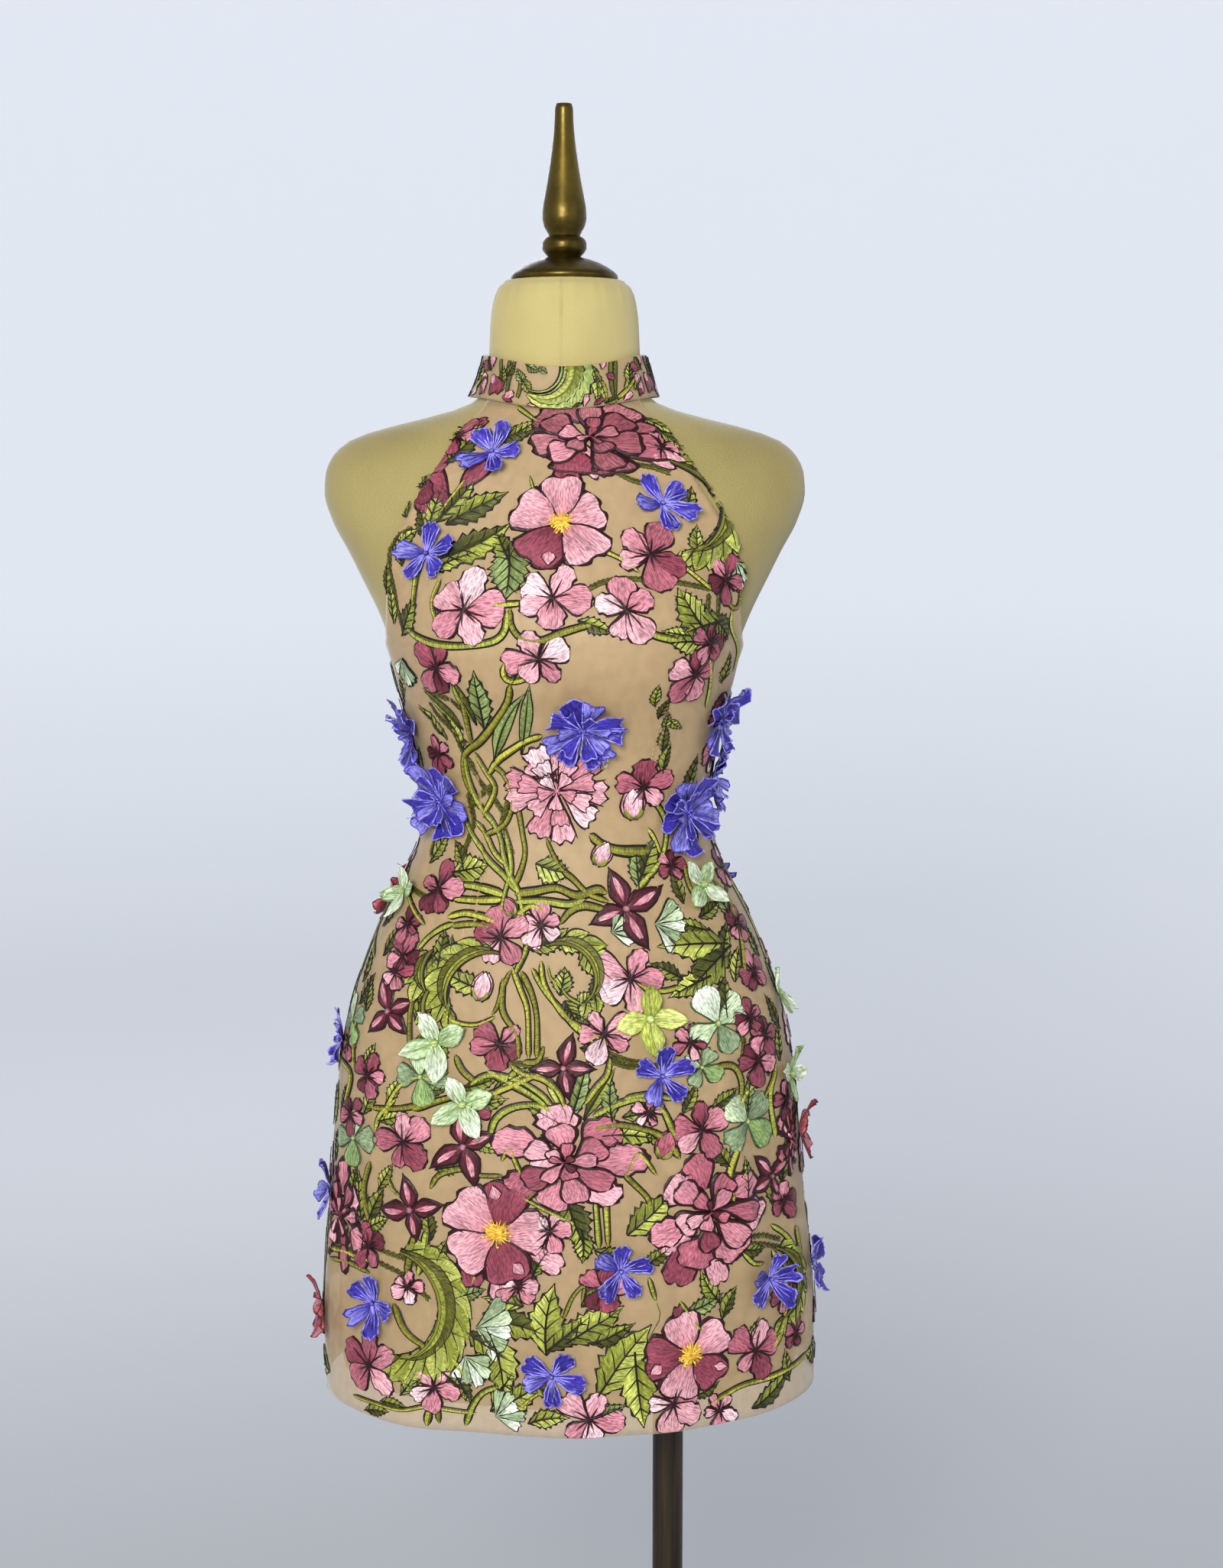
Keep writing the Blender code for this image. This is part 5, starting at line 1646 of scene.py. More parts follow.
@dataclass(frozen=True)
class ThreadFinish:
    """Satin-stitched thread: the colour is in the mesh, and this adds floss streaks that are partly painted sheen and
    painted shade, relief and gloss.
    """

    name: str
    roughness: float = 0.42
    sheen: float = 0.06
    contrast: float = 0.52

    @staticmethod
    def stitches() -> bpy.types.NodeTree:
        """The stitch pattern that all threads share: tone and relief from places on the cloth. The tone is partly
        painted light: lighter streaks of painted sheen and darker painted shade between stitches, over a real
        difference between threads.
        """
        found = bpy.data.node_groups.get("stitches")
        if found:
            return found
        group = bpy.data.node_groups.new("stitches", "ShaderNodeTree")
        group.interface.new_socket("Vector", in_out="INPUT", socket_type="NodeSocketVector")
        group.interface.new_socket("Tone", in_out="OUTPUT", socket_type="NodeSocketFloat")
        group.interface.new_socket("Relief", in_out="OUTPUT", socket_type="NodeSocketFloat")
        enter, leave = group.nodes.new("NodeGroupInput"), group.nodes.new("NodeGroupOutput")
        made = []
        for scale in ((130, 1250, 1), (240, 620, 1), (60, 60, 1)):
            mapping = group.nodes.new("ShaderNodeMapping")
            mapping.inputs["Scale"].default_value = scale
            group.links.new(enter.outputs["Vector"], mapping.inputs["Vector"])
            noise = group.nodes.new("ShaderNodeTexNoise")
            noise.inputs["Scale"].default_value = 1.0
            noise.inputs["Detail"].default_value = 1.5
            group.links.new(mapping.outputs["Vector"], noise.inputs["Vector"])
            made.append(noise.outputs["Fac"])

        def combine(kind: str, first: Socket, second: object) -> Socket:
            """A sum or product inside the group."""
            node = group.nodes.new("ShaderNodeMath")
            node.operation = kind
            group.links.new(first, node.inputs[0])
            if isinstance(second, Socket):
                group.links.new(second, node.inputs[1])
            else:
                node.inputs[1].default_value = second
            return node.outputs[0]

        fine = combine("MULTIPLY", made[0], 0.45)
        tone = combine("ADD", combine("ADD", fine, combine("MULTIPLY", made[1], 0.40)),
            combine("MULTIPLY", made[2], 0.15))
        relief = combine("ADD", combine("MULTIPLY", made[0], 0.65), combine("MULTIPLY", made[1], 0.35))
        group.links.new(tone, leave.inputs["Tone"])
        group.links.new(relief, leave.inputs["Relief"])
        return group

    def material(self) -> Material:
        """Builds the thread's material."""
        n = Nodes(self.name)
        group = n.add("ShaderNodeGroup", node_tree=self.stitches())
        n.link(n.coordinates("UV", (1, 1, 1)), group.inputs["Vector"])
        colour = n.add("ShaderNodeAttribute", attribute_name="thread")
        low, high = 1 - self.contrast, 1 + self.contrast * 0.9
        # painted light: the tone lightens and darkens the thread colour in streaks, as painted sheen and painted shade
        # between stitches
        tone = n.range(group.outputs["Tone"], 0.40, 0.60, low, high)
        scaled = n.add("ShaderNodeVectorMath", operation="SCALE")
        n.link(colour.outputs["Color"], scaled.inputs[0])
        n.link(tone, scaled.inputs["Scale"])
        n.feed(scaled.outputs[0], "Base Color")
        n.feed(n.range(group.outputs["Relief"], 0.35, 0.65, self.roughness + 0.12, self.roughness - 0.10),
            "Roughness")
        n.value("Specular IOR Level", 0.30)
        n.value("Sheen Weight", self.sheen)
        n.value("Sheen Roughness", 0.3)
        n.bump(group.outputs["Relief"], 0.0006, 1.0)
        return n.material


# ---------------------------------------------------------------- layout
# Angles are in degrees, and levels and sizes in millimetres.

# stems: width in mm, then the angles in degrees and levels in mm that each passes through
VINES = (
    (5.5, (-53.5, -115), (-48.5, -122), (-39.5, -127), (-29, -127), (-21.5, -122), (-18.5, -113), (-18.5, -101)),
    (5, (-24.5, -96), (-20, -96), (-13, -95)), (5.5, (-17.5, -98), (-17, -111), (-13.5, -122), (-7, -123),
    (1, -116), (12, -109)), (5.5, (24, -110), (29.5, -118), (38.5, -124)),
    (4, (43.5, -56), (42, -64), (45, -73), (52, -85)), (3.5, (57, -94), (61, -101), (64, -97), (64, -78),
    (62.5, -60)), (3.5, (60, -101), (61, -117), (70, -136), (71.5, -153)),
    (5.5, (-19.5, -140), (-20, -149), (-17.5, -153), (-13.5, -151), (-9.5, -145)),
    (6, (-18, -155), (-20.5, -169), (-27, -186), (-35, -202), (-42.5, -215), (-45, -231), (-42.5, -247)),
    (3.5, (-16.5, 1), (-14, -9), (-12, -17)), (3.5, (-46.5, 39), (-41.5, 26)), (3.5, (-41.5, 37), (-37, 25)),
    (3.5, (-31, 54), (-22.5, 48), (-15.5, 42)), (3.5, (-42.5, 0), (-43.5, -10), (-46, -19), (-47.5, -27)),
    (5.5, (-35, -162), (-37, -179), (-38, -196), (-39.5, -209)), (6, (-43, -215), (-43, -231), (-41.5, -246),
    (-38.5, -258), (-34, -267), (-29.5, -280), (-27.5, -294), (-24, -310), (-19.5, -325), (-16.5, -348)),
    (5.5, (-38.5, -212), (-34.5, -228), (-31.5, -241), (-33.5, -251), (-38.5, -265)),
    (5.5, (-32, -222), (-27, -229), (-24, -244), (-24.5, -259), (-28.5, -271), (-36.5, -280)),
    (5.5, (-46.5, -265), (-43.5, -277), (-38.5, -290), (-32.5, -301), (-27, -310), (-20.5, -323)),
    (5, (-41.5, -268), (-35.5, -280), (-31.5, -292), (-26, -302)), (6, (-23, -237), (-21.5, -257),
    (-19.5, -275), (-18, -293), (-19.5, -308), (-22, -320)), (5.5, (-27.5, -276), (-25, -294), (-23.5, -307),
    (-25, -322), (-26.5, -341)), (6, (-8.5, -197), (-15.5, -203), (-23, -210), (-29, -219), (-34, -231)),
    (5, (-8, -281), (-5.5, -291), (-1, -303), (4.5, -313), (11.5, -324), (20, -330)),
    (6.5, (-49, -325), (-42.5, -321), (-33.5, -321), (-25.5, -326)), (6, (-47, -331), (-37, -331),
    (-26.5, -329)), (6.5, (-21.5, -325), (-13, -321), (-3, -320), (6, -324), (14.5, -321), (19.5, -323)),
    (6, (-21, -331), (-9.5, -330), (2.5, -331), (10, -327)), (6, (-47.5, -345), (-41, -341), (-34, -344),
    (-27.5, -347)), (5.5, (-45, -352), (-37, -349), (-29.5, -351)), (5, (-56.5, -374), (-53.5, -363),
    (-49.5, -356), (-44.5, -350)), (6, (-22.5, -347), (-18, -337), (-13, -334), (-8, -337)),
    (6, (-2, -346), (2.5, -337), (9.5, -333), (18.5, -336)), (6, (37, -248), (43.5, -256), (47.5, -269),
    (48, -284), (44.5, -299), (39, -310), (31.5, -322)), (5, (39.5, -274), (42.5, -285), (44.5, -296)),
    (8, (12.5, -277), (19, -286), (27.5, -292), (40.5, -292)), (6, (-19, -336), (-16, -349), (-15.5, -364),
    (-17, -376), (-19.5, -386)), (5.5, (-20.5, -382), (-16.5, -398), (-14, -416), (-13.5, -452)),
    (5.5, (-17, -384), (-12.5, -403), (-10.5, -421), (-10, -452)), (5.5, (-12.5, -382), (-7.5, -398),
    (-1.5, -412), (5.5, -428), (14.5, -444)), (5.5, (-9, -376), (-8, -392), (-3.5, -408), (2.5, -421),
    (12, -434), (19.5, -443)), (4, (-21, -385), (-23.5, -398), (-25, -411), (-27.5, -418)),
    (3, (-6.5, -379), (-5, -388), (-0.5, -395), (2.5, -403), (8.5, -410), (14.5, -414)),
    (3.5, (-44, -417), (-39.5, -425), (-32.5, -426), (-25.5, -420)), (5.5, (-24, -389), (-23.5, -415),
    (-18, -434), (-17, -452)), (5, (-34, -475), (-29, -467), (-22.5, -466), (-16, -471), (-8.5, -480),
    (-3.5, -490)), (5.5, (-20, -457), (-15.5, -464), (-7.5, -468), (-1.5, -479), (0.5, -493)),
    (5, (-39, -451), (-36, -463), (-31.5, -472)), (6, (-26.5, -514), (-24.5, -500), (-19.5, -491), (-11, -490),
    (-3.5, -494)), (5.5, (7.5, -488), (12, -475), (16.5, -464), (18.5, -451)),
    (5.5, (11, -507), (20.5, -505), (30, -509), (36, -520), (40, -535)),
    (5.5, (11, -498), (20.5, -488), (28.5, -485), (35, -493), (39.5, -521)),
    (4, (-60, -511), (-58.5, -493), (-55, -479), (-50, -472), (-45, -473)),
    (5, (-65, -503), (-57, -500), (-49.5, -494), (-45.5, -487)), (4, (-62.5, -521), (-61, -507), (-57, -492)),
    (3.5, (-57.5, -554), (-55.5, -564), (-52.5, -571)), (4, (-45, -560), (-42.5, -549), (-36, -543),
    (-29, -546), (-22, -546)), (3.5, (-16.5, -562), (-6, -573), (5, -584)),
    (5, (-22.5, -535), (-20, -523), (-17, -536), (-13.5, -553)), (5, (21, -542), (25.5, -553), (29, -564),
    (30.5, -575)), (6, (11.5, -563), (12.5, -602)), (6, (15, -562), (15.5, -602)),
    (5.5, (-48.5, -595), (-49.5, -616), (-50.5, -633)), (5.5, (-45, -592), (-46, -615), (-47.5, -632)),
    (5, (-77.5, -630), (-67.5, -627), (-59, -629)), (4, (-77, -638), (-68, -636), (-62, -638)),
    (4, (56.5, -618), (60, -629), (64, -630)), (3.5, (-66.5, -744), (-58, -745), (-50.5, -744), (-44, -738),
    (-37, -740), (-30, -740)), (4, (-49.5, -704), (-51.5, -714), (-47, -727), (-42, -736), (-40.5, -752)),
    (5, (-33.5, -752), (-31, -734), (-27.5, -723), (-22, -717)), (5, (-43.5, -739), (-43.5, -754)),
    (3.5, (0, -660), (3, -641), (7, -634), (6, -647)), (4, (29, -628), (31, -649)),
    (5, (46, -739), (51.5, -732), (57, -728), (65, -728), (72.5, -726), (78.5, -722)),
    (5, (49, -471), (53.5, -463), (57.5, -467), (59.5, -481), (58.5, -498)),
    (4, (66.5, -601), (72, -615), (75.5, -636)), (4, (66.5, -497), (70.5, -484), (73, -469)),
    (4, (-63, -400), (-60.5, -387), (-64.5, -373)), (4, (-72, -328), (-64, -341), (-56, -354)),
    (4, (-75, -438), (-74.5, -457), (-72, -478)), (5, (-5.5, -545), (-10, -558), (-14, -564)),
    (4, (-32, -714), (-36, -703), (-39, -689)), (4, (-16, -737), (-11.5, -725), (-8, -720)),
    (5, (54, -304), (54, -322), (56, -335)), (4, (64.5, -482), (60, -493), (59, -505)),
    (3.5, (22.5, -546), (26.5, -528), (32.5, -547)), (5.5, (-16, -456), (-10, -452), (-7.5, -442)),
    (6, (-3, -498), (-10, -484), (-19.5, -471), (-28, -462)), (5.5, (-31.5, -487), (-22.5, -477), (-12.5, -467),
    (-3.5, -459)), (5.5, (-22.5, -485), (-33, -482), (-43, -488), (-51, -498)),
    (5.5, (22, -485), (31, -482), (39, -487)), (5, (-86.5, -490), (-87, -477), (-74.5, -480), (-74.5, -509)),
    (5, (67.5, -322), (72.5, -341), (70.5, -369), (66.5, -401)), (5, (72.5, -474), (68.5, -498), (70.5, -532)),
    (5.5, (66.5, -624), (71, -657), (69, -689), (64.5, -706)), (5, (75.5, -609), (77, -641), (74, -674)),
    (5, (85.5, -249), (87, -275), (92, -306)), (5, (-90, -336), (-89, -361), (-75.5, -387)),
    (5, (-63.5, -546), (-65, -574), (-62.5, -598)), (5, (-49.5, -55), (-51.5, -79), (-51, -103)),
    (4, (13.5, -54), (22, -61), (28, -72)), (5, (-54.5, -248), (-63.5, -275), (-64, -304)),
    (4, (48.5, -133), (53.5, -152), (57.5, -178)), (5, (-21.5, -584), (-27, -610), (-32, -637)),
    (5, (-54, -657), (-49, -680), (-40.5, -694)), (4, (39, -651), (44, -672), (45.5, -679)),
    (5, (56.5, -530), (54, -554), (55, -574)), (5, (-54, -402), (-54.5, -427), (-52.5, -452)),
    (5, (25, -391), (36, -400), (44.5, -399)), (4, (-42.5, -78), (-43, -96), (-39.5, -114)),
)
# dark stems of slanted stitches, given the same way
CHAINS = (
    ((8, -86), (14, -80), (20.5, -77), (31, -78), (41.5, -81), (52, -86)), ((50.5, -89), (49, -100), (49, -113)),
    ((54.5, -89), (53.5, -102), (51.5, -116)), ((-55, -38), (-59, -46), (-61.5, -56), (-62, -71), (-60.5, -86),
    (-59, -101), (-56, -116)), ((25.5, 4), (31, -2), (35.5, -5)), ((30.5, 11), (41.5, 7), (47, 2)),
    ((-52.5, -174), (-48, -189), (-41, -208)), ((-48.5, -164), (-41, -170), (-37, -179)),
    ((-40, -233), (-34.5, -245), (-28, -263)), ((-31.5, -238), (-38.5, -248), (-43.5, -259)),
    ((56.5, -604), (64, -608), (71, -618)), ((57, -610), (63.5, -615), (70.5, -624)),
    ((15.5, -447), (23.5, -454), (32, -458)), ((-22.5, -454), (-13.5, -457), (-5.5, -452)),
    ((-78.5, -612), (-67.5, -613), (-59.5, -611)), ((86.5, -259), (91.5, -303), (73, -335)),
    ((-72, -328), (-53.5, -335), (-49, -342)), ((72.5, -341), (71.5, -366), (68.5, -389)),
    ((-78, -618), (-62.5, -615), (-50, -620), (-41, -632)), ((-78, -626), (-63, -624), (-52, -632),
    (-43.5, -650)), ((15, -452), (23.5, -459), (36.5, -459)), ((-47, -176), (-43.5, -214), (-38, -239)),
    ((60.5, -423), (61.5, -449), (59.5, -471)), ((-24.5, -244), (-29, -270), (-24, -294)),
    ((-44.5, -246), (-42, -271), (-46, -296)), ((71.5, -625), (74, -661), (70.5, -697)),
    ((-66.5, 6), (-66, 18), (-63.5, 26)),
)
# angle, level, radius, turn, tone
FLOWERS = (
    (-32, -101, 31.5, 10, "light"), (-3.5, -92, 28, -8, "light"), (21.5, -101, 26.5, 95, "light"),
    (-8, -136, 24, 30, "light"), (-42, -144, 24, 60, "rose"), (45, -150, 24, 15, "mixed"),
    (32.5, -60, 29, 50, "mixed"), (36.5, -241, 24, 20, "mixed"), (-53.5, -325, 22, 80, "rose"),
    (-25.5, -358, 24, 100, "mixed"), (-9.5, -348, 18, 90, "light"), (26, -390, 28, 0, "light"),
    (15.5, -433, 23, 40, "light"), (-24, -441, 22, -20, "rose"), (-66, -478, 18, 10, "rose"),
    (-53, -525, 25.5, 35, "mixed"), (46.5, -513, 23, 15, "mixed"), (65.5, -465, 19.5, 50, "rose"),
    (64.5, -430, 16, 20, "rose"), (-61, -380, 20.5, 0, "rose"), (71, -397, 18, 30, "rose"),
    (-60.5, -714, 28, 20, "mixed"), (-42, -721, 22, 60, "light"), (8.5, -741, 26.5, 0, "light"),
    (35.5, -733, 24, 30, "light"), (59.5, -701, 24, 10, "mixed"), (49.5, -745, 16, 45, "light"),
    (73, -699, 14.5, 0, "rose"), (13.5, -635, 20.5, 15, "rose"), (-5, -589, 18, 70, "light"),
    (-81, -186, 16, 20, "rose"), (68, -184, 16, 10, "rose"), (80.5, -319, 18, 40, "rose"),
    (71.5, -585, 18, 10, "rose"), (30.5, -496, 13.5, 10, "light"), (-62.5, -617, 20.5, 30, "rose"),
    (57.5, -79, 20.5, 60, "rose"), (-52.5, 30, 18, 0, "rose"), (-57, 0, 26.5, 30, "rose"),
    (47, 21, 17, 20, "light"), (-77, -458, 14.5, 0, "rose"), (75, -503, 17, 30, "rose"),
    (-6.5, -231, 18, 0, "light"), (48, -306, 14.5, 0, "rose"), (49.5, -127, 18, 20, "rose"),
    (-63, -356, 16, 40, "rose"), (71.5, -359, 16, 70, "rose"), (-62, -393, 18, 80, "mixed"),
    (69, -447, 17, 0, "rose"), (-71.5, -513, 17, 60, "rose"), (69.5, -663, 16, 30, "rose"),
    (-50, -642, 14.5, 10, "light"), (44.5, -443, 14.5, 60, "mixed"), (-33, -497, 16, 10, "rose"),
    (-16, -634, 18, 80, "light"), (-56, -216, 16, 30, "rose"), (72.5, -220, 16, 70, "light"),
)
# angle, level, size, heading, tone
BUDS = (
    (33, -267, 18, 95, "light"), (-32, -408, 16, 80, "light"), (15, -302, 14.5, 60, "light"),
    (-21, -341, 11, 120, "rose"), (34, -534, 16, 70, "mixed"),
)
# angle, level, radius, turn
STARS = (
    (26.5, -336, 31.5, 12), (-61.5, -424, 28, 40), (0, -459, 26.5, 0), (-35, -524, 31.5, 25), (-50, -579, 30.5, 10),
    (67.5, -562, 24, 30), (91, -393, 18, 0),
)
# angle, level, radius, turn, tone
PALE_FLOWERS = (
    (-70, -532, 24, 0, "sage"), (-77.5, -440, 19.5, 30, "sage"), (-49, -471, 23, 10, "sage"),
    (53.5, -430, 29, 20, "mint"), (60.5, -512, 26.5, 45, "sage"), (37.5, -349, 23, -10, "fan"),
    (-30, -670, 29, -5, "fan"), (-33.5, -694, 24, -60, "fan"), (-23.5, -742, 22, 30, "fan"),
    (61, -65, 20.5, -70, "fan"), (-60.5, -140, 20.5, -100, "fan"), (47.5, -463, 17, 60, "sage"),
    (20, -354, 16, 20, "fan"),
)
# angle, level, length, width, heading, tone
LEAVES = (
    (-49.5, -23, 36.5, 14.5, 84, "light"), (-43.5, -18, 36.5, 16, 58, "olive"), (-35, -24, 45, 18, 32, "olive"),
    (-33.5, -49, 56, 22, 30, "olive"), (-39, -64, 36.5, 13.5, 24, "light"), (-20.5, -73, 39, 26.5, -84, "sage"),
    (-52.5, -35, 26.5, 12, 110, "olive"), (-56.5, -49, 26.5, 11, 40, "light"),
    (-53.5, -106, 31.5, 16, 62, "olive"), (-61.5, -98, 26.5, 11, 95, "light"), (-63, -77, 24, 8.5, 80, "olive"),
    (43, -100, 34, 24, 120, "light"), (47, -114, 37.5, 19.5, -170, "olive"),
    (40.5, -125, 32.5, 17, 178, "light"), (55.5, -117, 24, 17, -40, "olive"),
    (36.5, -118, 22, 9.5, 170, "light"), (-30.5, -169, 48.5, 16, 84, "sage"), (-22, -191, 63, 10.5, 62, "sage"),
    (-15, -184, 58, 9, 78, "sage"), (-36, -170, 40, 8.5, 100, "olive"), (-46.5, -178, 40, 9, 124, "olive"),
    (-54.5, -190, 32.5, 8.5, 128, "olive"), (-44.5, -195, 30.5, 7.5, 100, "light"),
    (-41.5, -307, 29, 20.5, 16, "light"), (-4.5, -304, 25.5, 19.5, -16, "light"),
    (-0.5, -391, 20.5, 14.5, 80, "light"), (3, -415, 18, 14.5, -60, "olive"), (9, -406, 17, 12, 40, "light"),
    (50, -369, 58, 23, 176, "light"), (54, -389, 56, 24, 212, "olive"), (50.5, -353, 30.5, 11, 160, "olive"),
    (62.5, -371, 36.5, 13.5, 60, "olive"), (48.5, -321, 28, 9.5, 100, "olive"),
    (-47.5, -370, 29, 14.5, 90, "olive"), (-52, -388, 34, 16, 240, "light"), (-68, -370, 28, 11, 70, "olive"),
    (-78.5, -395, 28, 11, 100, "light"), (6, -476, 47.5, 12, 74, "sage"), (-3.5, -480, 36.5, 8.5, 118, "light"),
    (13.5, -480, 42.5, 9.5, 58, "olive"), (24.5, -516, 42.5, 16, -6, "light"),
    (33, -516, 28, 9.5, -40, "olive"), (30, -577, 45, 22, 40, "light"), (4.5, -584, 39, 22, -70, "olive"),
    (6.5, -602, 24, 14.5, -90, "light"), (-16, -666, 51, 19.5, -16, "olive"),
    (-23.5, -701, 58, 24, -76, "light"), (-26, -684, 36.5, 16, -30, "olive"), (-4.5, -660, 52, 24, 84, "light"),
    (2, -671, 42.5, 16, 40, "olive"), (11, -665, 47.5, 23, 32, "light"), (20.5, -695, 63, 28, 52, "light"),
    (25.5, -720, 56, 25.5, -84, "light"), (-16.5, -725, 42.5, 19.5, 32, "light"),
    (-5, -743, 30.5, 13.5, 10, "light"), (65, -737, 45, 14.5, 30, "olive"), (74, -674, 36.5, 14.5, 84, "light"),
    (-66.5, -577, 36.5, 16, 100, "light"), (-61, -581, 31.5, 13.5, 66, "olive"),
    (-57, -507, 28, 9.5, 20, "light"), (-73.5, -412, 28, 12, 70, "olive"), (-8, -583, 18, 11, 120, "olive"),
    (67, -567, 34, 13.5, 96, "light"), (72.5, -659, 31.5, 13.5, 60, "olive"),
    (52.5, 39, 26.5, 12, -50, "light"), (52, 27, 24, 11, -60, "olive"), (-28.5, 32, 30.5, 13.5, 14, "olive"),
    (-23.5, 37, 24, 11, 40, "light"), (-48.5, 23, 31.5, 16, 70, "olive"), (-54.5, 32, 24, 11, 150, "light"),
    (-47.5, 37, 18, 7.5, 95, "light"), (33.5, -165, 18, 8, 95, "light"), (37.5, -176, 17, 7.5, 80, "olive"),
    (41, -187, 16, 7.5, 100, "light"), (45.5, -190, 18, 6, -30, "light"), (42, -201, 20.5, 8.5, 95, "olive"),
    (45, -217, 24, 9, 85, "olive"), (59, -233, 30.5, 11, 70, "olive"), (37.5, -299, 36.5, 18, 62, "olive"),
    (33, -304, 30.5, 12, 88, "sage"), (-48, -297, 24, 11, 120, "olive"), (-58.5, -293, 30.5, 11, 60, "light"),
    (-66.5, -461, 22, 9.5, 60, "light"), (54, -490, 25.5, 9.5, 30, "olive"), (61.5, -490, 26.5, 11, 80, "sage"),
    (60.5, -343, 26.5, 11, 20, "olive"), (-75.5, -503, 24, 11, 80, "sage"), (-38.5, -542, 24, 11, 10, "olive"),
    (-27.5, -523, 24, 8.5, -20, "light"), (-45.5, -481, 26.5, 9.5, 10, "olive"),
    (-57.5, -485, 24, 9.5, 60, "light"), (-30, -472, 28, 9.5, 20, "olive"),
    (16.5, -672, 36.5, 13.5, 20, "olive"), (-36, -716, 36.5, 13.5, -40, "olive"),
    (-58, -751, 24, 9.5, 10, "olive"), (47.5, -641, 30.5, 12, 120, "light"), (53, -657, 26.5, 11, 60, "olive"),
    (14, -449, 30.5, 9.5, -20, "olive"), (-18, -468, 34, 9.5, 30, "light"), (-5.5, -508, 24, 8.5, 60, "olive"),
    (75.5, -432, 30.5, 11, 110, "olive"), (75, -457, 26.5, 11, 80, "light"), (-58, 0, 26.5, 12, 150, "olive"),
    (-59, -19, 24, 11, 120, "light"), (-58, -55, 24, 11, 100, "olive"), (49, -19, 26.5, 12, 60, "olive"),
    (49.5, -49, 24, 11, 80, "light"), (-80, -158, 24, 11, 80, "sage"), (-71, -168, 26.5, 11, 60, "light"),
    (-81.5, -209, 24, 9.5, 95, "olive"), (63.5, -148, 24, 11, 95, "light"), (82.5, -184, 26.5, 11, 80, "olive"),
    (-73.5, -227, 26.5, 11, 70, "light"), (-77, -253, 26.5, 11, 100, "olive"),
    (-61.5, -268, 24, 9.5, 60, "light"), (61.5, -281, 26.5, 11, 120, "olive"),
    (87.5, -282, 28, 11, 70, "light"), (67, -339, 26.5, 12, 100, "sage"), (-77, -349, 30.5, 12, 80, "olive"),
    (-80, -325, 26.5, 11, 110, "light"), (-71.5, -416, 24, 12, 100, "olive"),
    (-50.5, -414, 26.5, 12, 70, "light"), (-38, -392, 36.5, 16, 160, "light"),
    (-43, -375, 30.5, 14.5, 100, "olive"), (-6, -360, 30.5, 14.5, 20, "olive"),
    (4, -363, 32.5, 14.5, -10, "light"), (11, -378, 28, 13.5, -60, "light"), (13, -398, 24, 11, -100, "olive"),
    (6.5, -420, 26.5, 9.5, -30, "olive"), (46.5, -400, 36.5, 16, 200, "light"),
    (39, -386, 26.5, 11, 150, "olive"), (58, -410, 30.5, 13.5, 80, "olive"), (65, -388, 28, 12, 60, "light"),
    (77, -375, 26.5, 11, 100, "olive"), (-43.5, -449, 24, 11, 80, "olive"),
    (-47.5, -438, 20.5, 9.5, 20, "light"), (-27.5, -490, 32.5, 11, 20, "light"),
    (-8, -495, 30.5, 11, 150, "olive"), (18, -483, 34, 12, 90, "sage"), (28.5, -496, 30.5, 11, 10, "light"),
    (43.5, -487, 24, 9.5, 60, "olive"), (52, -534, 26.5, 11, 120, "olive"), (58.5, -556, 30.5, 12, 90, "light"),
    (-65, -496, 26.5, 11, 70, "light"), (-69, -570, 29, 13.5, 80, "olive"), (-58.5, -556, 24, 11, 60, "light"),
    (-44.5, -588, 24, 11, 100, "olive"), (-60, -596, 24, 11, 30, "light"), (-8, -615, 26.5, 12, 60, "olive"),
    (-21.5, -648, 30.5, 13.5, 170, "light"), (11.5, -640, 28, 12, 40, "olive"),
    (17, -609, 26.5, 12, -20, "light"), (32, -611, 24, 11, 30, "olive"), (53.5, -618, 26.5, 11, 10, "light"),
    (60, -616, 26.5, 11, -10, "olive"), (46, -654, 30.5, 12, 20, "sage"), (59, -687, 26.5, 11, 60, "olive"),
    (70, -723, 26.5, 11, 100, "light"), (45.5, -725, 24, 9.5, 20, "olive"), (-48.5, -719, 26.5, 11, 60, "sage"),
    (-53, -741, 22, 8.5, 0, "olive"), (-34, -721, 26.5, 12, -60, "olive"), (-21, -718, 30.5, 13.5, 60, "light"),
    (-8, -717, 26.5, 12, -30, "olive"), (16, -736, 24, 11, 20, "sage"), (-41, -613, 26.5, 11, 70, "olive"),
    (-32, -643, 24, 11, 20, "sage"), (72.5, -553, 30.5, 13.5, 80, "olive"), (79, -519, 26.5, 12, 100, "light"),
    (71, -467, 26.5, 11, 60, "sage"), (-79, -546, 24, 11, 100, "olive"), (-80, -587, 24, 11, 70, "light"),
    (-23.5, -54, 30.5, 14.5, 120, "olive"), (-37, -107, 24, 11, 150, "olive"),
    (11.5, -113, 26.5, 11, -20, "olive"), (-14.5, -143, 24, 9.5, 60, "olive"),
)
# angle, level, radius, start, sweep, width, tone
CURLS = (
    (-28.5, -401, 31.5, 78, 140, 25.5, "light"), (-1.5, -388, 26.5, 112, -165, 23, "olive"),
    (-54.5, -657, 43.5, 82, -165, 37.5, "light"), (42.5, -22, 37.5, 70, -150, 28, "olive"),
    (65.5, -652, 30.5, 70, -150, 24, "light"), (-42, -413, 20.5, 150, 120, 13.5, "olive"),
    (-88.5, -368, 24, 100, 110, 16, "olive"), (-42.5, -387, 24, 140, 90, 20.5, "light"),
)
# angle, level, half width, half height, turn, tone
PEONIES = (
    (16, 30, 50, 35, 10, "dusky"), (0.5, -534, 53.5, 40, 0, "pink"), (48, -580, 49.5, 47.5, 40, "pink"),
    (-73, -599, 26.5, 42.5, 80, "pink"), (75, -536, 16, 26.5, 0, "pink"),
)
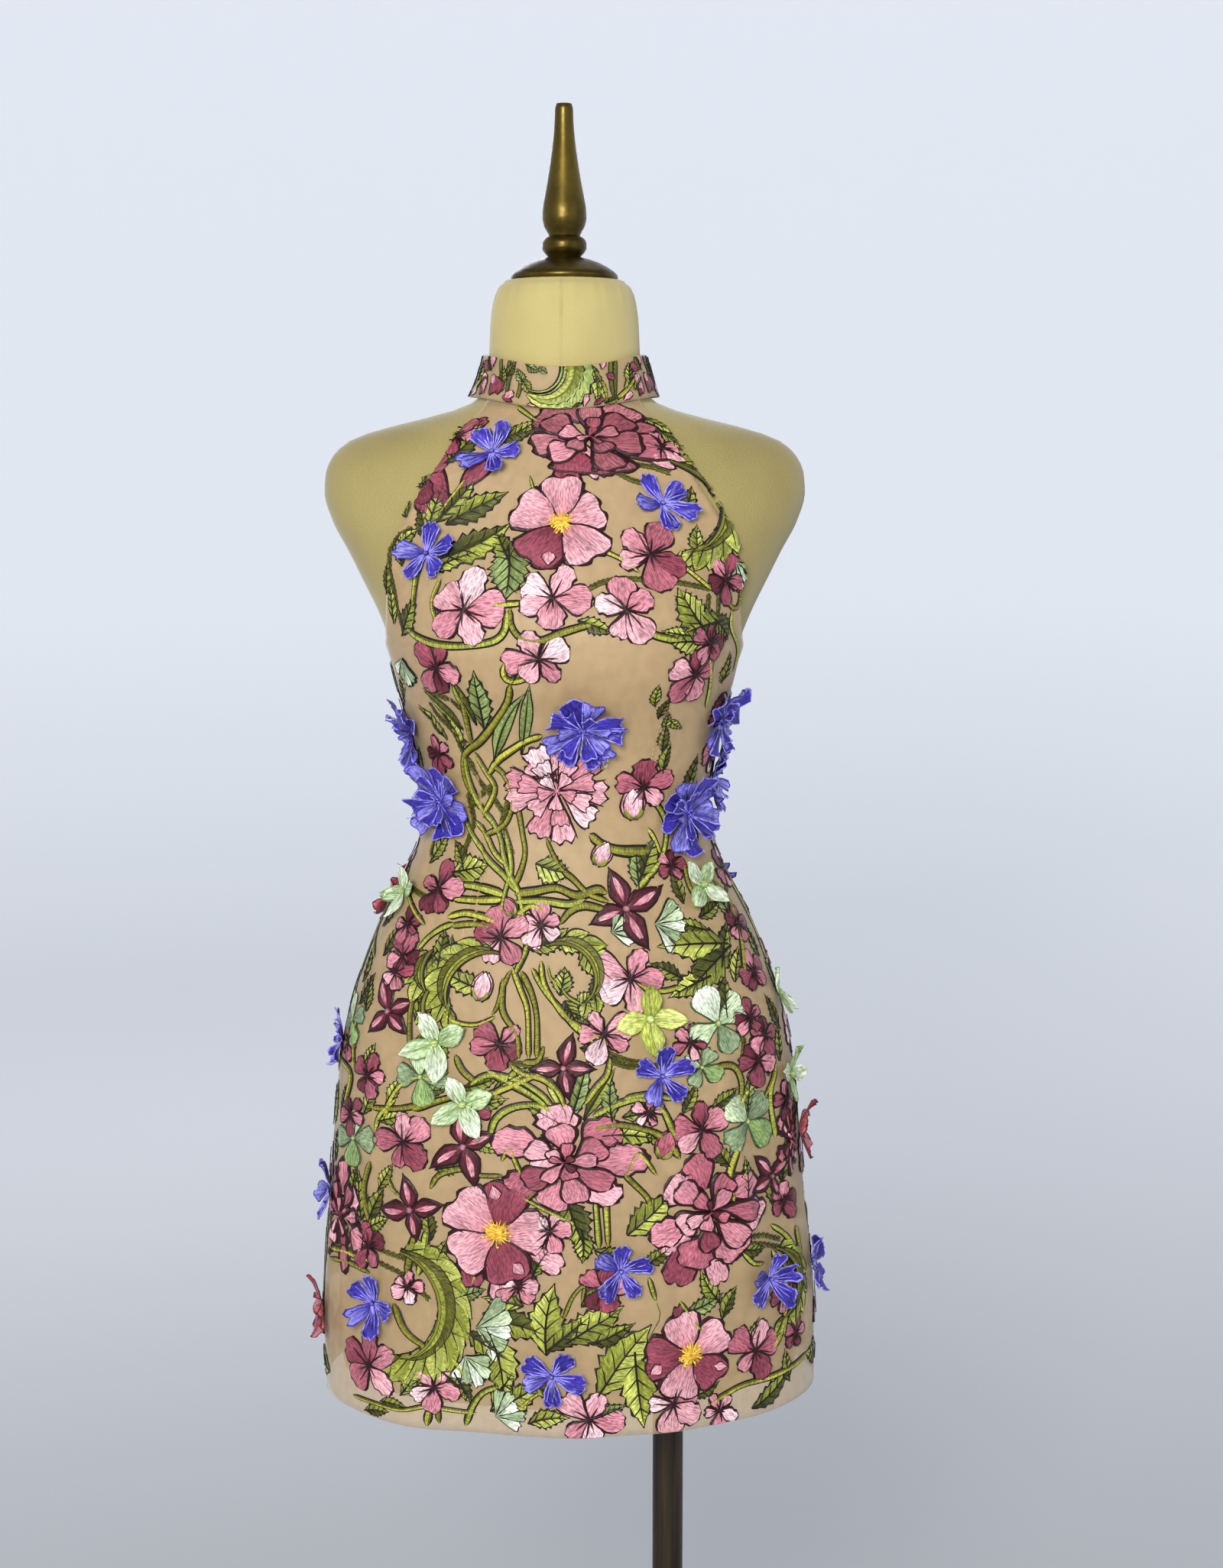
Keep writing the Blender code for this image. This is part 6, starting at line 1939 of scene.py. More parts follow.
# angle, level, half width, half height, turn
WILD_ROSES = ((-0.5, -35, 41, 40, 20), (-23.5, -592, 46, 46, 0), (41, -695, 40, 40, 35))
# angle, level, half width, half height, turn
CARNATIONS = ((-3, -242, 39, 40, 0),)
# single petals: angle, level, length, width, heading, tone
PETALS = (
    (-51, -8, 48.5, 22, 132, "rose"), (-53.5, -19, 30.5, 16, 118, "rose"), (-40, 2, 30.5, 20.5, 60, "rose"),
    (2, 3, 30.5, 24, -86, "rose"), (15.5, 12, 34, 18, -70, "light"), (44.5, 12, 26.5, 14.5, -20, "light"),
    (-6.5, -612, 34, 22, -30, "light"), (-60.5, 30, 26.5, 13.5, 50, "rose"), (-32, -624, 30.5, 22, -80, "rose"),
    (-16, -625, 34, 24, -60, "rose"), (-22.5, -635, 30.5, 20.5, -85, "light"),
    (39.5, -619, 42.5, 30.5, -110, "rose"), (49, -625, 36.5, 23, -70, "light"),
    (37.5, -599, 36.5, 26.5, 200, "light"), (-49.5, 39, 24, 14.5, 40, "rose"),
    (-5.5, -533, 36.5, 24, 230, "light"), (39, -664, 24, 14.5, 110, "rose"), (27.5, 30, 30.5, 18, 10, "rose"),
)


def both_sides(rows: Sequence[Sequence]) -> tuple:
    """Motifs over the side seam at +X, and the same at -X, a little lower."""
    return tuple(rows) + tuple((-angle, level - 9, *rest) for angle, level, *rest in rows)


FLOWERS += both_sides(((92, -212, 19, 20, "rose"), (99, -262, 20, 50, "mixed"), (89, -300, 18, 0, "light"),
    (98, -352, 21, 30, "rose"), (101, -430, 22, 10, "mixed"), (88, -455, 19, 60, "light"),
    (97, -505, 22, 35, "rose"), (88, -560, 20, 0, "mixed"), (99, -610, 23, 80, "light"), (89, -690, 22, 20, "rose"),
    (103, -720, 20, 10, "mixed"), (101, -182, 16, 30, "light")))
LEAVES += both_sides(((86, -228, 34, 16, 80, "light"), (103, -236, 32, 15, 110, "olive"),
    (94, -284, 32, 14, 60, "sage"), (104, -320, 36, 18, 100, "light"), (91, -382, 40, 18, 75, "olive"),
    (86, -412, 36, 17, 120, "light"), (95, -470, 40, 19, 60, "light"), (84, -505, 36, 17, 80, "olive"),
    (104, -545, 40, 18, 95, "light"), (94, -588, 44, 20, 110, "olive"), (86, -632, 42, 20, 70, "light"),
    (95, -655, 44, 22, 40, "light"), (97, -737, 36, 16, 10, "olive"), (83, -725, 38, 18, 170, "light"),
    (107, -395, 36, 17, 60, "olive"), (107, -480, 38, 18, 120, "sage"), (105, -675, 40, 19, 80, "olive"),
    (96, -186, 30, 14, 70, "olive")))
VINES += tuple((5.5, *((sign * angle, level - (7 if sign < 0 else 0)) for angle, level in way)) for sign in (1, -1)
    for way in (((90, -192), (94, -240), (91, -300), (95, -360)), ((95, -372), (90, -430), (94, -490), (90, -550)),
    ((90, -562), (96, -620), (91, -680), (94, -738)), ((101, -300), (98, -340), (104, -390)),
    ((84, -330), (88, -370), (85, -402)), ((104, -440), (100, -490), (105, -540)),
    ((84, -600), (88, -640), (84, -676))))


# On the neckband, angles are from the middle of a group, and levels are shares of the height.
# angle, share, length, width, heading, tone
BAND_LEAVES = (
    (21, 0.50, 34, 9.5, -84, "light"), (26, 0.34, 26, 7, -74, "light"), (49, 0.64, 17, 10, 82, "light"),
    (56, 0.38, 15, 7, 40, "light"), (2, 0.13, 17, 9, 12, "sage"), (12, 0.22, 15, 8, 60, "sage"),
    (-30, 0.66, 14, 9, 118, "sage"), (-25, 0.44, 15, 9, -55, "light"), (-21, 0.90, 13, 8, -20, "sage"),
    (-38, 0.80, 14, 8, 60, "olive"), (-44, 0.62, 15, 8, 95, "olive"), (60, 0.84, 14, 8, 120, "olive"),
    (33, 0.10, 14, 6, 10, "olive"), (-14, 0.88, 9, 6, 150, "sage"),
)
# angle, share, length, width, heading, tone
BAND_PETALS = (
    (-54, 0.10, 17, 12, 62, "rose"), (-47, 0.14, 14, 11, 80, "rose"), (-50, 0.26, 12, 8, 110, "light"),
    (-41, 0.08, 11, 8, 40, "light"), (-56, 0.74, 13, 10, 100, "light"), (-60, 0.66, 12, 9, 150, "rose"),
    (27, 0.84, 9, 7, 70, "light"), (30, 0.72, 9, 7, -30, "rose"), (25, 0.68, 8, 6, 200, "light"),
    (60, 0.10, 18, 10, 108, "light"), (55, 0.06, 12, 8, 60, "rose"), (14, 0.03, 12, 8, 84, "light"),
    (9, 0.02, 9, 7, 130, "rose"), (-24, 0.03, 11, 6, 14, "light"), (41, 0.04, 11, 7, 30, "light"),
    (-34, 0.04, 10, 6, 160, "rose"), (20, 0.04, 10, 6, 30, "rose"),
)
# stems: angle, share, length, width, heading, bend, tone
BAND_STEMS = (
    (34.5, 1.0, 30, 5.0, -98, 16, "leaf olive"), (38.5, 1.0, 31, 4.6, -100, 8, "leaf olive"),
    (37, 0.12, 28, 4.6, 24, 22, "stem light"), (44, 0.30, 17, 4.2, 64, -14, "stem light"),
    (-35, 1.0, 34, 4.4, -112, 30, "leaf olive"), (-39.5, 1.0, 26, 4.2, -96, -18, "leaf olive"),
    (-31, 0.16, 20, 4.0, 74, 24, "stem olive"), (-48, 0.98, 22, 4.2, -84, 26, "leaf olive"),
)
# the bands of the great curled leaf: start across and up in mm, length, width, side, cut, root, tip
SICKLE = Outline(((0, 1.0), (0.32, 0.94), (0.62, 0.62), (0.86, 0.30), (1, 0.05)), teeth=10, bite=0.14)
SICKLE_INSIDE = Outline(((0, 1.0), (0.32, 0.94), (0.62, 0.66), (0.86, 0.40), (1, 0.10)))
CURLED_LEAF = (
    (0, 0, 56, 32, (-1, 0), SICKLE, "leaf sage", "leaf pale"),
    (-1.0, 0, 53, 19, (-1, 0), SICKLE, "leaf olive", "leaf light"),
    (-1.0, 0, 53, 19, (0, 1), SICKLE_INSIDE, "leaf light", "leaf pale"),
    (-4.0, 0, 49, 7, (0, 1), SICKLE, "stem olive", "leaf light"),
    (-10.0, 0, 43, 4.6, (-1, 1), SICKLE_INSIDE, "leaf sage", "leaf pale"),
)

# cut-out blossoms: angle in degrees, level and radius in metres, turn
BLOSSOM_PLACES = {
    "violet": (
        (-36.0, 0.018, 0.0240, 70), (-48.5, -0.059, 0.0240, 20), (41.0, -0.021, 0.0245, 50),
        (35.0, -0.467, 0.0250, 90), (20.0, -0.622, 0.0245, 10), (-4.0, -0.706, 0.0255, 62),
        (-59.5, -0.661, 0.0260, 80), (64.5, -0.645, 0.0250, 5), (-84.0, -0.462, 0.0245, 30),
        (-82.0, -0.585, 0.0260, 55), (84.0, -0.652, 0.0250, 15), (116.0, -0.345, 0.0245, 15),
        (-134.0, -0.425, 0.0260, 50), (144.0, -0.545, 0.0255, 30), (-150.0, -0.640, 0.0245, 70),
        (112.0, -0.655, 0.0250, 5),
    ),
    "cornflower": (
        (8.5, -0.193, 0.0320, 0), (-74.0, -0.203, 0.0290, 20), (-59.0, -0.256, 0.0330, 40),
        (72.0, -0.192, 0.0290, 10), (59.0, -0.266, 0.0330, 30), (86.0, -0.243, 0.0280, 15),
        (124.0, -0.232, 0.0320, 10), (-128.0, -0.247, 0.0310, 35), (-150.0, -0.330, 0.0300, 20),
    ),
    "mint": (
        (-72.0, -0.334, 0.0235, 20), (60.0, -0.324, 0.0240, 45), (-45.0, -0.443, 0.0278, 25),
        (-35.5, -0.490, 0.0278, 25), (32.0, -0.422, 0.0280, 0), (84.0, -0.423, 0.0240, 35),
        (79.0, -0.486, 0.0235, 75), (148.0, -0.405, 0.0290, 25), (-112.0, -0.530, 0.0270, 55),
        (152.0, -0.690, 0.0250, 40),
    ),
    "rosette": (
        (-80.0, -0.686, 0.0250, 40), (83.0, -0.536, 0.0250, 15), (-104.0, -0.350, 0.0250, 30),
    ),
}
MINT_PETAL = Outline(((0, 0.30), (0.35, 0.92), (0.55, 1.0), (0.82, 0.62), (1, 0.08)))
VIOLET_PETAL = Outline(((0, 0.26), (0.25, 0.44), (0.50, 0.80), (0.66, 0.84), (0.84, 1.0), (1, 0.62)), 0.13, 0.16)


@dataclass
class Blossoms:
    """The cut-out blossoms, sewn on by their middles, with petals that stand off the cloth."""

    SLOTS = {"violet": "violet_thread", "cornflower": "violet_thread", "mint": "green_thread", "rosette": "rose_thread"}

    material: dict[str, Material]
    thickness: float = 0.0006
    foot: float = 0.0015

    def petals(self, work: Embroidery, spot: Spot, radius: float, turn: float, count: int, cut: Outline,
            wide: float, tones: Sequence[tuple[str, str, str]], cup: float, ruffle: float, veins: int) -> None:
        """One ring of petals.

        Args:
            work: The embroidery that takes them.
            spot: The blossom's place.
            radius: Its radius.
            turn: How far it is turned, in degrees.
            count: How many petals.
            cut: Their cut.
            wide: Their width, as a share of their length.
            tones: Root, tip and edge colours, taken in turn.
            cup: How far the tips stand off.
            ruffle: How far the edges wave.
            veins: Light lines on each petal.
        """
        for k in range(count):
            heading = turn + 360 * k / count + work.vary(-9, 9)
            size = radius * work.vary(0.90, 1.10)
            root, tip, edge = tones[k % len(tones)]
            stand = (cup * work.vary(0.5, 1.45), ruffle * work.vary(0.5, 1.3), work.vary(-0.0028, 0.0036))
            bend = work.vary(-18, 18)
            lift = self.foot + 0.0007 * (k % 2) + 0.0002 * k
            work.blade(spot, (0, 0), heading, (size, size * wide), cut, Paint(root, tip, edge, 0.0011, blend=1.0),
                lift, bend=bend, across=7, along=8, stand=stand)
            for v in range(veins):
                side = v - (veins - 1) / 2
                work.blade(spot, (0, 0), heading + 11 * side, (size * 0.78, 0.0011), STRIP,
                    Paint(edge, edge, edge, 0.0004), lift + 0.0005, bend=bend + 5 * side, across=1, along=6,
                    stand=(stand[0] * 0.72, 0.0, 0.0))

    def build(self) -> None:
        """Builds each kind as one piece."""
        blue = (("violet deep", "violet", "violet light"), ("violet", "violet", "violet light"),
            ("violet deep", "violet light", "violet"))
        for seed, (kind, places) in enumerate(BLOSSOM_PLACES.items()):
            work = Embroidery(f"{kind}_blossoms", 300 + seed)
            for number, (angle, level, radius, turn) in enumerate(places):
                spot = Spot(angle, level)
                if kind == "violet":
                    self.petals(work, spot, radius, turn, 5, VIOLET_PETAL, 0.66, blue, 0.0085, 0.0026, 3)
                    work.dome(spot, (0, 0), 0.0022, 0.0016, 0.0040, "violet light", "violet deep")
                elif kind == "cornflower":
                    self.petals(work, spot, radius, turn, 9, FRINGED, 0.56, blue, 0.0080, 0.0026, 1)
                    self.petals(work, spot, radius * 0.66, turn + 20, 7, FRINGED, 0.60, blue[::-1], 0.0100, 0.0020,
                        0)
                    for k in range(5):
                        work.dome(spot, polar(0.003, 1.3 * k), 0.0013, 0.0014, 0.0050, "violet light", "violet")
                elif kind == "mint":
                    lime = number == 4
                    tones = ((("lime", "lime light", "lime"), ("lime", "lime", "leaf light")) if lime
                        else (("mint deep", "mint", "mint deep"), ("mint deep", "mint white", "mint")))
                    self.petals(work, spot, radius, turn, 4, MINT_PETAL, 0.62, tones, 0.0075, 0.0018, 1)
                    work.dome(spot, (0, 0), 0.0036, 0.0022, 0.0036, "lime light", "mint deep")
                else:
                    tones = (("rosette", "rosette light", "rose deep"), ("rose deep", "rosette", "rose deep"))
                    self.petals(work, spot, radius, turn, 5, ROUND, 0.85, tones, 0.0095, 0.0022, 1)
                    work.dome(spot, (0, 0), 0.0026, 0.0016, 0.0040, "rosette light", "rose deep")
            nodes = [f"{kind}_{number + 1:02d}" for number in range(len(places))]
            slot = self.SLOTS[kind]
            work.finish(self.material[slot], slot, nodes, self.thickness)


@dataclass
class Garden:
    """The flat embroidery on the net: stems, leaves and flowers, front, back and neckband."""

    material: dict[str, Material]
    # how much larger each kind is worked than its row says
    stem_scale: float = 1.25
    leaf_scale: Pair = (1.14, 1.22)
    pale_scale: float = 1.12
    flower_scale: float = 1.04
    star_scale: float = 1.08
    peony_scale: float = 1.06
    back_stem: float = 0.0055
    chain_width: float = 0.0062

    def side(self, back: bool) -> None:
        """Works one side of the dress.

        Args:
            back: True for the back, which has the same kinds of motif as the front.
        """
        word, seed = ("back", 40) if back else ("front", 10)

        def rows(table: Sequence[Sequence], sizes: int) -> list[tuple]:
            """The motifs of a table that belong on this side, in metres: their spots, sizes and the rest."""
            found = []
            for angle, level, *rest in table:
                if back and (abs(angle) > 80 or level > -170):
                    continue
                turned, level = (angle + 180, level - 4) if back else (angle, level)
                found.append((turned, level * MM, *(size * MM for size in rest[:sizes]), *rest[sizes:]))
            return found

        def ways(table: Sequence[Sequence]) -> list[list[Pair]]:
            """The stems of a table that belong on this side."""
            found = []
            for way in table:
                if back and (max(level for _, level in way) > -160 or max(abs(a) for a, _ in way) > 84):
                    continue
                found.append([(a + 180, (level - 4) * MM) if back else (a, level * MM) for a, level in way])
            return found

        stems = Embroidery(f"stems_{word}", seed)
        for number, way in enumerate(ways([vine[1:] for vine in VINES])):
            width = VINES[number][0] * MM if not back else self.back_stem
            light = ("leaf light", "stem light", "stem mid")[number % 3]
            stems.route(way, width * self.stem_scale, light, "stem olive", "dark")
        for way in ways(CHAINS):
            stems.chain(way, self.chain_width)
        if not back:
            # one jump stitch that was never trimmed, and a little loop at the waist
            stems.thread([(31.5, -0.650), (32.4, -0.658), (32.0, -0.664), (28.4, -0.680)], 0.0009, "stem olive")
            loop = np.radians(np.linspace(0, 330, 12))
            stems.thread([(19 + cos(t), -0.219 + 0.0045 * sin(t)) for t in loop], 0.0008, "mint white")
        stems.finish(self.material["green_thread"], "green_thread")

        leaves = Embroidery(f"leaves_{word}", seed + 1, reach=0.0045)
        for angle, level, length, width, heading, tone in rows(LEAVES, 2):
            longer, wider = self.leaf_scale
            leaves.leaf(Spot(angle, level), length * longer, width * wider, heading, tone)
        for angle, level, radius, start, sweep, width, tone in rows(CURLS, 1):
            leaves.curl(Spot(angle, level), radius, start, sweep, width * MM, tone)
        for angle, level, radius, turn, tone in rows(PALE_FLOWERS, 1):
            leaves.cross_flower(Spot(angle, level), radius * self.pale_scale, turn, tone)
        leaves.finish(self.material["green_thread"], "green_thread")

        small = Embroidery(f"small_flowers_{word}", seed + 2)
        for angle, level, length, width, heading, tone in rows(PETALS, 2):
            tip, root = ("pink light", "pink") if tone == "light" else ("rose", "rose deep")
            way = radians(heading)
            small.blade(Spot(angle, level), polar(-length / 2, way), heading, (length, width), BROAD,
                Paint(root, tip, "wine", 0.0022, 0.0006, 0.0007, blend=0.7), 0.0002, across=6, along=7)
        for angle, level, radius, turn, tone in rows(FLOWERS, 1):
            small.flower(Spot(angle, level), radius * self.flower_scale, turn, tone)
        for angle, level, size, heading, tone in rows(BUDS, 1):
            small.bud(Spot(angle, level), size, heading, tone)
        small.finish(self.material["rose_thread"], "rose_thread")

        bold = Embroidery(f"bold_flowers_{word}", seed + 3)
        for angle, level, radius, turn in rows(STARS, 1):
            bold.star(Spot(angle, level), radius * self.star_scale, turn)
        for angle, level, wide, high, turn, tone in rows(PEONIES, 2):
            bold.peony(Spot(angle, level, 0, (1.0, high / wide)), wide * self.peony_scale, turn, tone)
        for number, (angle, level, wide, high, turn) in enumerate(rows(WILD_ROSES, 2)):
            dark = ((3,), (1, 4), (2, 4))[number % 3]
            bold.wild_rose(Spot(angle, level, 0, (1.0, high / wide)), wide, turn, dark)
        for angle, level, wide, high, turn in rows(CARNATIONS, 2):
            bold.carnation(Spot(angle, level, 0, (1.0, high / wide)), wide, turn)
        bold.finish(self.material["rose_thread"], "rose_thread")

    def band(self) -> None:
        """Works the neckband: the front's group of leaves and petals, and the same again on each side."""
        green = Embroidery("band_leaves", 70, band=True)
        rose = Embroidery("band_petals", 71, band=True)
        for middle in (0, 120, -120):
            for across, share, length, width, heading, bend, tone in BAND_STEMS:
                green.blade(BandSpot(middle + across, share), (0, 0), heading, (length * MM, width * MM), STRIP,
                    Paint(tone, tone, "dark", 0.0009, 0.0004, 0.0006, Lay.ACROSS), 0.0001, bend=bend, across=2,
                    along=8)
            for angle, share, length, width, heading, tone in BAND_LEAVES:
                green.leaf(BandSpot(middle + angle, share), length * MM, width * MM, heading, tone)
            top = BandSpot(middle + 8, 1.0)
            for number, (across, up, length, width, sides, cut, root, tip) in enumerate(CURLED_LEAF):
                green.blade(top, (across * MM, up * MM), -84, (length * MM, width * MM), cut,
                    Paint(root, tip, "dark", 0.0017, 0.0004, 0.0006, Lay.SLANTED, 0.8), 0.0009 + 0.0003 * number,
                    bend=-128, sides=sides, along=12)
            for angle, share, length, width, heading, tone in BAND_PETALS:
                root, tip = ("pink", "pink light") if tone == "light" else ("rose deep", "rose")
                rose.blade(BandSpot(middle + angle, share), (0, 0), heading, (length * MM, width * MM), LOBED,
                    Paint(root, tip, "wine", 0.0011, 0.0004, 0.0005), 0.0003 + 0.0002 * share, across=5)
        green.finish(self.material["green_thread"], "green_thread")
        rose.finish(self.material["rose_thread"], "rose_thread")

    def build(self) -> None:
        """Works the whole dress."""
        self.side(back=False)
        self.side(back=True)
        self.band()


def open_primitive(name: str) -> Piece:
    """Names the primitive just added, and opens it for editing with all of it selected."""
    piece = bpy.context.active_object
    piece.name = piece.data.name = name
    bpy.ops.object.mode_set(mode="EDIT")
    bpy.ops.mesh.select_all(action="SELECT")
    return piece


def close_edit(piece: Piece, sharp: float = 40.0) -> Piece:
    """Merges doubles, turns the normals outwards, and leaves the piece smooth where it is round."""
    bpy.ops.mesh.select_all(action="SELECT")
    bpy.ops.mesh.remove_doubles(threshold=0.00002)
    bpy.ops.mesh.normals_make_consistent(inside=False)
    bpy.ops.object.mode_set(mode="OBJECT")
    bpy.ops.object.transform_apply(location=True, rotation=True, scale=True)
    bpy.ops.object.shade_smooth_by_angle(angle=radians(sharp))
    piece.select_set(False)
    return piece


def turned(name: str, profile: Way, across: float = 0.0, sides: int = 64) -> Piece:
    """A piece turned on a lathe: a disc drawn up through a profile.

    Args:
        name: The piece's name.
        profile: Heights and radii from its foot to its top.
        across: Where its axis stands on X.
        sides: Faces round it.
    """
    bpy.ops.object.select_all(action="DESELECT")
    height, radius = profile[0]
    bpy.ops.mesh.primitive_circle_add(vertices=sides, radius=radius, fill_type="NGON", location=(across, 0, height))
    piece = open_primitive(name)
    for (below, before), (above, after) in zip(profile, profile[1:]):
        bpy.ops.mesh.extrude_region_move(TRANSFORM_OT_translate={"value": (0, 0, above - below)})
        share = max(after, 0.0002) / max(before, 0.0002)
        bpy.ops.transform.resize(value=(share, share, 1), center_override=(across, 0, above))
    return close_edit(piece, 50.0)


def rounded(low: float, high: float, radius: float, edge: float) -> list[Pair]:
    """The profile of a disc or post with rounded rims, from its foot to its top."""
    turns = [pi / 2 * k / 5 for k in range(6)]
    foot = [(low + edge * (1 - sin(t)), radius - edge * (1 - cos(t))) for t in reversed(turns)]
    top = [(high - edge * (1 - sin(t)), radius - edge * (1 - cos(t))) for t in turns]
    return foot + top[::-1] if top[0][0] > top[-1][0] else foot + top


@dataclass(frozen=True)
class HardFinish:
    """A hard surface: two tones in streaks or clouds, its gloss, and its fine wear."""

    name: str
    dark: Triple
    light: Triple
    stretch: Triple
    roughness: float
    metallic: float = 0.0
    coat: float = 0.0
    relief: float = 0.0002

    def material(self) -> Material:
        """Builds the surface on the object's own coordinates."""
        n = Nodes(self.name)
        streaks = n.noise(n.coordinates("Object", self.stretch), 1.0, 5.0, 0.6)
        n.feed(n.ramp(streaks, ((0.34, linear(*self.dark)), (0.68, linear(*self.light)))), "Base Color")
        wear = n.noise(n.coordinates("Object", (240, 240, 240)), 1.0, 3.0)
        n.feed(n.range(wear, 0.3, 0.7, self.roughness - 0.07, self.roughness + 0.10), "Roughness")
        n.value("Metallic", self.metallic)
        n.value("Specular IOR Level", 0.25)
        n.value("Coat Weight", self.coat)
        n.value("Coat Roughness", 0.2)
        n.bump(n.weighted(wear, 0.4, streaks, 0.6), self.relief, 0.6)
        return n.material


GILT = HardFinish("antique gold", (62, 50, 12), (108, 90, 36), (30, 30, 18), 0.36, 0.85, 0.10, 0.0003)
POLE_WOOD = HardFinish("dark stained pole", (14, 10, 5), (58, 46, 30), (160, 160, 5), 0.42, 0.0, 0.04)
BASE_WOOD = HardFinish("dark stained base", (26, 18, 11), (58, 42, 28), (6, 90, 90), 0.38, 0.0, 0.25)
IRON = HardFinish("blackened metal", (24, 23, 22), (52, 50, 47), (60, 60, 60), 0.46, 0.9, 0.0)
BUTTON_CLOTH = HardFinish("button cloth", (176, 146, 104), (206, 176, 132), (900, 900, 900), 0.55, 0.0, 0.0, 0.0002)


@dataclass(frozen=True)
class Stand:
    """The turned finial over the form, and the pole, socket, flange and base under it."""

    pole_radius: float = 0.013
    pole_offset: float = 0.086
    base_radius: float = 0.230
    base_height: float = 0.024
    socket_radius: float = 0.024
    socket_height: float = 0.045
    flange_radius: float = 0.038
    flange_height: float = 0.008
    torso_foot: float = 0.740

    def build(self) -> None:
        """Builds the hard pieces of the stand."""
        table = Table(FINIAL_ROWS)
        low, high = FINIAL_ROWS[0][0], FINIAL_ROWS[-1][0]
        levels = sorted({row[0] for row in FINIAL_ROWS} | set(np.linspace(low, high, 40)))
        profile = [(SHOULDER_HEIGHT + level, float(table.at(np.array(level))[0])) for level in levels]
        profile = [(profile[0][0], 0.03)] + profile + [(profile[-1][0] + 0.0004, 0.003)]
        dress_piece(turned("finial_turned", profile), GILT.material(), "gilt", "neck_finial")
        x, wood, iron = self.pole_offset, POLE_WOOD.material(), IRON.material()
        foot = self.base_height + CLEARANCE
        under = self.torso_foot - CLEARANCE - self.flange_height
        pole = rounded(foot, under - CLEARANCE, self.pole_radius, 0.0006)
        dress_piece(turned("pole_turned", pole, x, 48), wood, "dark_wood", "pole")
        collar = rounded(foot, foot + self.socket_height, self.socket_radius, 0.002)
        dress_piece(turned("socket_turned", collar, x), iron, "dark_metal", "pole_socket")
        plate = rounded(under, under + self.flange_height, self.flange_radius, 0.0012)
        dress_piece(turned("flange_turned", plate, x), iron, "dark_metal", "form_flange")
        disc = rounded(0.0, self.base_height, self.base_radius, 0.004)
        groove = [(self.base_height, self.base_radius * 0.94), (self.base_height - 0.0012, self.base_radius * 0.93),
            (self.base_height, self.base_radius * 0.92)]
        dress_piece(turned("base_turned", disc + groove, 0.0, 128), BASE_WOOD.material(), "dark_wood", "base")


@dataclass
class Closure:
    """The two covered buttons and their loops at the nape, and the stitching of the seams and hems."""

    thread: Material
    angle: float = 174.0
    radius: float = 0.0048
    height: float = 0.0030
    shares: Pair = (0.26, 0.74)
    seams: tuple[float, ...] = (-178.2, 178.2, -90.0, 90.0)
    darts: tuple[Pair, ...] = ((-1, -38.5), (1, 39.5))

    def buttons(self) -> None:
        """Two domed buttons covered in the lining's cloth."""
        cloth = BUTTON_CLOTH.material()
        for number, share in enumerate(self.shares):
            turn = radians(self.angle)
            foot = Neckband.points(turn, share, BAND_THICKNESS + CLEARANCE)
            out = Vector((sin(turn), -cos(turn), 0))
            bpy.ops.object.select_all(action="DESELECT")
            bpy.ops.mesh.primitive_uv_sphere_add(segments=32, ring_count=16, radius=self.radius,
                location=Vector(foot), rotation=out.to_track_quat("Z", "Y").to_euler())
            piece = open_primitive(f"button_{number + 1}_covered")
            bpy.ops.mesh.bisect(plane_co=Vector(foot), plane_no=out, clear_inner=True, use_fill=True)
            bpy.ops.object.mode_set(mode="OBJECT")
            piece.scale = (1, 1, self.height / self.radius)
            bpy.ops.object.mode_set(mode="EDIT")
            close_edit(piece)
            dress_piece(piece, cloth, "button", f"neckband_button_{number + 1}")

    def build(self) -> None:
        """Builds the buttons, their loops and the stitching."""
        self.buttons()
        loops = Embroidery("nape_loops", 90, band=True)
        for share in self.shares:
            turns = np.radians(np.linspace(25, 335, 15))
            reach = self.radius + 0.0010
            way = [(self.angle + degrees(reach * cos(t) / BAND_RADIUS), share + reach * sin(t) / BAND_HEIGHT)
                for t in turns]
            loops.thread(way + [(self.angle + 3.4, share + 0.03)], 0.0016, "tan")
        loops.finish(self.thread, "net")
        seams = Embroidery("seam_stitching", 91)
        for angle in self.seams:
            top = UNDERARM - 0.008 if abs(angle) < 91 else UNDERARM - BACK_DIP - 0.004
            seams.stitches([(angle, OVERLAY_HEM + 0.008), (angle, top)])
        for side, angle in self.darts:
            seams.stitches([(angle + 3 * side, -0.405), (angle, -0.28), (angle - side, -0.170)])
        seams.finish(self.thread, "net")
        hem = Embroidery("lining_hem_stitching", 92, layer=Layer.LINING)
        hem.stitches([(angle, LINING_HEM + 0.014) for angle in range(-178, 179, 4)])
        hem.finish(self.thread, "lining")


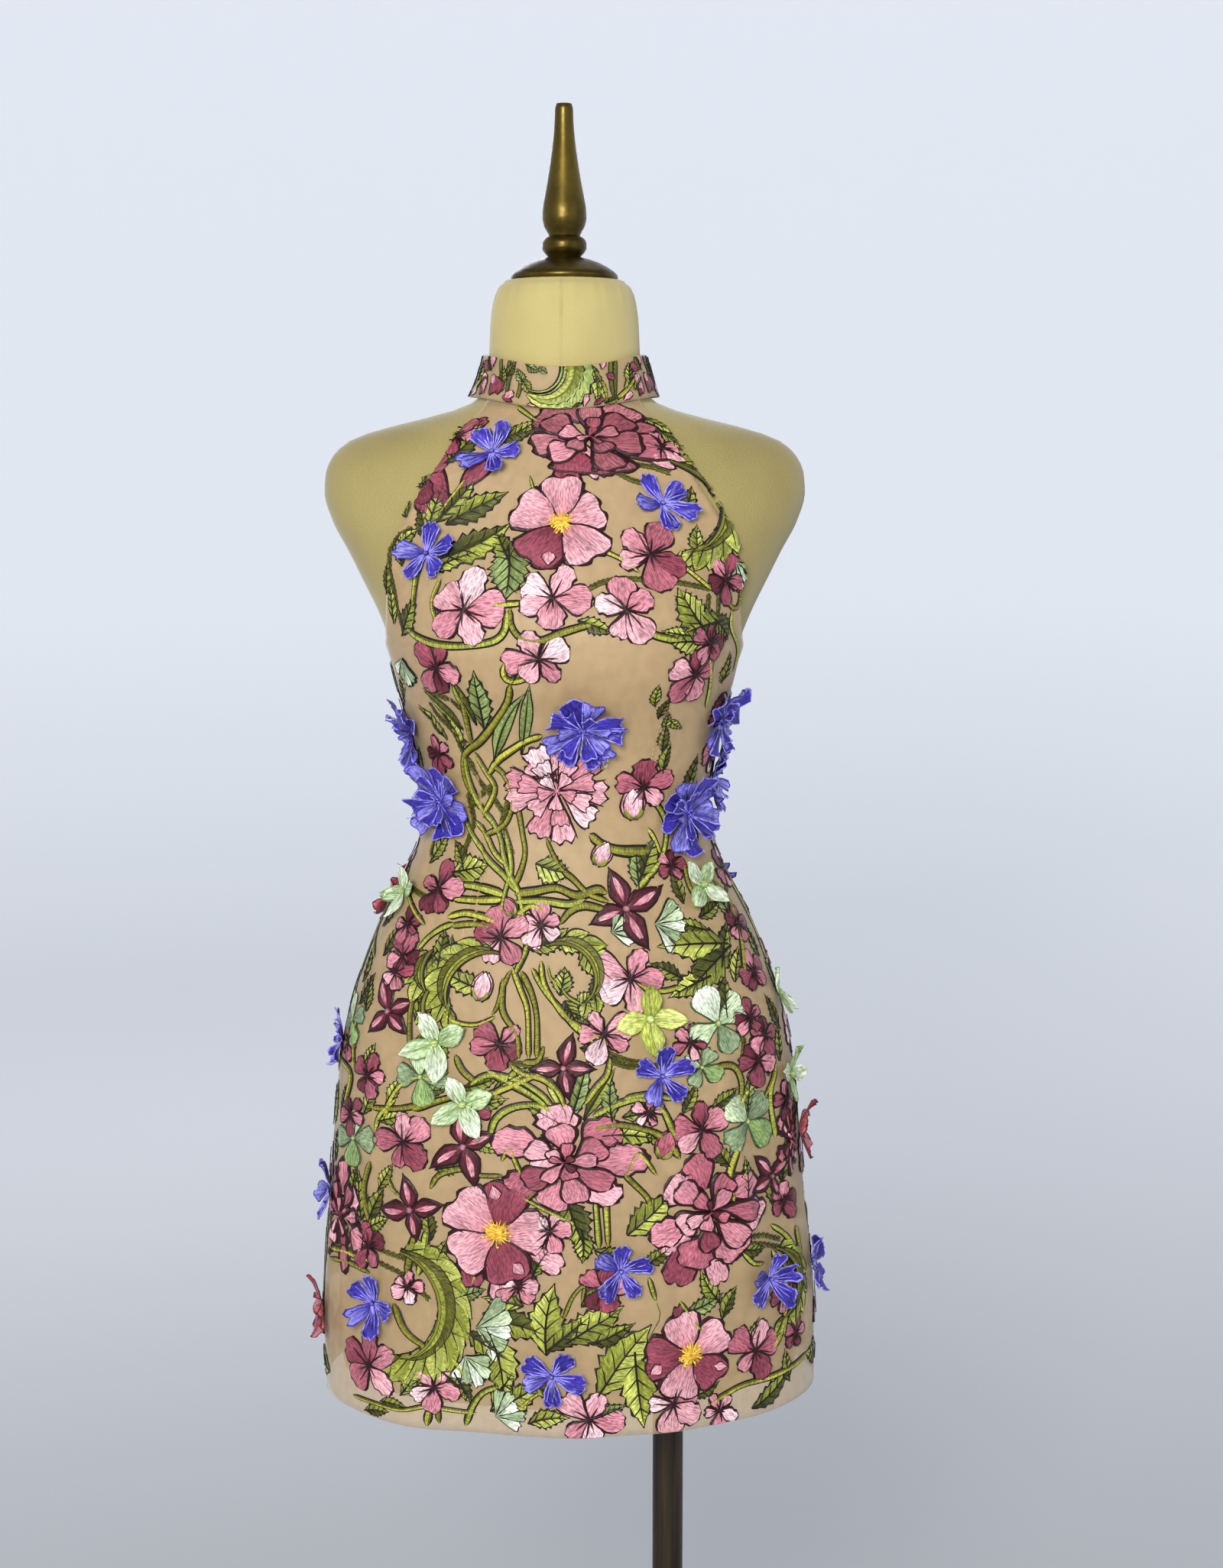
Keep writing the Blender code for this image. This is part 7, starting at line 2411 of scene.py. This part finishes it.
@dataclass
class DressForm:
    """The padded torso in its knitted jersey."""

    columns: int = 128
    rows: int = 132
    foot: float = -0.640
    cap: float = 0.150

    def jersey(self) -> Material:
        """Stretched knit cloth, khaki and gold, with its fine upright ribs, painted lighter up the neck as painted
        light and darker below as painted shade.
        """
        n = Nodes("jersey")
        ribs = n.add("ShaderNodeTexWave", wave_type="BANDS", bands_direction="X", wave_profile="SIN")
        ribs.inputs["Scale"].default_value = 1.0
        ribs.inputs["Distortion"].default_value = 0.6
        ribs.inputs["Detail"].default_value = 1.0
        n.link(n.coordinates("UV", (150, 60, 1)), ribs.inputs["Vector"])
        loops = n.noise(n.coordinates("UV", (900, 1300, 1)), 1.0, 2.0)
        broad = n.noise(n.coordinates("Object", (9, 9, 6)), 1.0, 3.0)
        shade = n.weighted(loops, 0.5, broad, 0.5)
        shaded_body_colour = n.ramp(shade, ((0.32, linear(142, 127, 74)), (0.55, linear(164, 149, 91)),
            (0.74, linear(178, 164, 106))))
        lit_neck_colour = n.ramp(shade, ((0.32, linear(172, 156, 96)), (0.55, linear(198, 182, 118)),
            (0.74, linear(210, 196, 134))))
        # painted light: the colour turns lighter up the neck, and the body below it keeps a darker painted shade
        up = n.add("ShaderNodeSeparateXYZ")
        n.link(n.coordinates("Object", (1, 1, 1)), up.inputs[0])
        neck = n.range(up.outputs["Z"], SHOULDER_HEIGHT + 0.03, SHOULDER_HEIGHT + 0.085, 0.0, 1.0)
        n.feed(n.mix(neck, shaded_body_colour, lit_neck_colour), "Base Color")
        n.value("Roughness", 0.78)
        n.value("Sheen Weight", 0.25)
        n.value("Sheen Roughness", 0.45)
        relief = n.weighted(ribs.outputs["Fac"], 0.35, loops, 0.65)
        n.bump(relief, 0.00025, 0.6)
        return n.material

    def build(self) -> None:
        """Builds the torso, with the jersey gathered in under the cap."""
        tucked = np.linspace(self.cap + 0.0015, self.cap + 0.0055, 4)
        levels = np.concatenate([np.linspace(self.foot, self.cap, self.rows), tucked])
        turns = np.linspace(0, 2 * pi, self.columns + 1)[:-1]
        angle, level = np.meshgrid(turns, levels)
        radius = Cloth.torso(angle, level)
        # soft puckers where the jersey is drawn in under the cap
        pull = np.clip((level - 0.118) / 0.034, 0.0, 1.0) ** 2
        radius = radius - 0.0007 * pull * (1 + np.sin(31 * angle) * np.sin(7 * angle + 1.0))
        points = np.stack([radius * np.sin(angle), -radius * np.cos(angle), SHOULDER_HEIGHT + level], -1)
        rows, columns = level.shape
        flat = points.reshape(-1, 3)
        ends = np.array([[0, 0, flat[0, 2]], [0, 0, flat[-1, 2]]])
        faces = grid_faces(rows, columns, True).tolist()
        last = (rows - 1) * columns
        for j in range(columns):
            k = (j + 1) % columns
            faces.append([k, j, rows * columns])
            faces.append([last + j, last + k, rows * columns + 1])
        spread = np.concatenate([np.stack([angle * YOKE_RADIUS, level], -1).reshape(-1, 2), np.zeros((2, 2))])
        piece = link_mesh("form_jersey", np.concatenate([flat, ends]), faces, spread)
        dress_piece(piece, self.jersey(), "jersey", "form_torso")


LINING_FINISH = ClothFinish("lining", (190, 160, 114), (218, 188, 140), 0.0007, 0.42, 0.15)
NET_FINISH = NetFinish("net", (206, 178, 132), 0.0011, 0.36)


def main() -> None:
    """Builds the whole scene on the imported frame."""
    Studio().build()
    DressForm().build()
    Stand().build()
    Panels(Layer.LINING, LINING_FINISH.material(), "lining", LINING_HEM, 0.0002, 0.0010).build()
    net = NET_FINISH.material()
    Panels(Layer.OVERLAY, net, "net", OVERLAY_HEM, 0.0020, 0.0023).build()
    Neckband(net).build()
    threads = {
        "green_thread": ThreadFinish("green thread", 0.42).material(),
        "rose_thread": ThreadFinish("rose thread", 0.38).material(),
        "violet_thread": ThreadFinish("violet thread", 0.30, 0.12, 0.66).material(),
    }
    Garden(threads).build()
    Blossoms(threads).build()
    Closure(threads["green_thread"]).build()


if __name__ == "__main__":
    main()
